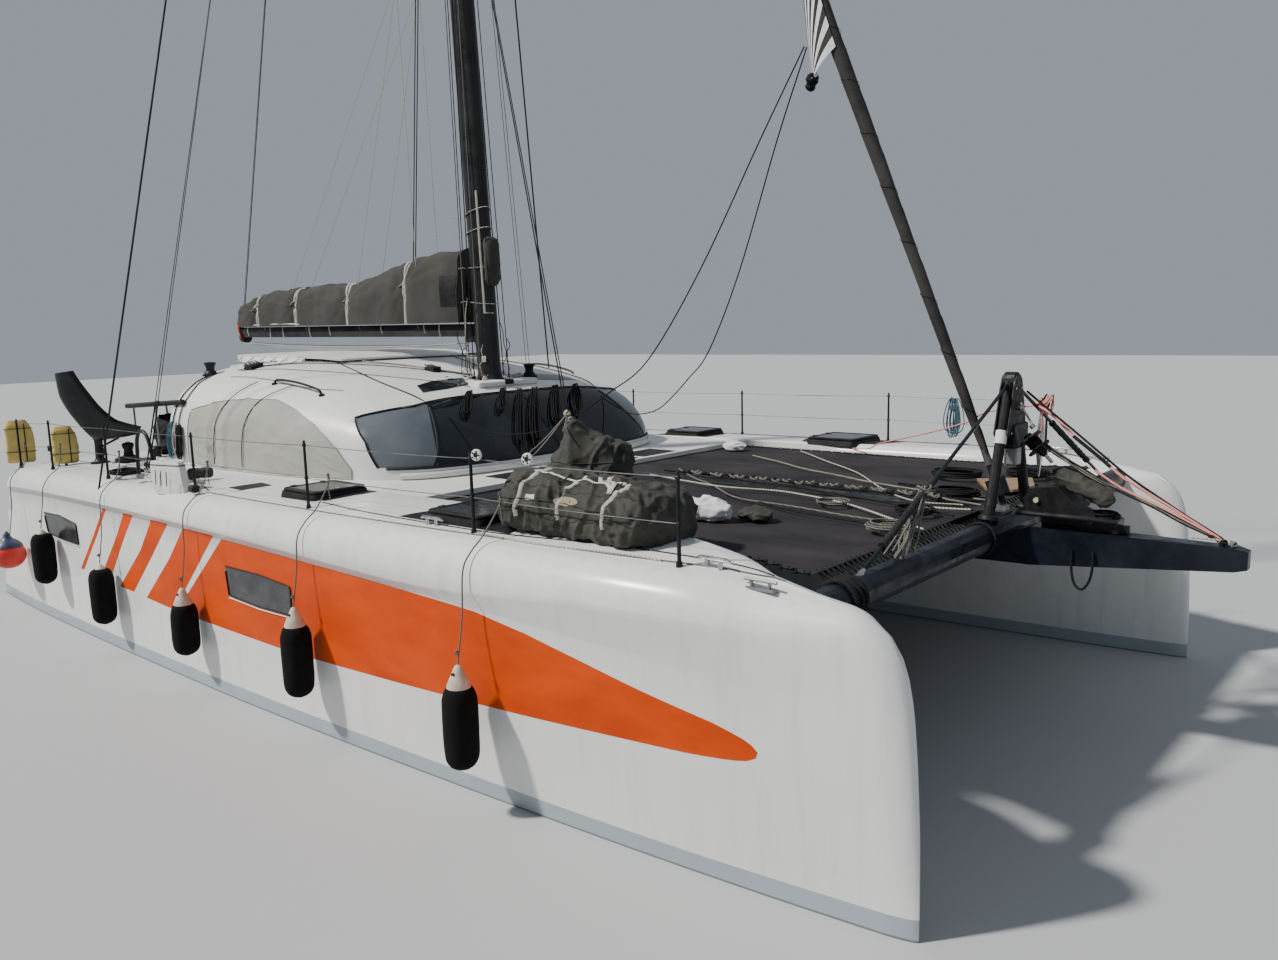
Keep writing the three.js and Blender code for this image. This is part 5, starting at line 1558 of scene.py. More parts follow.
def deck_panel(shape, corners, proud=0.004, steps=10):
    a, b, c, d = corners
    rings = []
    for j in range(steps + 1):
        s = j / steps
        rings.append([on_deck(a[0] + (b[0] - a[0]) * t + ((d[0] - a[0]) * (1 - t) + (c[0] - b[0]) * t) * s,
                              a[1] + (b[1] - a[1]) * t + ((d[1] - a[1]) * (1 - t) + (c[1] - b[1]) * t) * s,
                              proud) for t in (i / steps for i in range(steps + 1))])
    return shape.loft(rings, caps=False, around=False)


fittings = Shape()
for name, x, y, half, z in HATCHES:
    fittings.coloured(1).loft([rounded_square(x, -y, half + 0.026, 0.07, z - 0.060),
                               rounded_square(x, -y, half + 0.012, 0.06, z - 0.003),
                               rounded_square(x, -y, half - 0.020, 0.05, z - 0.002)], caps=False)
deck_panel(fittings.coloured(1), [(2.10, -3.20), (3.45, -3.22), (3.30, -2.66), (2.32, -2.62)], 0.005)
deck_panel(fittings, [(0.10, -3.10), (0.86, -3.10), (0.90, -2.56), (0.04, -2.56)], 0.004)
deck_panel(fittings, [(-0.86, -3.12), (-0.56, -3.14), (-0.50, -2.84), (-0.78, -2.80)], 0.004)
for x, y in ((-1.20, -3.24), (2.62, -3.27), (-4.9, -3.28), (5.25, -3.16)):
    base = on_deck(x, y)
    fittings.coloured(0).tube([base + Vector((-0.13, 0, 0.045)), base + Vector((-0.10, 0, 0.055)),
                               base + Vector((0.10, 0, 0.055)),
                               base + Vector((0.13, 0, 0.045))], [0.008, 0.014, 0.014, 0.008], 8)
    for dx in (-0.05, 0.05):
        fittings.tube([base + Vector((dx, 0, -0.005)), base + Vector((dx, 0, 0.05))], 0.016, 8)
both_sides(fittings, "deck_fittings", steel, black_plastic, white_plastic, slot="steel", smooth=40)
fore_panels = Shape()
for y in (-1.02, -0.34, 0.34, 1.02):
    fore_panels.coloured(0).slab([(0.98, y - 0.29, BRIDGE_TOP + 0.001), (1.38, y - 0.29, BRIDGE_TOP + 0.001),
                                  (1.38, y + 0.29, BRIDGE_TOP + 0.001), (0.98, y + 0.29, BRIDGE_TOP + 0.001)],
                                 (0, 0, 0.006))
fore_panels.piece("foredeck_panels", black_plastic, slot="black")
finish_node(deck_skin, "bridge_deck")
finish_node(white_plastic, "daggerboard_starboard", "daggerboard_port", "aft_bulkhead", "cockpit_bench")
finish_node(oak, "saloon_settee", "galley_counter")
finish_node(grey_metal, "mast_post", "door_track", "propeller_starboard", "propeller_port", "stay_bracket")
finish_node(glass, "saloon_door")
finish_node(carbon, "tiller_starboard", "tiller_port", "furler_drum", "shroud_starboard",
            "shroud_port", "net_spine", "anchor")
finish_node(beam_paint, "crossbeam", "bowsprit", "striker_stay_starboard", "striker_stay_port")
finish_node(black_plastic, "striker_frame")
finish_node(gelcoat, "rudder_starboard", "rudder_port", "drive_leg_starboard", "drive_leg_port")
print("deck at", round(on_deck(0, -3.1).z, 3), "bridge deck top", round(BRIDGE_TOP, 3))

# %% [markdown]
# ## Sail bags
#
# Two dark bags lie lashed forward: a long one stuffed with folded sail on the starboard deck, and a
# peaked one beside it, hung up by its mouth. Stuffed cloth is round where it bulges, and
# creased where it is gathered. A lofted sack is a good start. Blender's cloth, run with some pressure
# inside, makes it swell against its own seams and sag between them, better than any formula would.

# %% A helper that lets a closed skin swell as cloth
def swell(item, voxel, pressure, cap, frames=18, pin_low=None, stiff=12.0):
    """Remesh the skin evenly, blow it up gently as cloth, and keep every point near its start."""
    remesh = item.modifiers.new("even", "REMESH")
    remesh.mode, remesh.voxel_size = "VOXEL", voxel
    graph = bpy.context.evaluated_depsgraph_get()
    start = bpy.data.meshes.new_from_object(item.evaluated_get(graph))
    item.modifiers.clear()
    paints = list(item.data.materials)
    item.data = start
    item.data.materials.clear()
    for paint in paints:
        item.data.materials.append(paint)
    before = [v.co.copy() for v in item.data.vertices]
    cloth = item.modifiers.new("cloth", "CLOTH")
    settings = cloth.settings
    settings.use_pressure, settings.uniform_pressure_force = True, pressure
    settings.mass, settings.quality = 0.3, 6
    settings.tension_stiffness = settings.compression_stiffness = stiff
    settings.bending_stiffness = 0.4
    settings.shrink_min = -0.06
    settings.effector_weights.gravity = 0
    if pin_low is not None:
        group = item.vertex_groups.new(name="lying")
        group.add([i for i, p in enumerate(before) if p.z < pin_low], 1.0, "ADD")
        settings.vertex_group_mass = "lying"
    scene = bpy.context.scene
    for number in range(1, frames + 1):
        scene.frame_set(number)
    graph = bpy.context.evaluated_depsgraph_get()
    after = [v.co.copy() for v in item.evaluated_get(graph).data.vertices]
    item.modifiers.clear()
    scene.frame_set(1)
    for vertex, old, new in zip(item.data.vertices, before, after):
        move = new - old
        if move.length > cap:
            move *= cap / move.length
        vertex.co = old + move
    item.vertex_groups.clear()
    return item


def press_down(item, floor_at, low, high):
    """Keep a soft piece above what it lies on, and inside its box."""
    for vertex in item.data.vertices:
        p = vertex.co
        p.z = max(p.z, floor_at(p.x, p.y))
        p.x, p.y, p.z = (min(max(v, a), b) for v, a, b in zip(p, low, high))


def finer(item, levels=1):
    change = item.modifiers.new("finer", "SUBSURF")
    change.levels = change.render_levels = levels
    graph = bpy.context.evaluated_depsgraph_get()
    data = bpy.data.meshes.new_from_object(item.evaluated_get(graph))
    item.modifiers.clear()
    item.data = data
    item.data.shade_smooth()
    return item


print("helpers ready: swell, press_down, finer")

# %% [markdown]
# The long bag starts as a boxy loft. After it has swollen, ridges of noise crumple it along a few
# directions, and it is pressed back onto the deck and into its box. Webbing, a seam, the lashing and two
# light patches, one tan and one pale, are shot onto it like the film on the hull.

# %% The long bag
def boxy_ring(x, middle, floor_z, half, tall, count=48):
    """A stuffed sack in section: flat below, full sides, a rounder top."""
    ring = []
    for k in range(count):
        a = 2 * math.pi * k / count
        c, s = math.cos(a), math.sin(a)
        y = half * math.copysign(abs(c) ** (0.42 if s < 0 else 0.62), c)
        up = 0.42 + (0.58 * s ** 0.85 if s > 0 else -0.42 * abs(s) ** 0.5)
        ring.append(Vector((x, middle + y, floor_z + tall * up)))
    return ring


BAG_LOW, BAG_HIGH = Vector((3.241, -3.247, 2.020)), Vector((4.719, -2.453, 2.460))
rings = []
for i in range(25):
    t = i / 24
    x = 3.262 + 1.436 * t
    end = min(1, 0.42 + 5.5 * min(t, 1 - t)) ** 0.6
    lump = 1 + 0.03 * math.sin(9.2 * t + 0.5) + 0.02 * math.sin(23 * t)
    rings.append(boxy_ring(x, -2.855, 2.028, 0.372 * end * lump,
                           (0.405 - 0.10 * t ** 1.5) * (0.55 + 0.45 * end) * lump))
long_bag = Shape().loft(rings).piece("sail_bag_long", bag_cloth, replaces=("sail_bag_large",), slot="cover")
swell(long_bag, 0.022, 3.5, 0.035, pin_low=2.09)
noise.seed_set(11)  # unseeded, Blender's vector noise starts from the clock, and folds differ by run


def sculpt(item, centre, folds, amount, fine=14):
    """Crumple a soft piece: folds are (direction they run in, how many to a metre, depth)."""
    item.data.update()
    normals = [v.normal.copy() for v in item.data.vertices]
    for vertex, normal in zip(item.data.vertices, normals):
        p = vertex.co - centre
        deep = 0
        for number, (way, count, depth) in enumerate(folds):
            run = Vector(way).normalized()
            q = (p - run * (p.dot(run) * 0.72)) * count
            q += noise.noise_vector(p * 2.6 + Vector((7 * number, 0, 0))) * 0.9
            ridge = 1 - abs(noise.noise(q + Vector((0, 11 * number, 0)))) * 2.1
            deep += depth * (max(0, ridge) ** 2.5 - 0.35)
        deep += amount * noise.noise(p * fine) + 0.4 * amount * noise.noise(p * 2.3 * fine)
        vertex.co += normal * deep


finer(long_bag)
sculpt(long_bag, Vector((4.0, -2.85, 2.25)),
       [((0.22, 0.5, 1), 7.5, 0.028), ((-0.45, 0.4, 1), 9.0, 0.017), ((1, 0.1, 0.12), 6.0, 0.014)], 0.004)
press_down(long_bag, lambda x, y: on_deck(x, y).z, BAG_LOW, BAG_HIGH)
print("long bag points", len(long_bag.data.vertices))

bag_trim = Shape()
bag_tree = tree_of(long_bag)


def laid(tree, starts, way, lift):
    """Where parallel lines from the starts meet the skin, each point moved by lift."""
    hits = [tree.ray_cast(Vector(start), Vector(way))[0] for start in starts]
    return [hit + Vector(lift) for hit in hits if hit is not None]


def girth(tree, x, centre, from_deg, to_deg, steps=30, lean=0.0, proud=0.004):
    line = []
    for k in range(steps + 1):
        a = math.radians(from_deg + (to_deg - from_deg) * k / steps)
        start = Vector((x + lean * math.sin(a), centre.y + 1.2 * math.cos(a), centre.z + 1.2 * math.sin(a)))
        hit = tree.ray_cast(start, (Vector((x, centre.y, centre.z)) - start).normalized())[0]
        if hit is not None:
            line.append(hit + (start - hit).normalized() * proud)
    return line


middle = Vector((0, -2.85, 2.20))
for x, lean in ((3.55, 0.05), (3.93, 0.0), (4.40, -0.04)):
    bag_trim.coloured(0).tube(girth(bag_tree, x, middle, 185, 95, 26, lean), 0.016, 6, flat=0.22)
seam_x = [3.32 + 1.32 * k / 59 for k in range(60)]
seam = laid(bag_tree, [(x, -3.6, 2.275 - 0.02 * math.sin(3 * x)) for x in seam_x], (0, 1, 0), (0, -0.003, 0))
bag_trim.coloured(1).tube(seam, 0.007, 6, flat=0.6)
for line in ([(3.50, -2.98), (3.72, -3.00), (3.98, -2.96), (4.12, -2.93), (4.27, -3.02), (4.36, -3.12)],
             [(3.95, -2.78), (4.10, -2.90), (4.22, -2.86), (4.32, -2.92)],
             [(4.05, -2.72), (4.12, -2.86), (4.28, -2.98), (4.36, -3.13)]):
    starts = [(p.x, p.y, 3) for p in smooth_path([(x, y, 2.5) for x, y in line], 6)]
    bag_trim.coloured(0).tube(laid(bag_tree, starts, (0, 0, -1), (0, 0, 0.006)), 0.017, 6, flat=0.3)
for cx, cy, w, h, mark in ((3.98, -3.02, 0.13, 0.08, 2), (3.66, -3.04, 0.055, 0.045, 3)):
    rows = []
    for j in range(7):
        row = []
        for i in range(9):
            u, v = 2 * i / 8 - 1, 2 * j / 6 - 1
            if mark == 2:
                u, v = u * math.sqrt(1 - v * v / 2), v * math.sqrt(1 - u * u / 2)
            x, y = cx + w * u, cy + 0.9 * h * v
            hit = bag_tree.ray_cast(Vector((x, y - 1.4, 3.0)), Vector((0, 1.4, -0.78)).normalized())[0]
            row.append((hit or Vector((x, y, 2.4))) + Vector((0, -0.003, 0.004)))
        rows.append(row)
    bag_trim.coloured(mark).loft(rows, caps=False, around=False)
bag_trim.piece("sail_bag_long_trim", webbing, bag_cloth, tan_cloth, webbing, slot="canvas", smooth=70)

# %% [markdown]
# A dark cord is sewn into the bag's long side seams.

# %% The long bag's piping
piping = Shape()
for side in (-1, 1):
    starts = [(3.36 + 1.24 * k / 60, -2.85 + side, 2.235 - 0.03 * math.sin(3 * k / 60)) for k in range(61)]
    piping.tube(laid(bag_tree, starts, (0, -side, 0), (0, side * 0.002, 0)), 0.0065, 6)
piping.piece("sail_bag_long_piping", dark_webbing, slot="cover", smooth=70)
print("piping faces", len(piping.faces))

# %% [markdown]
# The peaked bag hangs by its mouth, so its pleats deepen towards the knot. Two drawcords run round it where
# it is gathered.

# %% The peaked bag, gathered to a knot
PEAK = Vector((3.010, -2.135, 2.790))
SHOULDER = straight([0, 0.62, 0.72, 0.82, 0.92, 1.0], [0.42, 0.49, 0.44, 0.29, 0.12, 0.015])
ALONG, ACROSS = Vector((0.757, 0.654, 0)), Vector((-0.654, 0.757, 0))
rings = []
for i in range(30):
    t = i / 29
    z = 1.962 + (2.765 - 1.962) * t
    low_end = -0.50 + 0.485 * t ** 0.75
    high_end = SHOULDER(t)
    middle, half = (low_end + high_end) / 2, (high_end - low_end) / 2
    deep = 0.235 * (1 - 0.45 * t) * (1 - t ** 5) + 0.015
    centre = Vector((3.085, -2.07, 0)) + (Vector((PEAK.x, PEAK.y, 0)) - Vector((3.085, -2.07, 0))) * t
    ring = []
    for k in range(56):
        a = 2 * math.pi * k / 56
        c, s = math.cos(a), math.sin(a)
        pleat = 1 + (0.02 + 0.09 * t) * math.sin(9 * a + 2.0 * t)
        p = centre + ALONG * (middle + half * pleat * math.copysign(abs(c) ** 0.8,
                c)) + ACROSS * deep * pleat * math.copysign(abs(s) ** 0.8, s)
        ring.append((p.x, p.y, z))
    rings.append(ring)
peaked = Shape().loft(rings).piece("sail_bag_peaked", bag_cloth, replaces=("sail_bag_small",), slot="cover")
swell(peaked, 0.020, 2.5, 0.030, pin_low=2.0)
finer(peaked)
sculpt(peaked, Vector((3.15, -2.1, 2.3)),
       [((-0.40, -0.35, -1), 6.0, 0.018), ((0.76, 0.65, -0.35), 5.0, 0.013), ((0.3, 0.3, -1), 9.0, 0.007)],
       0.003)
press_down(peaked, lambda x, y: 1.943, Vector((2.70, -2.44, 1.94)), Vector((3.64, -1.80, 2.80)))
peak_trim = Shape()
peak_tree = tree_of(peaked)
for level in (2.28, 2.40):
    loop = []
    for k in range(49):
        a = 2 * math.pi * k / 48
        start = Vector((3.15 + math.cos(a), -2.10 + math.sin(a), level + 0.03 * math.sin(2 * a)))
        hit = peak_tree.ray_cast(start, (Vector((3.15, -2.10, level)) - start).normalized())[0]
        if hit is not None:
            loop.append(hit + (start - hit).normalized() * 0.004)
    peak_trim.coloured(1).tube(loop, 0.006, 6, flat=0.6)
peak_trim.coloured(0)
knot(peak_trim, PEAK, 0.023)
knot(peak_trim, PEAK + Vector((0.03, 0, -0.05)), 0.020)
for dx, dy, dz in ((-0.30, -0.22, -0.36), (-0.24, -0.26, -0.40), (0.10, -0.16, -0.13), (0.03, -0.05, -0.12)):
    reach = Vector((dx, dy, dz))
    peak_trim.coloured(2).tube(smooth_path([PEAK, PEAK + reach * 0.5 + Vector((0, 0, -0.02)), PEAK + reach],
                                           5), 0.007, 6)
peak_trim.piece("sail_bag_peaked_trim", pale_rope, bag_cloth, grey_rope, slot="canvas", smooth=60)
print("peaked bag points", len(peaked.data.vertices))

# %% [markdown]
# A small white sack lies on the net beside them, and a black holdall next to it. They are soft lumps,
# so a ball is squashed and creased rather than simulated.

# %% The white sack and other soft lumps
def lump(name, centre, size, finish, seed, folds, floor_z, slot):
    shape = Shape()
    rings = []
    for i in range(23):
        v = math.pi * (i + 0.2) / 22.4
        ring = []
        for k in range(40):
            a = 2 * math.pi * k / 40
            r = 1 + 0.10 * noise.noise(Vector((math.cos(a) * 1.5 + seed, math.sin(a) * 1.5, 2 * math.cos(v))))
            round_out = abs(math.sin(v)) ** 0.6
            ring.append((centre[0] + size[0] * r * round_out * math.cos(a),
                         centre[1] + size[1] * r * round_out * math.sin(a),
                         centre[2] - size[2] * r * math.cos(v)))
        rings.append(ring)
    item = shape.loft(rings).piece(name, finish, slot=slot)
    finer(item)
    sculpt(item, Vector(centre), folds, 0.006)
    for vertex in item.data.vertices:
        vertex.co.z = max(vertex.co.z, floor_z)


ON_NET, ON_BRIDGE = 1.944, 1.994
LUMPS = [  # name, centre, half sizes, cloth, seed, folds, height under it, slot
    ("white_sack", (4.06, -1.66, 2.020), (0.235, 0.13, 0.092), white_cloth, 3.0,
     [((0.2, 0.1, 1), 10, 0.022), ((1, 0.5, 0), 12, 0.014)], ON_NET, "canvas"),
    ("black_holdall", (4.42, -1.47, 1.99), (0.15, 0.11, 0.055), bag_cloth, 8.0, [((0.3, 1, 0), 12, 0.016)],
     ON_NET, "cover"),
    ("dark_bundle", (-4.10, -2.22, 2.25), (0.21, 0.13, 0.25), dark_webbing, 6.0,
     [((0.1, 0.2, 1), 10, 0.030), ((1, 0.2, 0.3), 9, 0.02)], ON_BRIDGE, "cover"),
    ("white_sack_port", (1.72, 2.05, 1.99), (0.15, 0.10, 0.060), white_cloth, 5.0, [((1, 0.3, 0), 12, 0.016)],
     ON_NET, "canvas")]
for row in LUMPS:
    lump(*row)
print("soft lumps", len(LUMPS))

# %% [markdown]
# ## Helm seats
#
# Each helm seat is one moulded bucket: a thin shell that sweeps from a tall back into a short seat, with
# turned-up sides. A strip of mesh follows the measured back line, and its width is dished.
# A solidify step would do, but lofting both skins keeps the rim round.

# %% The two bucket seats
BACK_LINE = smooth_path([(-0.372, 0, 0.885), (-0.362, 0, 0.72), (-0.335, 0, 0.56), (-0.215, 0, 0.315),
                         (-0.02, 0, 0.055),
                         (0.14, 0, 0.045), (0.30, 0, 0.060), (0.475, 0, 0.085)], 5)
WING_LINE = smooth_path([(-0.215, 0, 0.905), (-0.150, 0, 0.77), (-0.075, 0, 0.640), (0.045, 0, 0.445),
                         (0.19, 0, 0.285),
                         (0.30, 0, 0.225), (0.41, 0, 0.185), (0.500, 0, 0.150)], 5)
SEAT_AT = Matrix.Translation((-4.450, -2.950, 2.190)) @ Matrix.Rotation(math.radians(62), 4, "Z")


def seat_point(i, u, inset):
    """Across the seat, u runs from -1 to 1; its sides sweep up from the back line to the wing line."""
    t = i / (len(BACK_LINE) - 1)
    low, high = BACK_LINE[i], WING_LINE[i]
    wide = (0.206 - inset) * (0.80 + 0.20 * math.sin(math.pi * min(1, 0.15 + 0.95 * t)))
    rise = abs(u) ** 3.2 * (1 - inset * 2)
    out = (high - low).normalized()
    return SEAT_AT @ (low + (high - low) * rise + out * inset * 1.2 + Vector((0, wide * u, 0)))


seat = Shape()
rings = []
for i in range(len(BACK_LINE)):
    lower = [seat_point(i, -1 + 2 * k / 22, 0.0) for k in range(23)]
    upper = [seat_point(i, 1 - 2 * k / 22, 0.022) for k in range(23)]
    rings.append(lower + upper)
seat.coloured(0).loft(rings)
foot = SEAT_AT @ Vector((0.02, 0, 0.20))
ground = on_deck(foot.x, foot.y).z
seat.coloured(1).lathe((foot.x, foot.y, ground - 0.002), (0, 0, 1),
                       [(0, 0.115), (0.012, 0.115), (0.02, 0.075), (0.06, 0.052), (0.22, 0.047),
                        (0.29, 0.050), (0.305, 0.07)], 22)
for dx, dy in ((0.24, 0.11), (0.24, -0.11), (-0.06, 0.12)):
    seat.tube([SEAT_AT @ Vector((0.02, 0, -0.06)),
               SEAT_AT @ Vector((0.02 + dx, dy, 0.062 if dx > 0 else 0.13))], 0.012, 8)
both_sides(seat, "helm_bucket", carbon, black_plastic, replaces="helm_seat", slot="carbon", smooth=55)
print("rings in a seat", len(rings))

# %% [markdown]
# ## Lifebuoy bags
#
# Two yellow cloth bags with a horseshoe buoy inside hang on the stern rail. Cloth over foam is boxy with
# soft corners, a zip down the middle and small creases near the hem.

# %% Yellow bags on the rail
def buoy_bag(name, node, middle, wide, tall, seed):
    turn = Matrix.Translation(middle) @ Matrix.Rotation(1.26, 4, "Z")
    shape = Shape()
    rings = []
    for i in range(33):
        t = i / 32
        across = wide * (1 - 0.40 * max(0, (t - 0.60) / 0.40) ** 2.0) * min(1, 0.84 + 3.5 * t)
        deep = 0.062 * min(1, 0.55 + 6 * t) * min(1, 0.30 + 5.5 * (1 - t))
        ring = []
        for k in range(40):
            a = 2 * math.pi * k / 40
            c, s = math.cos(a), math.sin(a)
            crease = 1 - abs(noise.noise(Vector((c * 2.2 + seed, s * 2.2, 5 * t)))) * 2.2
            puff = 0.97 + 0.05 * noise.noise(Vector((c * 1.8 + seed, s * 1.8, 3 * t))) - 0.06 * max(0,
                    crease) ** 3
            ring.append(turn @ Vector((across / 2 * puff * math.copysign(abs(c) ** 0.55, c)
                                       + 0.012 * math.sin(4 * t),
                                       deep * puff * math.copysign(abs(s) ** 0.7, s), tall * (t - 0.5))))
        rings.append(ring)
    shape.coloured(0).loft(rings)
    for t in (0.26, 0.80):
        z, reach = tall * (t - 0.5), wide / 2 * (1.0 if t < 0.5 else 0.90)
        shape.coloured(1).tube([turn @ Vector((reach * math.copysign(abs(math.cos(a)) ** 0.55, math.cos(a))
                                               + 0.012 * math.sin(4 * t),
                                               0.064 * math.copysign(abs(math.sin(a)) ** 0.7, math.sin(a)),
                                               z))
                                for a in (2 * math.pi * k / 28 for k in range(29))], 0.011, 6, flat=0.3)
    shape.tube([turn @ Vector((0.2 * wide, -0.066, tall * (t - 0.5))) for t in (0.03, 0.3, 0.6, 0.92)],
               0.007, 6, flat=0.5)
    shape.tube([middle - Vector((0, 0, tall / 2 - 0.04)),
                Vector((middle.x, middle.y, on_deck(middle.x, middle.y).z - 0.004))], 0.017, 10)
    item = shape.piece(name, yellow_cloth, dark_webbing, replaces=(node,), slot="yellow", smooth=60)
    print(name, round(item.dimensions.z, 2), "m tall with its post")


buoy_bag("lifebuoy_bag_aft", "lifebuoy_cover_1", Vector((-5.830, -3.370, 2.180)), 0.34, 0.56, 1.0)
buoy_bag("lifebuoy_bag_fore", "lifebuoy_cover_2", Vector((-4.790, -3.205, 2.180)), 0.30, 0.47, 6.0)

# %% [markdown]
# ## On the roof
#
# Aft of the mast the roof carries a flat white panel on struts, a pale strip lashed under its near
# edge, winches, grab rails and rope clutches. At the mast stands a raised step, and curved smoked strips
# let light into the cabin. Long lines run over the roof to the winches.

# %% Roof panel, step, rails and skylights
roof_gear = Shape()
panel = []
for x, y0, z0 in ((-4.16, -1.13, 3.205), (-4.10, -1.19, 3.218), (-3.4, -1.20, 3.222), (-2.7, -1.19, 3.216),
                  (-2.15, -1.12, 3.190), (-1.95, -1.0, 3.160)):
    thick = 0.034 if -4.1 <= x < -2.3 else 0.024
    row = []
    for k in range(13):
        y = y0 + 2 * abs(y0) * k / 12
        row.append(Vector((x, y, z0 + 0.012 * (1 - (y / 1.2) ** 2))))
    panel.append(row + [p - Vector((0, 0, thick)) for p in row[::-1]])
roof_gear.coloured(0).loft(panel)
roof_gear.block((-0.78, -0.46, 2.82), (-0.035, 0.46, 2.893), 0.016)
roof_gear.coloured(3).block((-0.20, -0.075, 2.84), (-0.024, 0.055, 2.899), 0.006)
roof_gear.coloured(1)
for side in (-1, 1):
    rows = []
    for j in range(9):
        s = j / 8
        top_line = along_line([(-0.36, -1.10), (-0.46, -0.80), (-0.49, -0.34)], s)
        low_line = along_line([(-0.12, -1.20), (-0.12, -0.87), (-0.19, -0.50)], s)
        rows.append([over_roof(top_line[0] + (low_line[0] - top_line[0]) * i / 5,
                               side * -(top_line[1] + (low_line[1] - top_line[1]) * i / 5), 0.004)
                     for i in range(6)])
    roof_gear.loft(rows, caps=False, around=False)
for side in (-1, 1):
    def grip(x):
        return over_roof(x, side * (1.98 - 0.04 * (x + 1.4)), 0)
    roof_gear.coloured(2).tube(smooth_path([grip(-1.79) + Vector((0, 0, 0.005)),
                                            grip(-1.72) + Vector((0, 0, 0.055)),
                                            grip(-1.35) + Vector((0, 0, 0.07)),
                                            grip(-0.97) + Vector((0, 0, 0.055)),
                                            grip(-0.90) + Vector((0, 0, 0.005))], 6), 0.014, 8)
    for x in (-1.79, -0.90):
        roof_gear.tube([grip(x) - Vector((0, 0, 0.005)), grip(x) + Vector((0, 0, 0.014))], 0.034, 12)


def winch(shape, base, size):
    shape.lathe(base, (0, 0, 1),
                [(-0.01, 0.085 * size), (0.012, 0.085 * size), (0.02, 0.066 * size), (0.045, 0.058 * size),
                 (0.055, 0.045 * size),
                             (0.085, 0.043 * size), (0.125, 0.052 * size), (0.135, 0.062 * size),
                 (0.150, 0.062 * size), (0.158, 0.05 * size),
                             (0.162, 0.03 * size)], 20)


for x, y in ((-0.34, 0.60), (-3.40, -1.93), (-3.40, 1.93)):
    winch(roof_gear.coloured(3), over_roof(x, y, 0), 1.15)
for x, y, n in ((-2.85, -1.72, 4), (-2.85, 1.72, 4), (-0.95, -0.45, 3), (-0.95, 0.45, 3)):
    for k in range(n):
        p = over_roof(x, y + 0.045 * k, 0)
        roof_gear.coloured(3).block((p.x - 0.09, p.y - 0.016, p.z - 0.01),
                                    (p.x + 0.09, p.y + 0.016, p.z + 0.055), 0.008)
        roof_gear.tube([p + Vector((0.02, 0, 0.05)), p + Vector((-0.09, 0, 0.075))], 0.009, 6)
for y in (-1.02, 1.02):
    for x in (-3.95, -3.1, -2.3):
        base = over_roof(x, y, 0)
        roof_gear.coloured(2).tube([base - Vector((0, 0, 0.004)), Vector((base.x, base.y, 3.175))], 0.016, 8)
roof_gear.piece("roof_fittings", white_plastic, glass, black_plastic, black_plastic, slot="black", smooth=40)

lashing = Shape()
band = []
for i in range(31):
    x = -3.98 + 1.55 * i / 30
    sag = 0.018 * math.sin(5 * math.pi * i / 30) ** 2
    drop = (x + 3.98) * 0.008
    band.append([Vector((x, -1.205, 3.196 - drop)), Vector((x, -1.245, 3.178 - drop - sag)),
                 Vector((x, -1.250, 3.142 - drop - sag)), Vector((x, -1.20, 3.150 - drop - sag))])
lashing.coloured(0).loft(band)
for i in range(6):
    x = -3.92 + 0.28 * i
    p = over_roof(x + 0.03, -1.36, 0.002)
    lashing.coloured(1).tube(smooth_path([(x, -1.21, 3.200), (x + 0.01, -1.258, 3.165), p], 4), 0.006, 5)
lashing.piece("panel_lashing", white_cloth, pale_rope, slot="canvas", smooth=60)
print("roof gear faces", len(roof_gear.faces))

# %% [markdown]
# Reef lines and halyards are led aft from the mast's foot. Each is a thin tube whose points are dropped
# onto the roof from above.

# %% Lines that run over the roof
roof_lines = Shape()


LEADS = [  # points on the roof, radius
    ([(-0.55, -0.16), (-1.4, -0.75), (-2.2, -1.30), (-3.0, -1.78)], 0.006),
    ([(-0.55, -0.10), (-1.5, -0.60), (-2.3, -1.22), (-3.0, -1.70)], 0.005),
    ([(-0.60, -0.20), (-1.7, -0.62), (-2.75, -1.05), (-3.3, -1.55)], 0.006),
    ([(-0.55, 0.16), (-1.4, 0.75), (-2.2, 1.30), (-3.0, 1.78)], 0.006),
    ([(-0.60, 0.20), (-1.7, 0.62), (-2.75, 1.05), (-3.3, 1.55)], 0.006),
    ([(-2.8, -1.98), (-1.8, -1.95), (-1.2, -1.92), (-0.75, -1.78)], 0.004),
    ([(-0.1, -0.55), (-0.9, -1.15), (-1.8, -1.55), (-2.9, -1.80)], 0.004)]
for k, (points, radius) in enumerate(LEADS):
    path = smooth_path([(x, y, 0) for x, y in points], 10)
    roof_lines.coloured(k % 3).tube([over_roof(p.x, p.y, 0.006 + radius) for p in path], radius, 6)
roof_lines.piece("roof_lines", black_rope, grey_rope, wire_finish, slot="black", smooth=60)
print("lines over the roof", len(LEADS))

# %% [markdown]
# ## Ropes
#
# Spare rope is kept in hanks: turns of one length that hang from a hook, gathered by a few wraps round
# the neck. Each turn is a long drop shape set a rope's width beside the last, so nothing runs through
# itself. Where a hank hangs against the sloping windscreen, its points are laid on the glass.

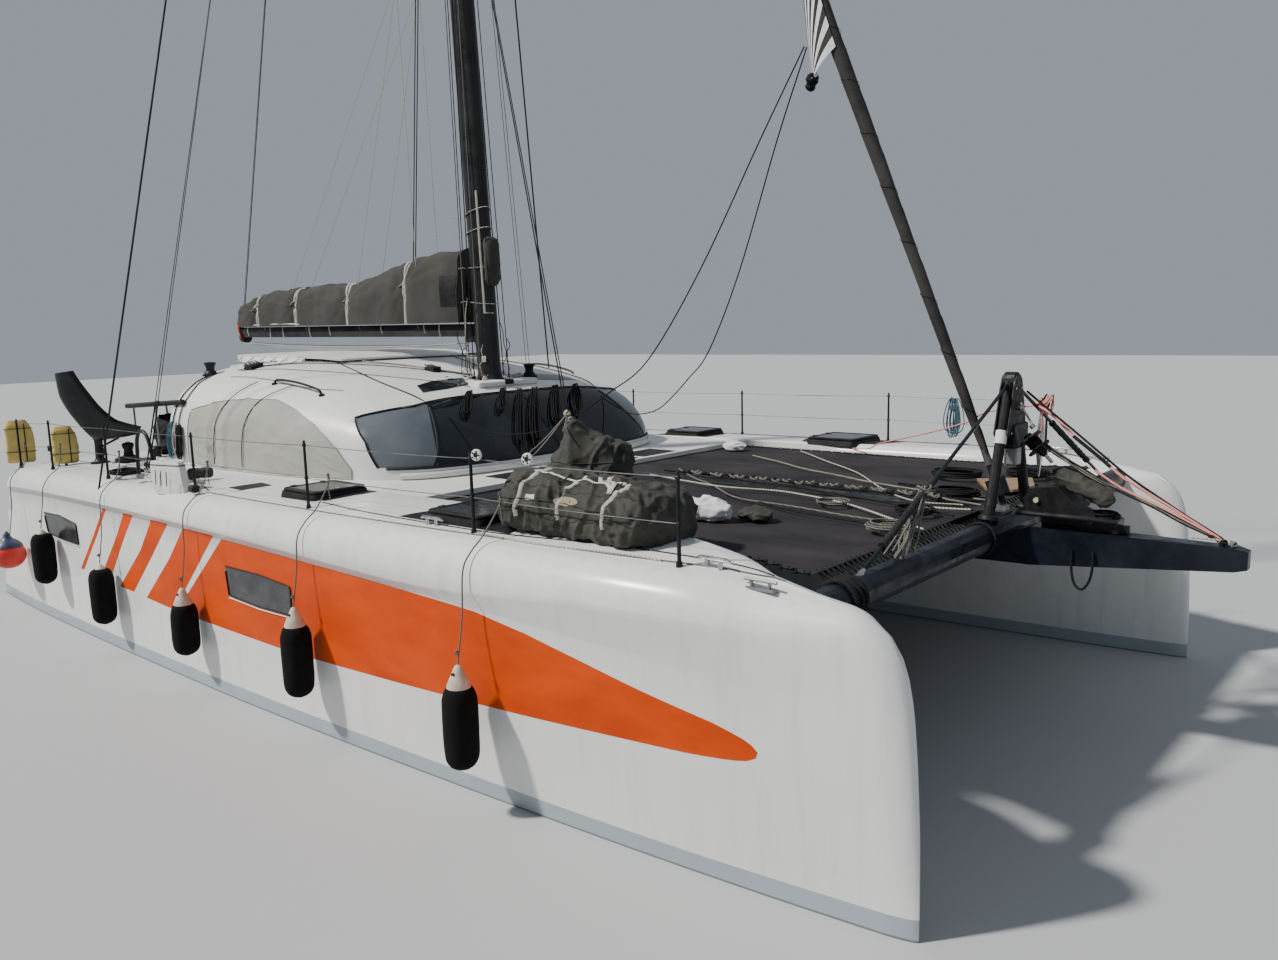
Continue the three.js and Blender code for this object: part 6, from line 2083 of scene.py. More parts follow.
# %% A hank of rope
def hank_path(top, drop, wide, turns, gauge, lay=None, seed=1, facing=0.6):
    """One rope's path: the turns one after another, then three wraps round the neck."""
    chance = random.Random(seed)
    along = Vector((math.cos(facing), math.sin(facing), 0))
    out = Vector((math.sin(facing), -math.cos(facing), 0))
    path = []
    for k in range(turns):
        size, spread = 1 - 0.20 * chance.random(), wide * (0.25 + 0.95 * ((k * 0.618 + 0.3) % 1))
        aside = (k - (turns - 1) / 2) * gauge * 0.7
        for i in range(20):
            a = 2 * math.pi * (i + 0.5 * (k == 0)) / 20
            down = drop * size * (1 - math.cos(a)) / 2
            swing = spread / 2 * math.sin(a) * (0.30 + 0.70 * (1 - math.cos(a)) / 2) + aside
            path.append((swing, down, (0.6 + 1.05 * ((k * 2) % 3 + k / turns)) * gauge))
    neck = 0.30 * drop
    for i in range(34):
        a = 2 * math.pi * i / 9
        across = (turns * gauge * 0.38 + 0.22 * wide) * math.cos(a)
        path.append((across, neck + gauge * i / 9 - 0.05, gauge * (2.1 + 1.9 * math.sin(a))))
    for _ in range(4):  # ease the places where one turn passes into the next
        path = [path[0], *[tuple((a + 2 * b + c) / 4 for a, b, c in zip(*three))
                           for three in zip(path, path[1:], path[2:])], path[-1]]
    made = []
    for swing, down, depth in path:
        p = Vector(top) + along * swing - Vector((0, 0, down))
        made.append(lay(p, depth) if lay else p + out * depth)
    return made


def length_of(path):
    return sum((b - a).length for a, b in zip(path, path[1:]))


def free_rope(name, path, gauge, finish):
    item = Shape().tube(path, gauge / 2, 7).piece(name, finish, slot="black", smooth=80)
    print(name, round(length_of(path), 1), "m")
    return item


def on_glass(p, depth):
    q = before_roof(p.y, p.z, depth - 0.001)
    return before_roof(p.y - 0.95 * (q.x - 0.08), p.z, depth - 0.001)


def on_side(p, depth):
    return beside_roof(p.x, p.z, depth)


HANKS = [  # name, y, z of the hook, drop, width, turns, rope, seed
    ("hank_by_mast_1", -0.72, 2.790, 0.27, 0.13, 8, 0.014, black_rope, 3),
    ("hank_by_mast_2", -0.22, 2.790, 0.24, 0.12, 8, 0.014, black_rope, 4),
    ("hank_by_mast_3", 0.04, 2.785, 0.66, 0.11, 8, 0.014, black_rope, 5),
    ("hank_by_mast_4", 0.28, 2.785, 0.68, 0.17, 9, 0.015, black_rope, 6),
    ("hank_by_mast_5", 0.62, 2.780, 0.44, 0.15, 9, 0.015, black_rope, 7),
    ("hank_by_mast_6", 0.96, 2.765, 0.36, 0.20, 6, 0.018, black_rope, 13)]
for name, y, z, drop, wide, turns, gauge, finish, seed in HANKS:
    path = hank_path((0.3, y, z), drop, wide, turns, gauge, on_glass, seed, facing=math.pi / 2)
    free_rope(name, path, gauge, finish)
for name, at, drop, wide, turns, gauge, finish, seed in (
        ("hank_aft_1", (-3.40, -2.4, 2.470), 0.47, 0.20, 9, 0.012, blue_rope, 8),
        ("hank_aft_2", (-3.17, -2.4, 2.450), 0.46, 0.18, 9, 0.014, black_rope, 9),
        ("hank_aft_3", (-3.29, -2.4, 2.460), 0.42, 0.12, 5, 0.012, pale_rope, 10)):
    free_rope(name, hank_path(at, drop, wide, turns, gauge, on_side, seed, facing=0.0), gauge, finish)
free_rope("hank_aft_port", hank_path((-3.515, 2.22, 2.440), 0.44, 0.16, 6, 0.014, None, 12, facing=-1.45),
          0.014, black_rope)
free_rope("hank_on_port_rail", hank_path((4.00, 3.245, 2.585), 0.52, 0.24, 10, 0.013, None, 14, facing=0.05),
          0.013, blue_rope)

# %% [markdown]
# Two lines come over the roof's edge from the winch and end in the hanks beside the helm.

# %% Lines from the winch down to the hanks
down = Shape()
for dx, mark in ((0.0, 0), (0.10, 1)):
    points = [over_roof(-3.40 + dx, y, 0.010) for y in (-1.97, -2.06, -2.14)]
    points += [beside_roof(-3.38 + dx * 1.5, z, 0.012) for z in (2.80, 2.66, 2.52, 2.44)]
    down.coloured(mark).tube(smooth_path(points, 6), 0.008, 7)
down.piece("lines_to_hanks", black_rope, grey_rope, slot="black", smooth=80)
print("the lines leave the roof at", tuple(round(v, 2) for v in points[2]))

# %% [markdown]
# The jib sheets hang slack from the clew to the roof, so they are drawn as the curve that slack rope
# takes. Standing lines are straight: halyards, the lazy jacks that hold the stowed sail, and the topping
# lift. None of them is tied to the boom's body; the sloping ones end on the mast.

# %% The two slack sheets, from their blocks on the roof to the clew
SHEET = [(3.955, -0.02, 5.86), (3.578, -0.132, 5.112), (3.023, -0.319, 3.989), (2.506, -0.493, 3.154),
         (2.116, -0.624, 2.843),
         (1.754, -0.746, 2.600), (1.525, -0.823, 2.484), (1.250, -0.916, 2.418), (0.914, -1.029, 2.401),
         (0.500, -1.168, 2.489),
         (0.200, -1.272, 2.640)]
ON_ROOF = [(-0.01, -1.345), (-0.31, -1.365), (-0.70, -1.345), (-1.21, -1.25), (-2.10, -0.995)]
for side, name in ((-1, "sheet_starboard"), (1, "sheet_port")):
    knots = [Vector((x, -side * y, z)) for x, y, z in SHEET]
    knots += [Vector((p.x, -side * p.y, p.z)) for p in (over_roof(x, y, 0.009) for x, y in ON_ROOF)]
    knots[0] = CLEW + Vector((0.0, side * 0.02, -0.02))
    if side > 0:
        knots = [p + Vector((0, 0, 0.05 * (1 if 0.3 < p.x < 3 else 0))) for p in knots]
    free_rope(name, smooth_path(knots[::-1], 7), 0.013, black_rope)
    block = over_roof(-2.16, side * 0.99)
    Shape().coloured(0).block((block.x - 0.05, block.y - 0.02, block.z - 0.006),
                              (block.x + 0.06, block.y + 0.02, block.z + 0.045), 0.012).piece(
        name + "_block", black_plastic, slot="black")

# %% [markdown]
# Halyards run beside the mast and a little clear of it. Their feet stand ahead of the place that the
# cover's front passes when the boom swings out.

# %% Halyards, lazy jacks and the topping lift
def mast_side(z, across=0.0, ahead=0.0):
    return Vector((mast_x(z) + ahead, across, z))


taut = Shape()
TAUT = [  # from, to, radius, colour
    (mast_side(9.6, -0.05, 0.15), PEAK + Vector((-0.02, 0.0, 0.03)), 0.006, 0),
    (mast_side(9.4, -0.02, 0.16), PEAK + Vector((0.03, -0.02, 0.03)), 0.005, 0)]
for z, across, ahead, foot, radius, mark in (
        (12.0, -0.10, -0.06, (-0.49, -0.25, 2.90), 0.006, 2),
                                             (11.0, -0.115, -0.02, (-0.44, -0.26, 2.895), 0.005, 1),
        (10.0, -0.11, 0.03, (-0.39, -0.24, 2.895), 0.006, 0),
                                             (9.0, -0.09, 0.08, (-0.30, -0.22, 2.895), 0.005, 3),
        (12.5, 0.11, 0.02, (-0.42, 0.25, 2.895), 0.006, 0),
                                             (11.5, 0.10, -0.05, (-0.47, 0.25, 2.90), 0.006, 2),
        (10.5, 0.07, 0.12, (-0.22, 0.16, 2.895), 0.005, 0),
                                             (8.2, -0.04, 0.165, (-0.16, -0.12, 2.895), 0.005, 1)):
    TAUT.append((mast_side(z, across, ahead), Vector(foot), radius, mark))
for start, end, radius, mark in TAUT:
    taut.coloured(mark).tube([start, start.lerp(end, 0.5), end], radius, 6)
taut.piece("halyards", black_rope, black_rope, grey_rope, grey_rope, slot="black", smooth=80)

lifts = Shape()
for side in (-1, 1):
    fork = Vector((-1.55, side * 0.17, 7.6))
    for x in (-1.46, -2.72, -4.40):
        foot = cover_point(x, 0.30 if side < 0 else 0.70)
        lifts.coloured(0).tube([foot, foot.lerp(fork, 0.5), fork], 0.004, 5)
    lifts.tube([fork, mast_side(11.5, side * 0.10, -0.05)], 0.005, 5)
boom_tip = Vector((-6.09, 0, boom_z(-6.09) + 0.15))
lifts.coloured(1).tube([boom_tip, mast_side(19.9, 0, -0.085)], 0.006, 6)
lifts.tube([boom_tip + Vector((0.02, -0.03, -0.01)), mast_side(19.8, -0.02, -0.085)], 0.004, 6)
for dx in (0.0, 0.045):  # the dark pair that meets the cover at its first tie
    lifts.coloured(1).tube([cover_point(-1.745 + dx, 0.5) + Vector((0, 0, -0.010)),
                            mast_side(12.2, dx - 0.02, -0.085)], 0.0065, 6)
jacks = lifts.piece("lazy_jacks_and_lift", pale_rope, black_rope, body=None, slot="black", smooth=80)
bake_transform(jacks)
print("taut lines", len(TAUT))

# %% [markdown]
# A running backstay is a wire with a tackle at its foot. Blocks are small lathed discs, set in the plane
# of their line.

# %% Running backstays: on each side a pair of wires that comes down to a tackle on the deck
def disc(shape, centre, axis, radius, thick, rim=0.012):
    centre, axis = Vector(centre), Vector(axis).normalized()
    shape.lathe(centre - axis * thick / 2, axis,
                [(0, radius * 0.82), (rim * 0.6, radius), (thick - rim * 0.6, radius),
                 (thick, radius * 0.82)], 22)


runners = Shape()
for dx, dz in ((0.0, 0.0), (0.075, 0.25)):
    foot, top = Vector((-2.92 + dx, -3.03, 1.995)), Vector((mast_x(18.4), -0.06, 18.4 + dz))
    runners.coloured(0).tube([foot.lerp(top, 0.045), foot.lerp(top, 0.5), top], 0.0055, 6)
    runners.coloured(1).tube([foot, foot.lerp(top, 0.045)], 0.009, 8)
    disc(runners.coloured(2), foot.lerp(top, 0.045), (0.3, -1, 0), 0.032, 0.022)
    disc(runners, foot + Vector((0, 0, 0.05)), (0.3, -1, 0), 0.030, 0.022)
    runners.coloured(3).tube([foot - Vector((0, 0, 0.02)), foot + Vector((0, 0, 0.012))], 0.034, 16)
both_sides(runners, "running_backstays", wire_finish, black_rope, black_plastic, steel,
           slot="steel", smooth=60)
print("a running backstay is", round((top - foot).length, 1), "m long")

# %% [markdown]
# The halyards' tails hang at the mast's foot, where no two of them fall alike, so they are drawn with
# seeded chance.

# %% Tails and tangle at the mast's foot
tails = Shape()
chance = random.Random(21)
for k in range(11):
    side = -1 if k < 8 else 1
    x0 = -0.62 + 0.05 * k if side < 0 else -0.5 + 0.1 * (k - 8)
    top = Vector((x0, side * (0.19 + 0.03 * chance.random()),
                  2.90 + 0.5 * chance.random() + (0.5 if k % 3 == 0 else 0)))
    knots = [top]
    for j in range(5):
        knots.append(top + Vector((0.09 * (chance.random() - 0.5), side * (0.02 + 0.05 * chance.random()),
                                   -(top.z - 2.91) * (j + 1) / 5)))
    end = over_roof(x0 - 0.05 + 0.15 * chance.random(), side * (0.50 + 0.16 * chance.random()), 0.008)
    tails.coloured(k % 4).tube(smooth_path([*knots, end], 5), 0.005, 6)
for k in range(7):
    at = Vector((-0.60 + 0.07 * k, -0.25 + 0.012 * math.sin(5 * k), 2.915))
    tails.coloured((k + 1) % 4)
    knot(tails, at, 0.022)
tails.piece("mast_foot_tails", black_rope, grey_rope, black_rope, pale_rope, slot="black", smooth=70)
print("tail faces", len(tails.faces))

# %% [markdown]
# The control lines on the roof end at the winches. Small round blocks and a pair of fairleads guide the
# furling line along the rail to the bow.

# %% Blocks on the rail, lines along the deck
rail_gear = Shape()
for x, y, z in ((3.245, -3.300, 2.560), (3.770, -3.290, 2.565)):
    rail_gear.coloured(0)
    disc(rail_gear, (x, y - 0.018, z + 0.035), (0.25, -1, 0.1), 0.043, 0.030)
    rail_gear.coloured(1)
    disc(rail_gear, (x + 0.004, y - 0.030, z + 0.036), (0.25, -1, 0.1), 0.020, 0.014)
    for k in range(5):
        a = 2 * math.pi * k / 5
        disc(rail_gear, (x + 0.028 * math.cos(a) + 0.005, y - 0.034 + 0.007 * math.cos(a),
                         z + 0.035 + 0.028 * math.sin(a)), (0.25, -1, 0.1), 0.0065, 0.010, 0.003)
p = on_deck(2.71, -2.74, 0.0)
rail_gear.coloured(2).loft([[(p.x + 0.115 * s * math.cos(a), p.y + 0.055 * s * math.sin(a), p.z + h)
                             for a in (2 * math.pi * k / 24 for k in range(24))]
                            for s, h in ((1.0, 0.0), (0.97, 0.022), (0.75, 0.040), (0.40, 0.048))])
rail_gear.piece("rail_blocks", white_plastic, black_plastic, grey_metal, slot="steel", smooth=40)

deck_lines = Shape()
for points, radius, mark in (([(5.70, -3.05), (4.6, -3.28), (3.3, -3.33), (1.2, -3.36), (-0.9, -3.33)],
                              0.0045, 0),
                             ([(5.60, -3.02), (4.2, -3.16), (3.2, -3.25), (1.7, -3.22), (0.9, -3.15)], 0.004,
                              1),
                             ([(3.20, -3.30), (3.9, -3.33), (4.9, -3.24)], 0.007, 2),
                             ([(-0.95, -3.28), (-1.8, -3.05), (-2.6, -3.00), (-3.2, -3.12)], 0.006, 1)):
    line = [on_deck(p.x, p.y, radius + 0.001) for p in smooth_path([(x, y, 0) for x, y in points], 14)]
    deck_lines.coloured(mark).tube(line, radius, 6)
both_sides(deck_lines, "deck_lines", wire_finish, black_rope, pale_rope, slot="black", smooth=80)
print("deck line faces", len(deck_lines.faces))

# %% [markdown]
# ## The gear round the sprit
#
# A striker is an A-frame that keeps the crossbeam straight: two stays pull down over its head. Its head
# is plated, and the stays wear sleeves where lines would chafe them. Forward of it lie a small furling
# drum, its lines in pink, black and grey-green, and a box and a rolled cloth that wait for a sail.

# %% Striker plates, sleeves and box
X = 5.870
plates = Shape()
OUTLINE = [(-0.205, 2.58), (-0.12, 2.50), (0.205, 2.50), (0.165, 2.70), (0.100, 2.93), (0.075, 3.00),
           (0.035, 3.035), (-0.035, 3.035),
           (-0.075, 3.00), (-0.100, 2.93), (-0.165, 2.70)]
for x in (X - 0.058, X + 0.048):
    plates.coloured(0).slab([(x, y, z) for y, z in OUTLINE], (0.010, 0, 0))
plates.block((X - 0.075, -0.10, 2.455), (X + 0.075, 0.205, 2.650), 0.012)
plates.coloured(1).block((X - 0.05, 0.035, 2.300), (X + 0.045, 0.150, 2.452), 0.010)
plates.coloured(2).block((X - 0.055, 0.028, 2.296), (X - 0.045, 0.156, 2.456), 0.003)
plates.tube([(X + 0.058, 0, 2.785), (X + 0.082, 0, 2.785)], 0.034, 16)
ring = [(X + 0.088, 0.022 * math.cos(a), 2.780 + 0.022 * math.sin(a))
        for a in (2 * math.pi * k / 16 for k in range(17))]
plates.tube(ring, 0.006, 8)
for y, z in ((-0.13, 2.58), (0.13, 2.58), (-0.06, 2.93), (0.06, 2.93)):
    plates.tube([(X + 0.056, y, z), (X + 0.064, y, z)], 0.010, 8)


def leg(z, side):
    return Vector((X, side * (0.430 - 0.390 * (z - 1.83) / 1.15), z))


plates.coloured(3).tube([leg(2.50, -1), leg(2.60, -1)], 0.046, 20)
for side in (-1, 1):
    plates.coloured(0).tube([leg(1.915, side), leg(1.945, side), leg(1.965, side)], [0.080, 0.078, 0.046], 20)
    plates.tube([leg(2.02, side), leg(2.08, side)], 0.0455, 20)
plates.piece("striker_plates", black_plastic, grey_metal, steel, white_plastic, slot="carbon", smooth=35)


def on_stay(y):
    return Vector((X, y, 1.86 + (2.56 - abs(y)) * 1.12 / 2.53))


sleeves = Shape()
for a, b in ((-1.40, -2.16), (0.98, 1.98)):
    steps = [on_stay(a + (b - a) * k / 24) for k in range(25)]
    widths = [0.026 + 0.004 * math.sin(3.1 * k) * (0 < k < 24) + 0.004 * (k % 6 == 0) for k in range(25)]
    sleeves.coloured(0).tube(steps, widths, 14)
for y in (-2.44, 2.44):
    sleeves.coloured(1).tube([on_stay(y), on_stay(y * 1.035)], [0.022, 0.022], 12)
    sleeves.tube([on_stay(y * 0.985), on_stay(y)], [0.015, 0.022], 12)
sleeves.piece("stay_sleeves", dark_webbing, steel, slot="black", smooth=60)
print("striker plate faces", len(plates.faces))

# %% [markdown]
# The small drum is lathed on its own slanting axis, with turns of line between its cheeks. The ropes along
# the sprit are strands that wander a little, so that several side by side look laid by hand.

# %% The small furling drum and its tackle
tackle = Shape()
HEAD, DRUM_HIGH, DRUM_LOW = (Vector(p) for p in ((5.958, 0, 2.780), (6.057, 0, 2.620), (6.206, 0, 2.470)))
drum_axis = (DRUM_LOW - DRUM_HIGH).normalized()
tackle.coloured(2).tube([HEAD, HEAD.lerp(DRUM_HIGH, 0.5), DRUM_HIGH], 0.008, 8)
tackle.tube([HEAD + Vector((0, 0.015, 0)), DRUM_HIGH + Vector((0, 0.015, 0))], 0.006, 8)
tackle.coloured(3).tube([DRUM_HIGH - drum_axis * 0.03, DRUM_HIGH], 0.022, 12)
start = Vector((6.02, 0, 2.545))
tackle.coloured(0).lathe(start - drum_axis * 0.02, drum_axis,
                         [(0, 0.030), (0.015, 0.034), (0.030, 0.034), (0.032, 0.094), (0.046, 0.098),
                         (0.050, 0.050), (0.075, 0.036), (0.105, 0.036), (0.130, 0.050), (0.134, 0.098),
                          (0.148, 0.094), (0.150, 0.034),
                         (0.19, 0.032), (0.215, 0.020)], 30)
for k in range(7):
    a = drum_axis * (0.062 + 0.012 * (k % 5)) + start - drum_axis * 0.02
    side = drum_axis.cross(Vector((0, 1, 0)))
    turn = [a + 0.050 * (math.cos(t) * side + math.sin(t) * Vector((0, 1, 0)))
            for t in (2 * math.pi * i / 20 for i in range(21))]
    tackle.coloured(1).tube(turn, 0.0065, 6)
tackle.coloured(3).tube([start + drum_axis * 0.19, start + drum_axis * 0.27], 0.014, 10)
tackle.piece("small_furling_drum", black_plastic, black_rope, pale_rope, steel, slot="black", smooth=40)


def strand(shape, points, radius, wander, seed, steps=8, sides=6):
    """A rope through the points that is never quite straight."""
    path = smooth_path(points, steps)
    drift = [Vector((0, noise.noise(Vector((p.x * 3, p.z * 3, seed))),
                     noise.noise(Vector((p.x * 3, p.z * 3, seed + 9))))) * wander
             for p in path]
    return shape.tube([p + d for p, d in zip(path, drift)], radius, sides)


lines = Shape()
BUNDLE = [(6.148, 0, 2.490), (6.330, 0, 2.375), (6.569, 0, 2.245), (6.998, 0, 2.056), (7.42, 0, 1.862)]
for k in range(6):
    aside = Vector((0, 0.014 * math.cos(2.1 * k), 0.014 * math.sin(2.1 * k)))
    lines.coloured(0 if k < 4 else 1)
    strand(lines, [Vector(p) + aside * (1 - 0.5 * i / 4) for i, p in enumerate(BUNDLE)], 0.0075, 0.016, k)
PINK_AND_BLACK = [(5.90, 0.55, 2.745), (6.097, 0.30, 2.700), (6.327, 0.12, 2.555), (6.636, 0.02, 2.345),
                  (6.746, 0, 2.270), (7.42, 0, 1.875)]
for part, mark, radius in ((slice(0, 3), 2, 0.012), (slice(2, 4), 1, 0.014), (slice(3, 5), 2, 0.011),
                           (slice(4, 6), 2, 0.011)):
    strand(lines.coloured(mark), PINK_AND_BLACK[part], radius, 0.006, 4.0)
strand(lines.coloured(1), [(5.96, 0.10, 2.90), (6.30, 0.06, 2.64), (6.80, 0.03, 2.26), (7.42, 0, 1.885)],
       0.009, 0.006, 7.0)
strand(lines.coloured(2), [(6.529, 0.01, 2.312), (6.735, 0.01, 2.190), (7.10, 0, 2.035), (7.42, 0, 1.870)],
       0.010, 0.006, 5.0)
for k in range(4):
    knot(lines.coloured((0, 1, 3, 0)[k]), (7.40 + 0.03 * k, 0.012 * (-1) ** k, 1.868 - 0.004 * k), 0.019)
lines.coloured(3)
for k in range(3):
    strand(lines, [(7.22 + 0.05 * k, -0.035 + 0.03 * k, 1.880), (7.36, -0.02 + 0.02 * k, 1.878),
                   (7.47, 0.0, 1.862)], 0.007, 0.01, 2.0 + k)
lines.piece("sprit_lines", grey_rope, black_rope, pink_rope, pale_rope, slot="black", smooth=80)
print("sprit line faces", len(lines.faces))

# %% [markdown]
# A faded red line hangs in a bundle of loops from the port stay, and its long end runs aft along the net.

# %% The pink line's bundle on the port stay, and the line that runs aft to the mast
pink = Shape()
chance = random.Random(31)
for k in range(9):
    lean, size = chance.uniform(-0.8, 0.8), chance.uniform(0.045, 0.095)
    middle = Vector((X + 0.02 + 0.01 * k, 0.60 + chance.uniform(-0.06, 0.06),
                     2.755 + chance.uniform(-0.03, 0.03)))
    loop = []
    for i in range(15):
        a = 2 * math.pi * i / 14
        loop.append(middle + Vector((0.25 * size * math.sin(a + lean), size * math.cos(a),
                                     0.55 * size * math.sin(a) + 0.3 * size * math.sin(2 * a))))
    pink.coloured(0 if k % 3 else 1).tube(loop, 0.0085, 7)
for end in ((X + 0.02, 0.58, 2.40), (X + 0.03, 0.66, 2.35)):
    pink.coloured(0).tube(smooth_path([(X + 0.03, 0.60, 2.75), (X + 0.05, 0.585, 2.60), end], 6), 0.007, 7)
pink.coloured(0).tube(smooth_path([(X - 0.02, 0.60, 2.745), (5.309, 0.95, 2.640), (4.964, 1.30, 2.500),
                                   (4.40, 1.75, 2.330), (3.60, 2.20, 2.120),
                                   (3.20, 2.50, 2.000), (2.2, 2.75, 1.996)], 8), 0.0075, 7)
pink.coloured(2).tube(sagging((X + 0.03, 0.62, 2.72), (X + 0.03, 0.60, 2.14), 0.0, 6),
                      [0.006, 0.02, 0.032, 0.034, 0.03, 0.018, 0.006], 10)
pink.piece("pink_line", pink_rope, black_rope, steel, slot="red", smooth=80)
print("pink line faces", len(pink.faces))

# %% [markdown]
# A cloth rolled up by hand is an oval loft whose section slowly turns. A coil is one long rope: each
# turn lies a little off the last and rests on it.

# %% Box, anchor gear, rolled cloth and black coil on the sprit
box = Shape()
SIDE = [(6.08, 1.945), (6.42, 1.930), (6.47, 2.03), (6.30, 2.185), (6.12, 2.165), (6.02, 2.06)]
box.coloured(0).slab([(x, -0.13, z) for x, z in SIDE], (0, 0.26, 0))
box.slab([(6.22, -0.150, 1.955), (6.60, -0.150, 1.960), (6.56, -0.150, 2.045), (6.30, -0.150, 2.13)],
         (0, 0.016, 0))
box.coloured(1).tube([(6.145, -0.155, 2.07), (6.145, -0.128, 2.07)], 0.020, 14)
box.coloured(2).tube(smooth_path([(5.99, -0.10, 1.95), (6.12, -0.17, 1.965), (6.50, -0.16, 1.965),
                                  (6.747, -0.12, 1.950)], 6), 0.020, 10)
box.tube(smooth_path([(6.05, 0.12, 1.95), (6.35, 0.15, 1.975), (6.70, 0.11, 1.955)], 6), 0.018, 10)
for x in (6.50, 6.68):
    box.coloured(2).block((x, -0.115, 1.905), (x + 0.05, 0.115, 1.955), 0.008)
box.piece("sprit_box", black_plastic, cream_plastic, carbon, slot="carbon", smooth=30)

cloth_roll = Shape()
rings = []
for i in range(25):
    t = i / 24
    middle = Vector((6.18 + 0.52 * t, 0.14 - 0.22 * t, 2.235 - 0.11 * t + 0.02 * math.sin(5 * t)))
    size = 0.078 * (1 - abs(2 * t - 1) ** 6) ** 0.5 + 0.012
    rings.append([middle + Vector((0.25 * size * math.cos(a) * (1 + 0.06 * math.sin(7 * t)),
                                   size * math.cos(a),
                                   size * (0.86 + 0.10 * math.sin(3 * a + 8 * t)) * math.sin(a)))
                  for a in (2 * math.pi * k / 30 for k in range(30))])
cloth_roll.loft(rings)
rolled = cloth_roll.piece("rolled_cloth", cover_cloth, slot="cover", smooth=80)
finer(rolled)
sculpt(rolled, Vector((6.42, 0.03, 2.18)),
       [((0.9, -0.3, 0.2), 14.0, 0.012), ((0.2, 0.7, 1), 11.0, 0.016)], 0.004)


def coil(name, centre, across, turns, gauge, finish, seed):
    """A round coil laid down by hand: every turn a little off the last, and resting on it."""
    chance = random.Random(seed)
    path = []
    for k in range(turns):
        size = across / 2 * (0.72 + 0.28 * ((k * 0.618) % 1))
        off = Vector((chance.uniform(-1, 1), chance.uniform(-1, 1), 0)) * gauge * 0.9
        for i in range(16):
            a = 2 * math.pi * (i + 16 * k) / 16
            lift = gauge * (0.55 + 0.75 * k * (0.55 if turns > 6 else 1) + 0.12 * math.sin(3 * a + k))
            path.append(Vector(centre) + off + Vector((size * math.cos(a), size * 0.86 * math.sin(a), 0))
                        + Vector((0, 0, lift)))
    free_rope(name, smooth_path(path, 2), gauge, finish)


coil("coil_on_sprit", (6.60, 0.02, 1.935), 0.26, 5, 0.016, black_rope, 3)
hang_loop = [(6.575, -0.115, 1.70), (6.580, -0.120, 1.62), (6.565, -0.115, 1.50), (6.525, -0.115, 1.415),
             (6.480, -0.115, 1.405), (6.440, -0.115, 1.46),
             (6.420, -0.115, 1.58), (6.420, -0.112, 1.70)]
free_rope("loop_under_sprit", smooth_path(hang_loop, 6), 0.020, black_rope)

# %% [markdown]
# Ropes lie in heaps on the nets, where the crew leaves them: coils, a chain-like lashing and long runs
# that wander from the mast to the beam. A plank and a heap of black line lie by the striker.

# %% Lashings from the striker stay to the beam, and the plank
lash = Shape()
chance = random.Random(17)
TOP, FOOT = Vector((X - 0.01, -1.52, 2.345)), Vector((X - 0.02, -1.90, 1.925))
for k in range(11):
    bow = Vector((0.03 * math.cos(1.9 * k), 0.055 * math.sin(2.3 * k), 0))
    low = FOOT + Vector((0.09 * chance.uniform(-1, 1), 0.13 * chance.uniform(-1, 1), 0.0))
    lash.coloured(0 if k % 4 else 1).tube(smooth_path([TOP + bow * 0.3, TOP.lerp(low, 0.30) + bow,
                                                       TOP.lerp(low, 0.52) + bow * 0.35,
                                                       TOP.lerp(low, 0.75) + bow * 0.8, low], 5), 0.0075, 6)
for t in (0.02, 0.06, 0.46, 0.50, 0.54, 0.58):
    at = TOP.lerp(FOOT, t)
    lash.tube([at + Vector((0.045 * math.cos(a), 0.045 * math.sin(a), 0.012 * math.sin(2 * a)))
               for a in (2 * math.pi * i / 14 for i in range(15))],
              0.0085, 6)
for y in (-0.56, 0.50):
    lash.coloured(2).tube([(X + 0.122 * math.cos(a), y + 0.02 * math.sin(a), 1.80 + 0.122 * math.sin(a))
                           for a in (2 * math.pi * i / 24 for i in range(25))],
                          0.012, 6)
for y in (-2.72, -2.66, -2.60):
    lash.coloured(2).tube([(X + 0.124 * math.cos(a), y, 1.80 + 0.124 * math.sin(a))
                           for a in (2 * math.pi * i / 24 for i in range(25))], 0.022, 7)
lash.piece("beam_lashings", grey_rope, grey_rope, black_rope, slot="black", smooth=70)

plank = Shape()
plank.slab([(5.16, 1.10, 1.975), (5.56, 1.42, 1.975), (5.74, 0.98, 1.975), (5.66, 0.66, 1.975),
            (5.44, 0.62, 1.975)], (0, 0, 0.022))
plank.piece("plank", board_wood, slot="canvas")

on_net = Shape()
NET_RUNS = [  # points on the net, radius, colour
    ([(4.61, 0.64), (4.72, 0.60), (4.85, 0.58)], 0.012, 0),
            ([(5.15, -0.37), (5.40, -0.36), (5.68, -0.29)], 0.010, 1),
    ([(4.97, 0.40), (5.31, 0.07), (5.46, 0.0), (5.70, -0.08)], 0.010, 2),
            ([(2.21, 0.32), (3.0, -0.25), (3.82, -0.83), (4.6, -0.95), (5.6, -1.1)], 0.008, 2),
    ([(2.67, 0.10), (3.6, -0.02), (4.69, -0.27), (5.65, -0.60)], 0.009, 0),
            ([(2.20, 0.10), (3.2, 0.16), (4.3, 0.06), (5.72, 0.10)], 0.011, 0),
    ([(2.53, 2.24), (4.0, 1.0), (5.0, -0.07), (5.5, -0.08)], 0.006, 1),
            ([(2.3, 1.6), (3.4, 1.0), (4.9, 0.36), (5.70, 0.2)], 0.007, 3),
    ([(2.25, -0.20), (3.3, -0.42), (4.1, -0.36), (5.0, -0.75), (5.72, -1.25)], 0.008, 1),
            ([(5.72, -1.60), (5.2, -1.2), (4.4, -1.05), (3.5, -0.6)], 0.007, 0)]
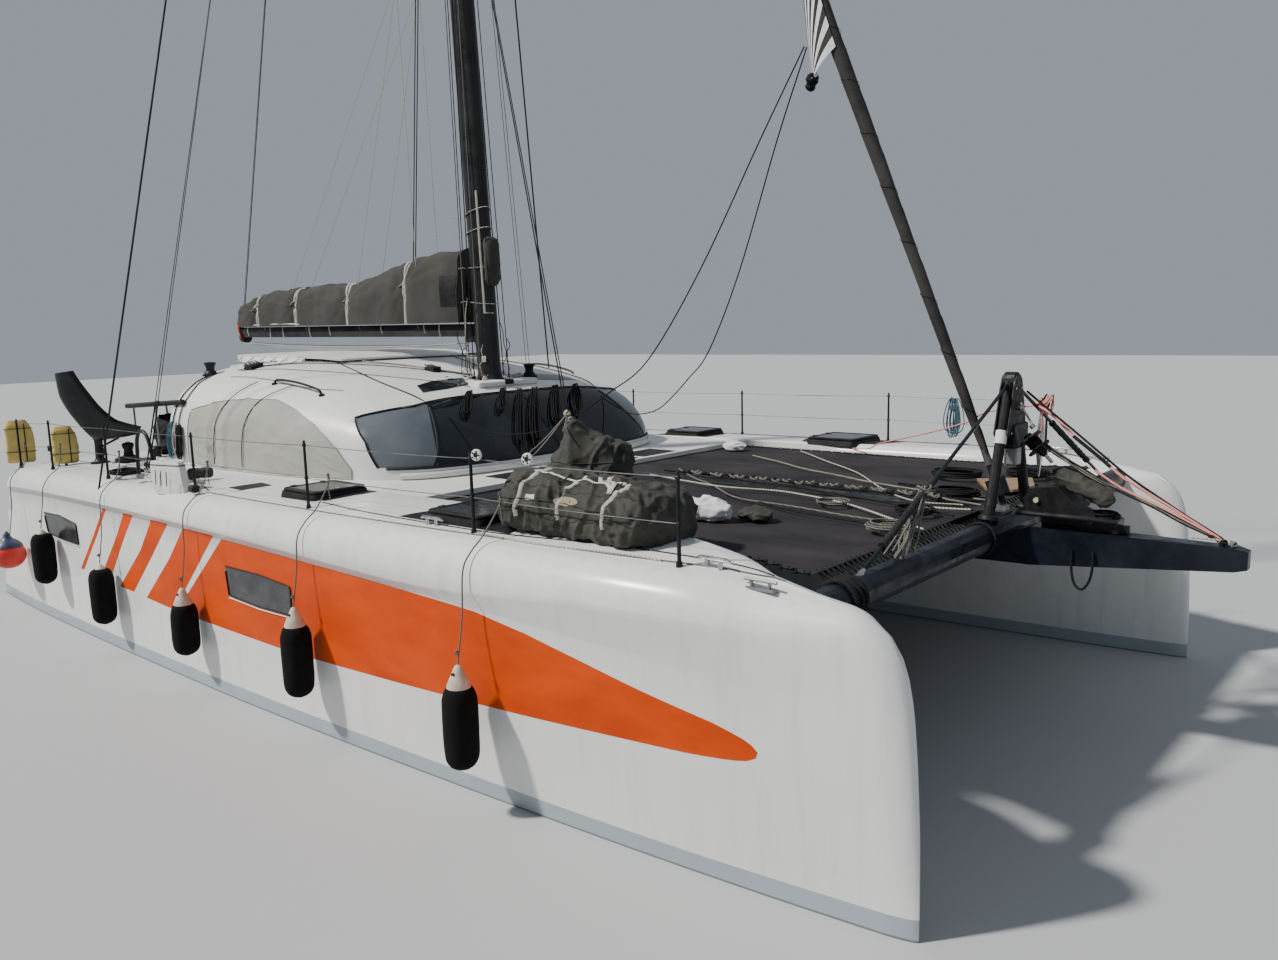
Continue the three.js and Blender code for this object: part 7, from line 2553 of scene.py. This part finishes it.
for k, (points, radius, mark) in enumerate(NET_RUNS):
    path = [Vector((p.x + 0.05 * noise.noise(Vector((p.x, k, 0))),
                    p.y + 0.07 * noise.noise(Vector((p.x * 1.3, k, 5))), 1.955 + radius + 0.004 * (k % 3)))
            for p in smooth_path([(x, y, 0) for x, y in points], 10)]
    on_net.coloured(mark).tube(path, radius, 6)
for k in range(34):
    x = 2.5 + 0.085 * k
    aside = 0.035 * math.sin(2.3 * k)
    on_net.coloured(2 if k % 3 else 0).tube([(x + 0.035 * math.cos(a), 0.10 + aside + 0.035 * math.sin(a),
                                              1.985 + 0.012 * math.sin(2 * a))
                                             for a in (2 * math.pi * i / 8 for i in range(9))],
                                            0.010, 5)
on_net.piece("net_ropes", black_rope, pale_rope, grey_rope, green_rope, slot="black", smooth=70)
for name, at, across, turns, gauge, finish, seed in (
        ("coil_on_net_1", (5.30, 0.30, 1.958), 0.44, 6, 0.016, black_rope, 5),
                                                     ("coil_on_net_2", (5.36, -0.62, 1.958), 0.34, 5, 0.014,
                                                      black_rope, 6),
        ("coil_on_net_3", (4.86, 1.36, 1.958), 0.50, 7, 0.018, black_rope, 7),
                                                     ("coil_on_net_4", (5.42, 1.70, 1.958), 0.42, 8, 0.018,
                                                      black_rope, 8),
        ("coil_on_net_5", (4.62, -0.62, 1.958), 0.30, 4, 0.013, grey_rope, 9),
                                                     ("coil_on_net_6", (5.50, -1.34, 1.958), 0.36, 6, 0.014,
                                                      grey_rope, 10)):
    coil(name, at, across, turns, gauge, finish, seed)
print("runs over the net", len(NET_RUNS))

# %% [markdown]
# Near each bow a fairlead with two short posts and a bar leads a line over the deck's edge.

# %% The fairlead at each bow
ends = Shape()
foot = on_deck(5.62, -3.20, 0.0)
ends.block((foot.x - 0.11, foot.y - 0.030, foot.z - 0.006),
           (foot.x + 0.11, foot.y + 0.030, foot.z + 0.012), 0.006)
for dx in (-0.06, 0.06):
    ends.tube([foot + Vector((dx, 0, 0.0)), foot + Vector((dx * 1.1, 0, 0.045))], 0.012, 10)
ends.tube([foot + Vector((-0.115, 0, 0.052)), foot + Vector((0.115, 0, 0.052))], 0.010, 12)
both_sides(ends, "bow_fairleads", grey_metal, slot="steel", smooth=40)
print("sprit gear done")

# %% [markdown]
# ## Side deck and cockpit
#
# Small gear lies on the side deck by the cockpit: a white tapered pod, a hose bent into a hoop, a black
# roll, and a folding frame over the cockpit's edge.

# %% Pod, hose, roll and frame
side_gear = Shape()
LOW, TOP = [(-1.62, -3.545), (-1.62, -3.375), (-1.15, -3.345), (-1.15, -3.445)], [(-1.66, -3.545),
        (-1.66, -3.415), (-1.25, -3.350), (-1.25, -3.430)]
levels = []
for k in range(9):
    t = k / 8
    z = 1.90 + 0.335 * t
    grow = 1 - 0.10 * (abs(2 * t - 1) ** 6)
    corners = [Vector((a[0], a[1], 0)).lerp(Vector((b[0], b[1], 0)), t) for a, b in zip(LOW, TOP)]
    middle = sum(corners, Vector()) / 4
    ring = []
    for i in range(4):
        a, b = corners[i], corners[(i + 1) % 4]
        for u in (0.10, 0.5, 0.90):
            ring.append(middle + (a.lerp(b, u) - middle) * grow + Vector((0, 0, z)))
    levels.append(ring)
side_gear.coloured(0).loft(levels)
side_gear.coloured(1).tube([p + Vector((0, 0, 0.004)) for p in [*levels[-2], levels[-2][0]]], 0.006, 6)
for k in range(3):
    side_gear.tube([(-1.52 + 0.12 * k, -3.545, 2.00), (-1.52 + 0.12 * k, -3.540, 2.15)], 0.005, 6)
side_gear.block((-1.00, -3.47, 1.955), (-0.89, -3.39, 2.03), 0.015)
side_gear.tube([(-3.81, -3.04, 1.998), (-3.825, -2.8, 2.0), (-3.84, -2.56, 1.998)], 0.016, 8, flat=0.4)
side_gear.coloured(2)
roll_path = [Vector((-1.66, -3.15, 2.05)).lerp(Vector((-1.55, -2.92, 2.05)), k / 12) for k in range(13)]
side_gear.tube(roll_path, [0.035] + [0.056 + 0.004 * math.sin(2.2 * k) for k in range(11)] + [0.035], 16)
for k in (3, 9):
    side_gear.coloured(3).tube([roll_path[k], roll_path[k] + Vector((0.004, 0.010, 0))], 0.0615, 16)
side_gear.piece("side_deck_gear", white_plastic, black_plastic, bag_cloth, dark_webbing,
                slot="canvas", smooth=40)

hose = smooth_path([(-1.93, -3.37, 1.985), (-1.94, -3.37, 2.20), (-2.00, -3.37, 2.40), (-2.09, -3.37, 2.49),
                    (-2.20, -3.37, 2.49),
                    (-2.28, -3.37, 2.40), (-2.31, -3.37, 2.20), (-2.32, -3.37, 1.985)], 6)
hoop = Shape().coloured(0).tube(hose, 0.020, 12)
for end in (hose[0], hose[-1]):
    hoop.coloured(1).lathe((end.x, end.y, 1.972), (0, 0, 1),
                           [(0, 0.050), (0.010, 0.050), (0.016, 0.030), (0.05, 0.028), (0.055, 0.021)], 18)
hoop.piece("hose_hoop", black_plastic, grey_metal, slot="black", smooth=50)

table = Shape()
A, B = Vector((-4.785, -2.40, 2.603)), Vector((-3.206, -2.40, 2.705))
for side in (0, 0.42):
    table.coloured(0).tube([A + Vector((0, side, 0)), B + Vector((0, side, 0))], 0.032, 12)
for t in (0.02, 0.34, 0.66, 0.98):
    p = A.lerp(B, t)
    table.tube([p, p + Vector((0, 0.42, 0))], 0.016, 8)
for t in (0.12, 0.52):
    p = A.lerp(B, t)
    table.coloured(1).tube([p, Vector((p.x + 0.06, p.y - 0.02, 2.00))], 0.014, 8)
    table.tube([p + Vector((0, 0.42, 0)), Vector((p.x + 0.06, p.y + 0.42, 2.00))], 0.014, 8)
web = []
for i in range(13):
    web.append([A.lerp(B, i / 12) + Vector((0, 0.42 * j / 6, 0.012 - 0.035 * math.sin(math.pi * j / 6)))
                for j in range(7)])
table.piece("cockpit_frame", black_plastic, grey_metal, slot="black", smooth=45)
sling = Shape().loft(web, caps=False, around=False).piece("cockpit_frame_cloth", cover_cloth,
        slot="cover", smooth=80)
for name, at, across, turns, gauge, finish, seed in (
        ("coil_aft_1", (-2.86, -3.28, 1.972), 0.40, 7, 0.015, black_rope, 15),
                                                     ("coil_aft_2", (-3.70, -2.90, 1.998), 0.34, 6, 0.013,
                                                      black_rope, 16),
        ("coil_aft_port", (-4.15, 2.80, 1.998), 0.40, 6, 0.014, black_rope, 17)):
    coil(name, at, across, turns, gauge, finish, seed)
aft_winch = Shape()
for x, y in ((-3.55, -2.62), (-4.35, -2.62)):
    aft_winch.coloured(0).lathe((x, y, 1.985), (0, 0, 1),
                                [(0, 0.085), (0.02, 0.085), (0.03, 0.060), (0.10, 0.052), (0.14, 0.070),
                                 (0.165, 0.072), (0.185, 0.055), (0.19, 0.03)], 26)
    aft_winch.coloured(1).tube([(x, y, 2.17), (x, y, 2.185)], 0.024, 8)
both_sides(aft_winch, "aft_winches", black_plastic, steel, slot="black", smooth=35)
print("side gear done")
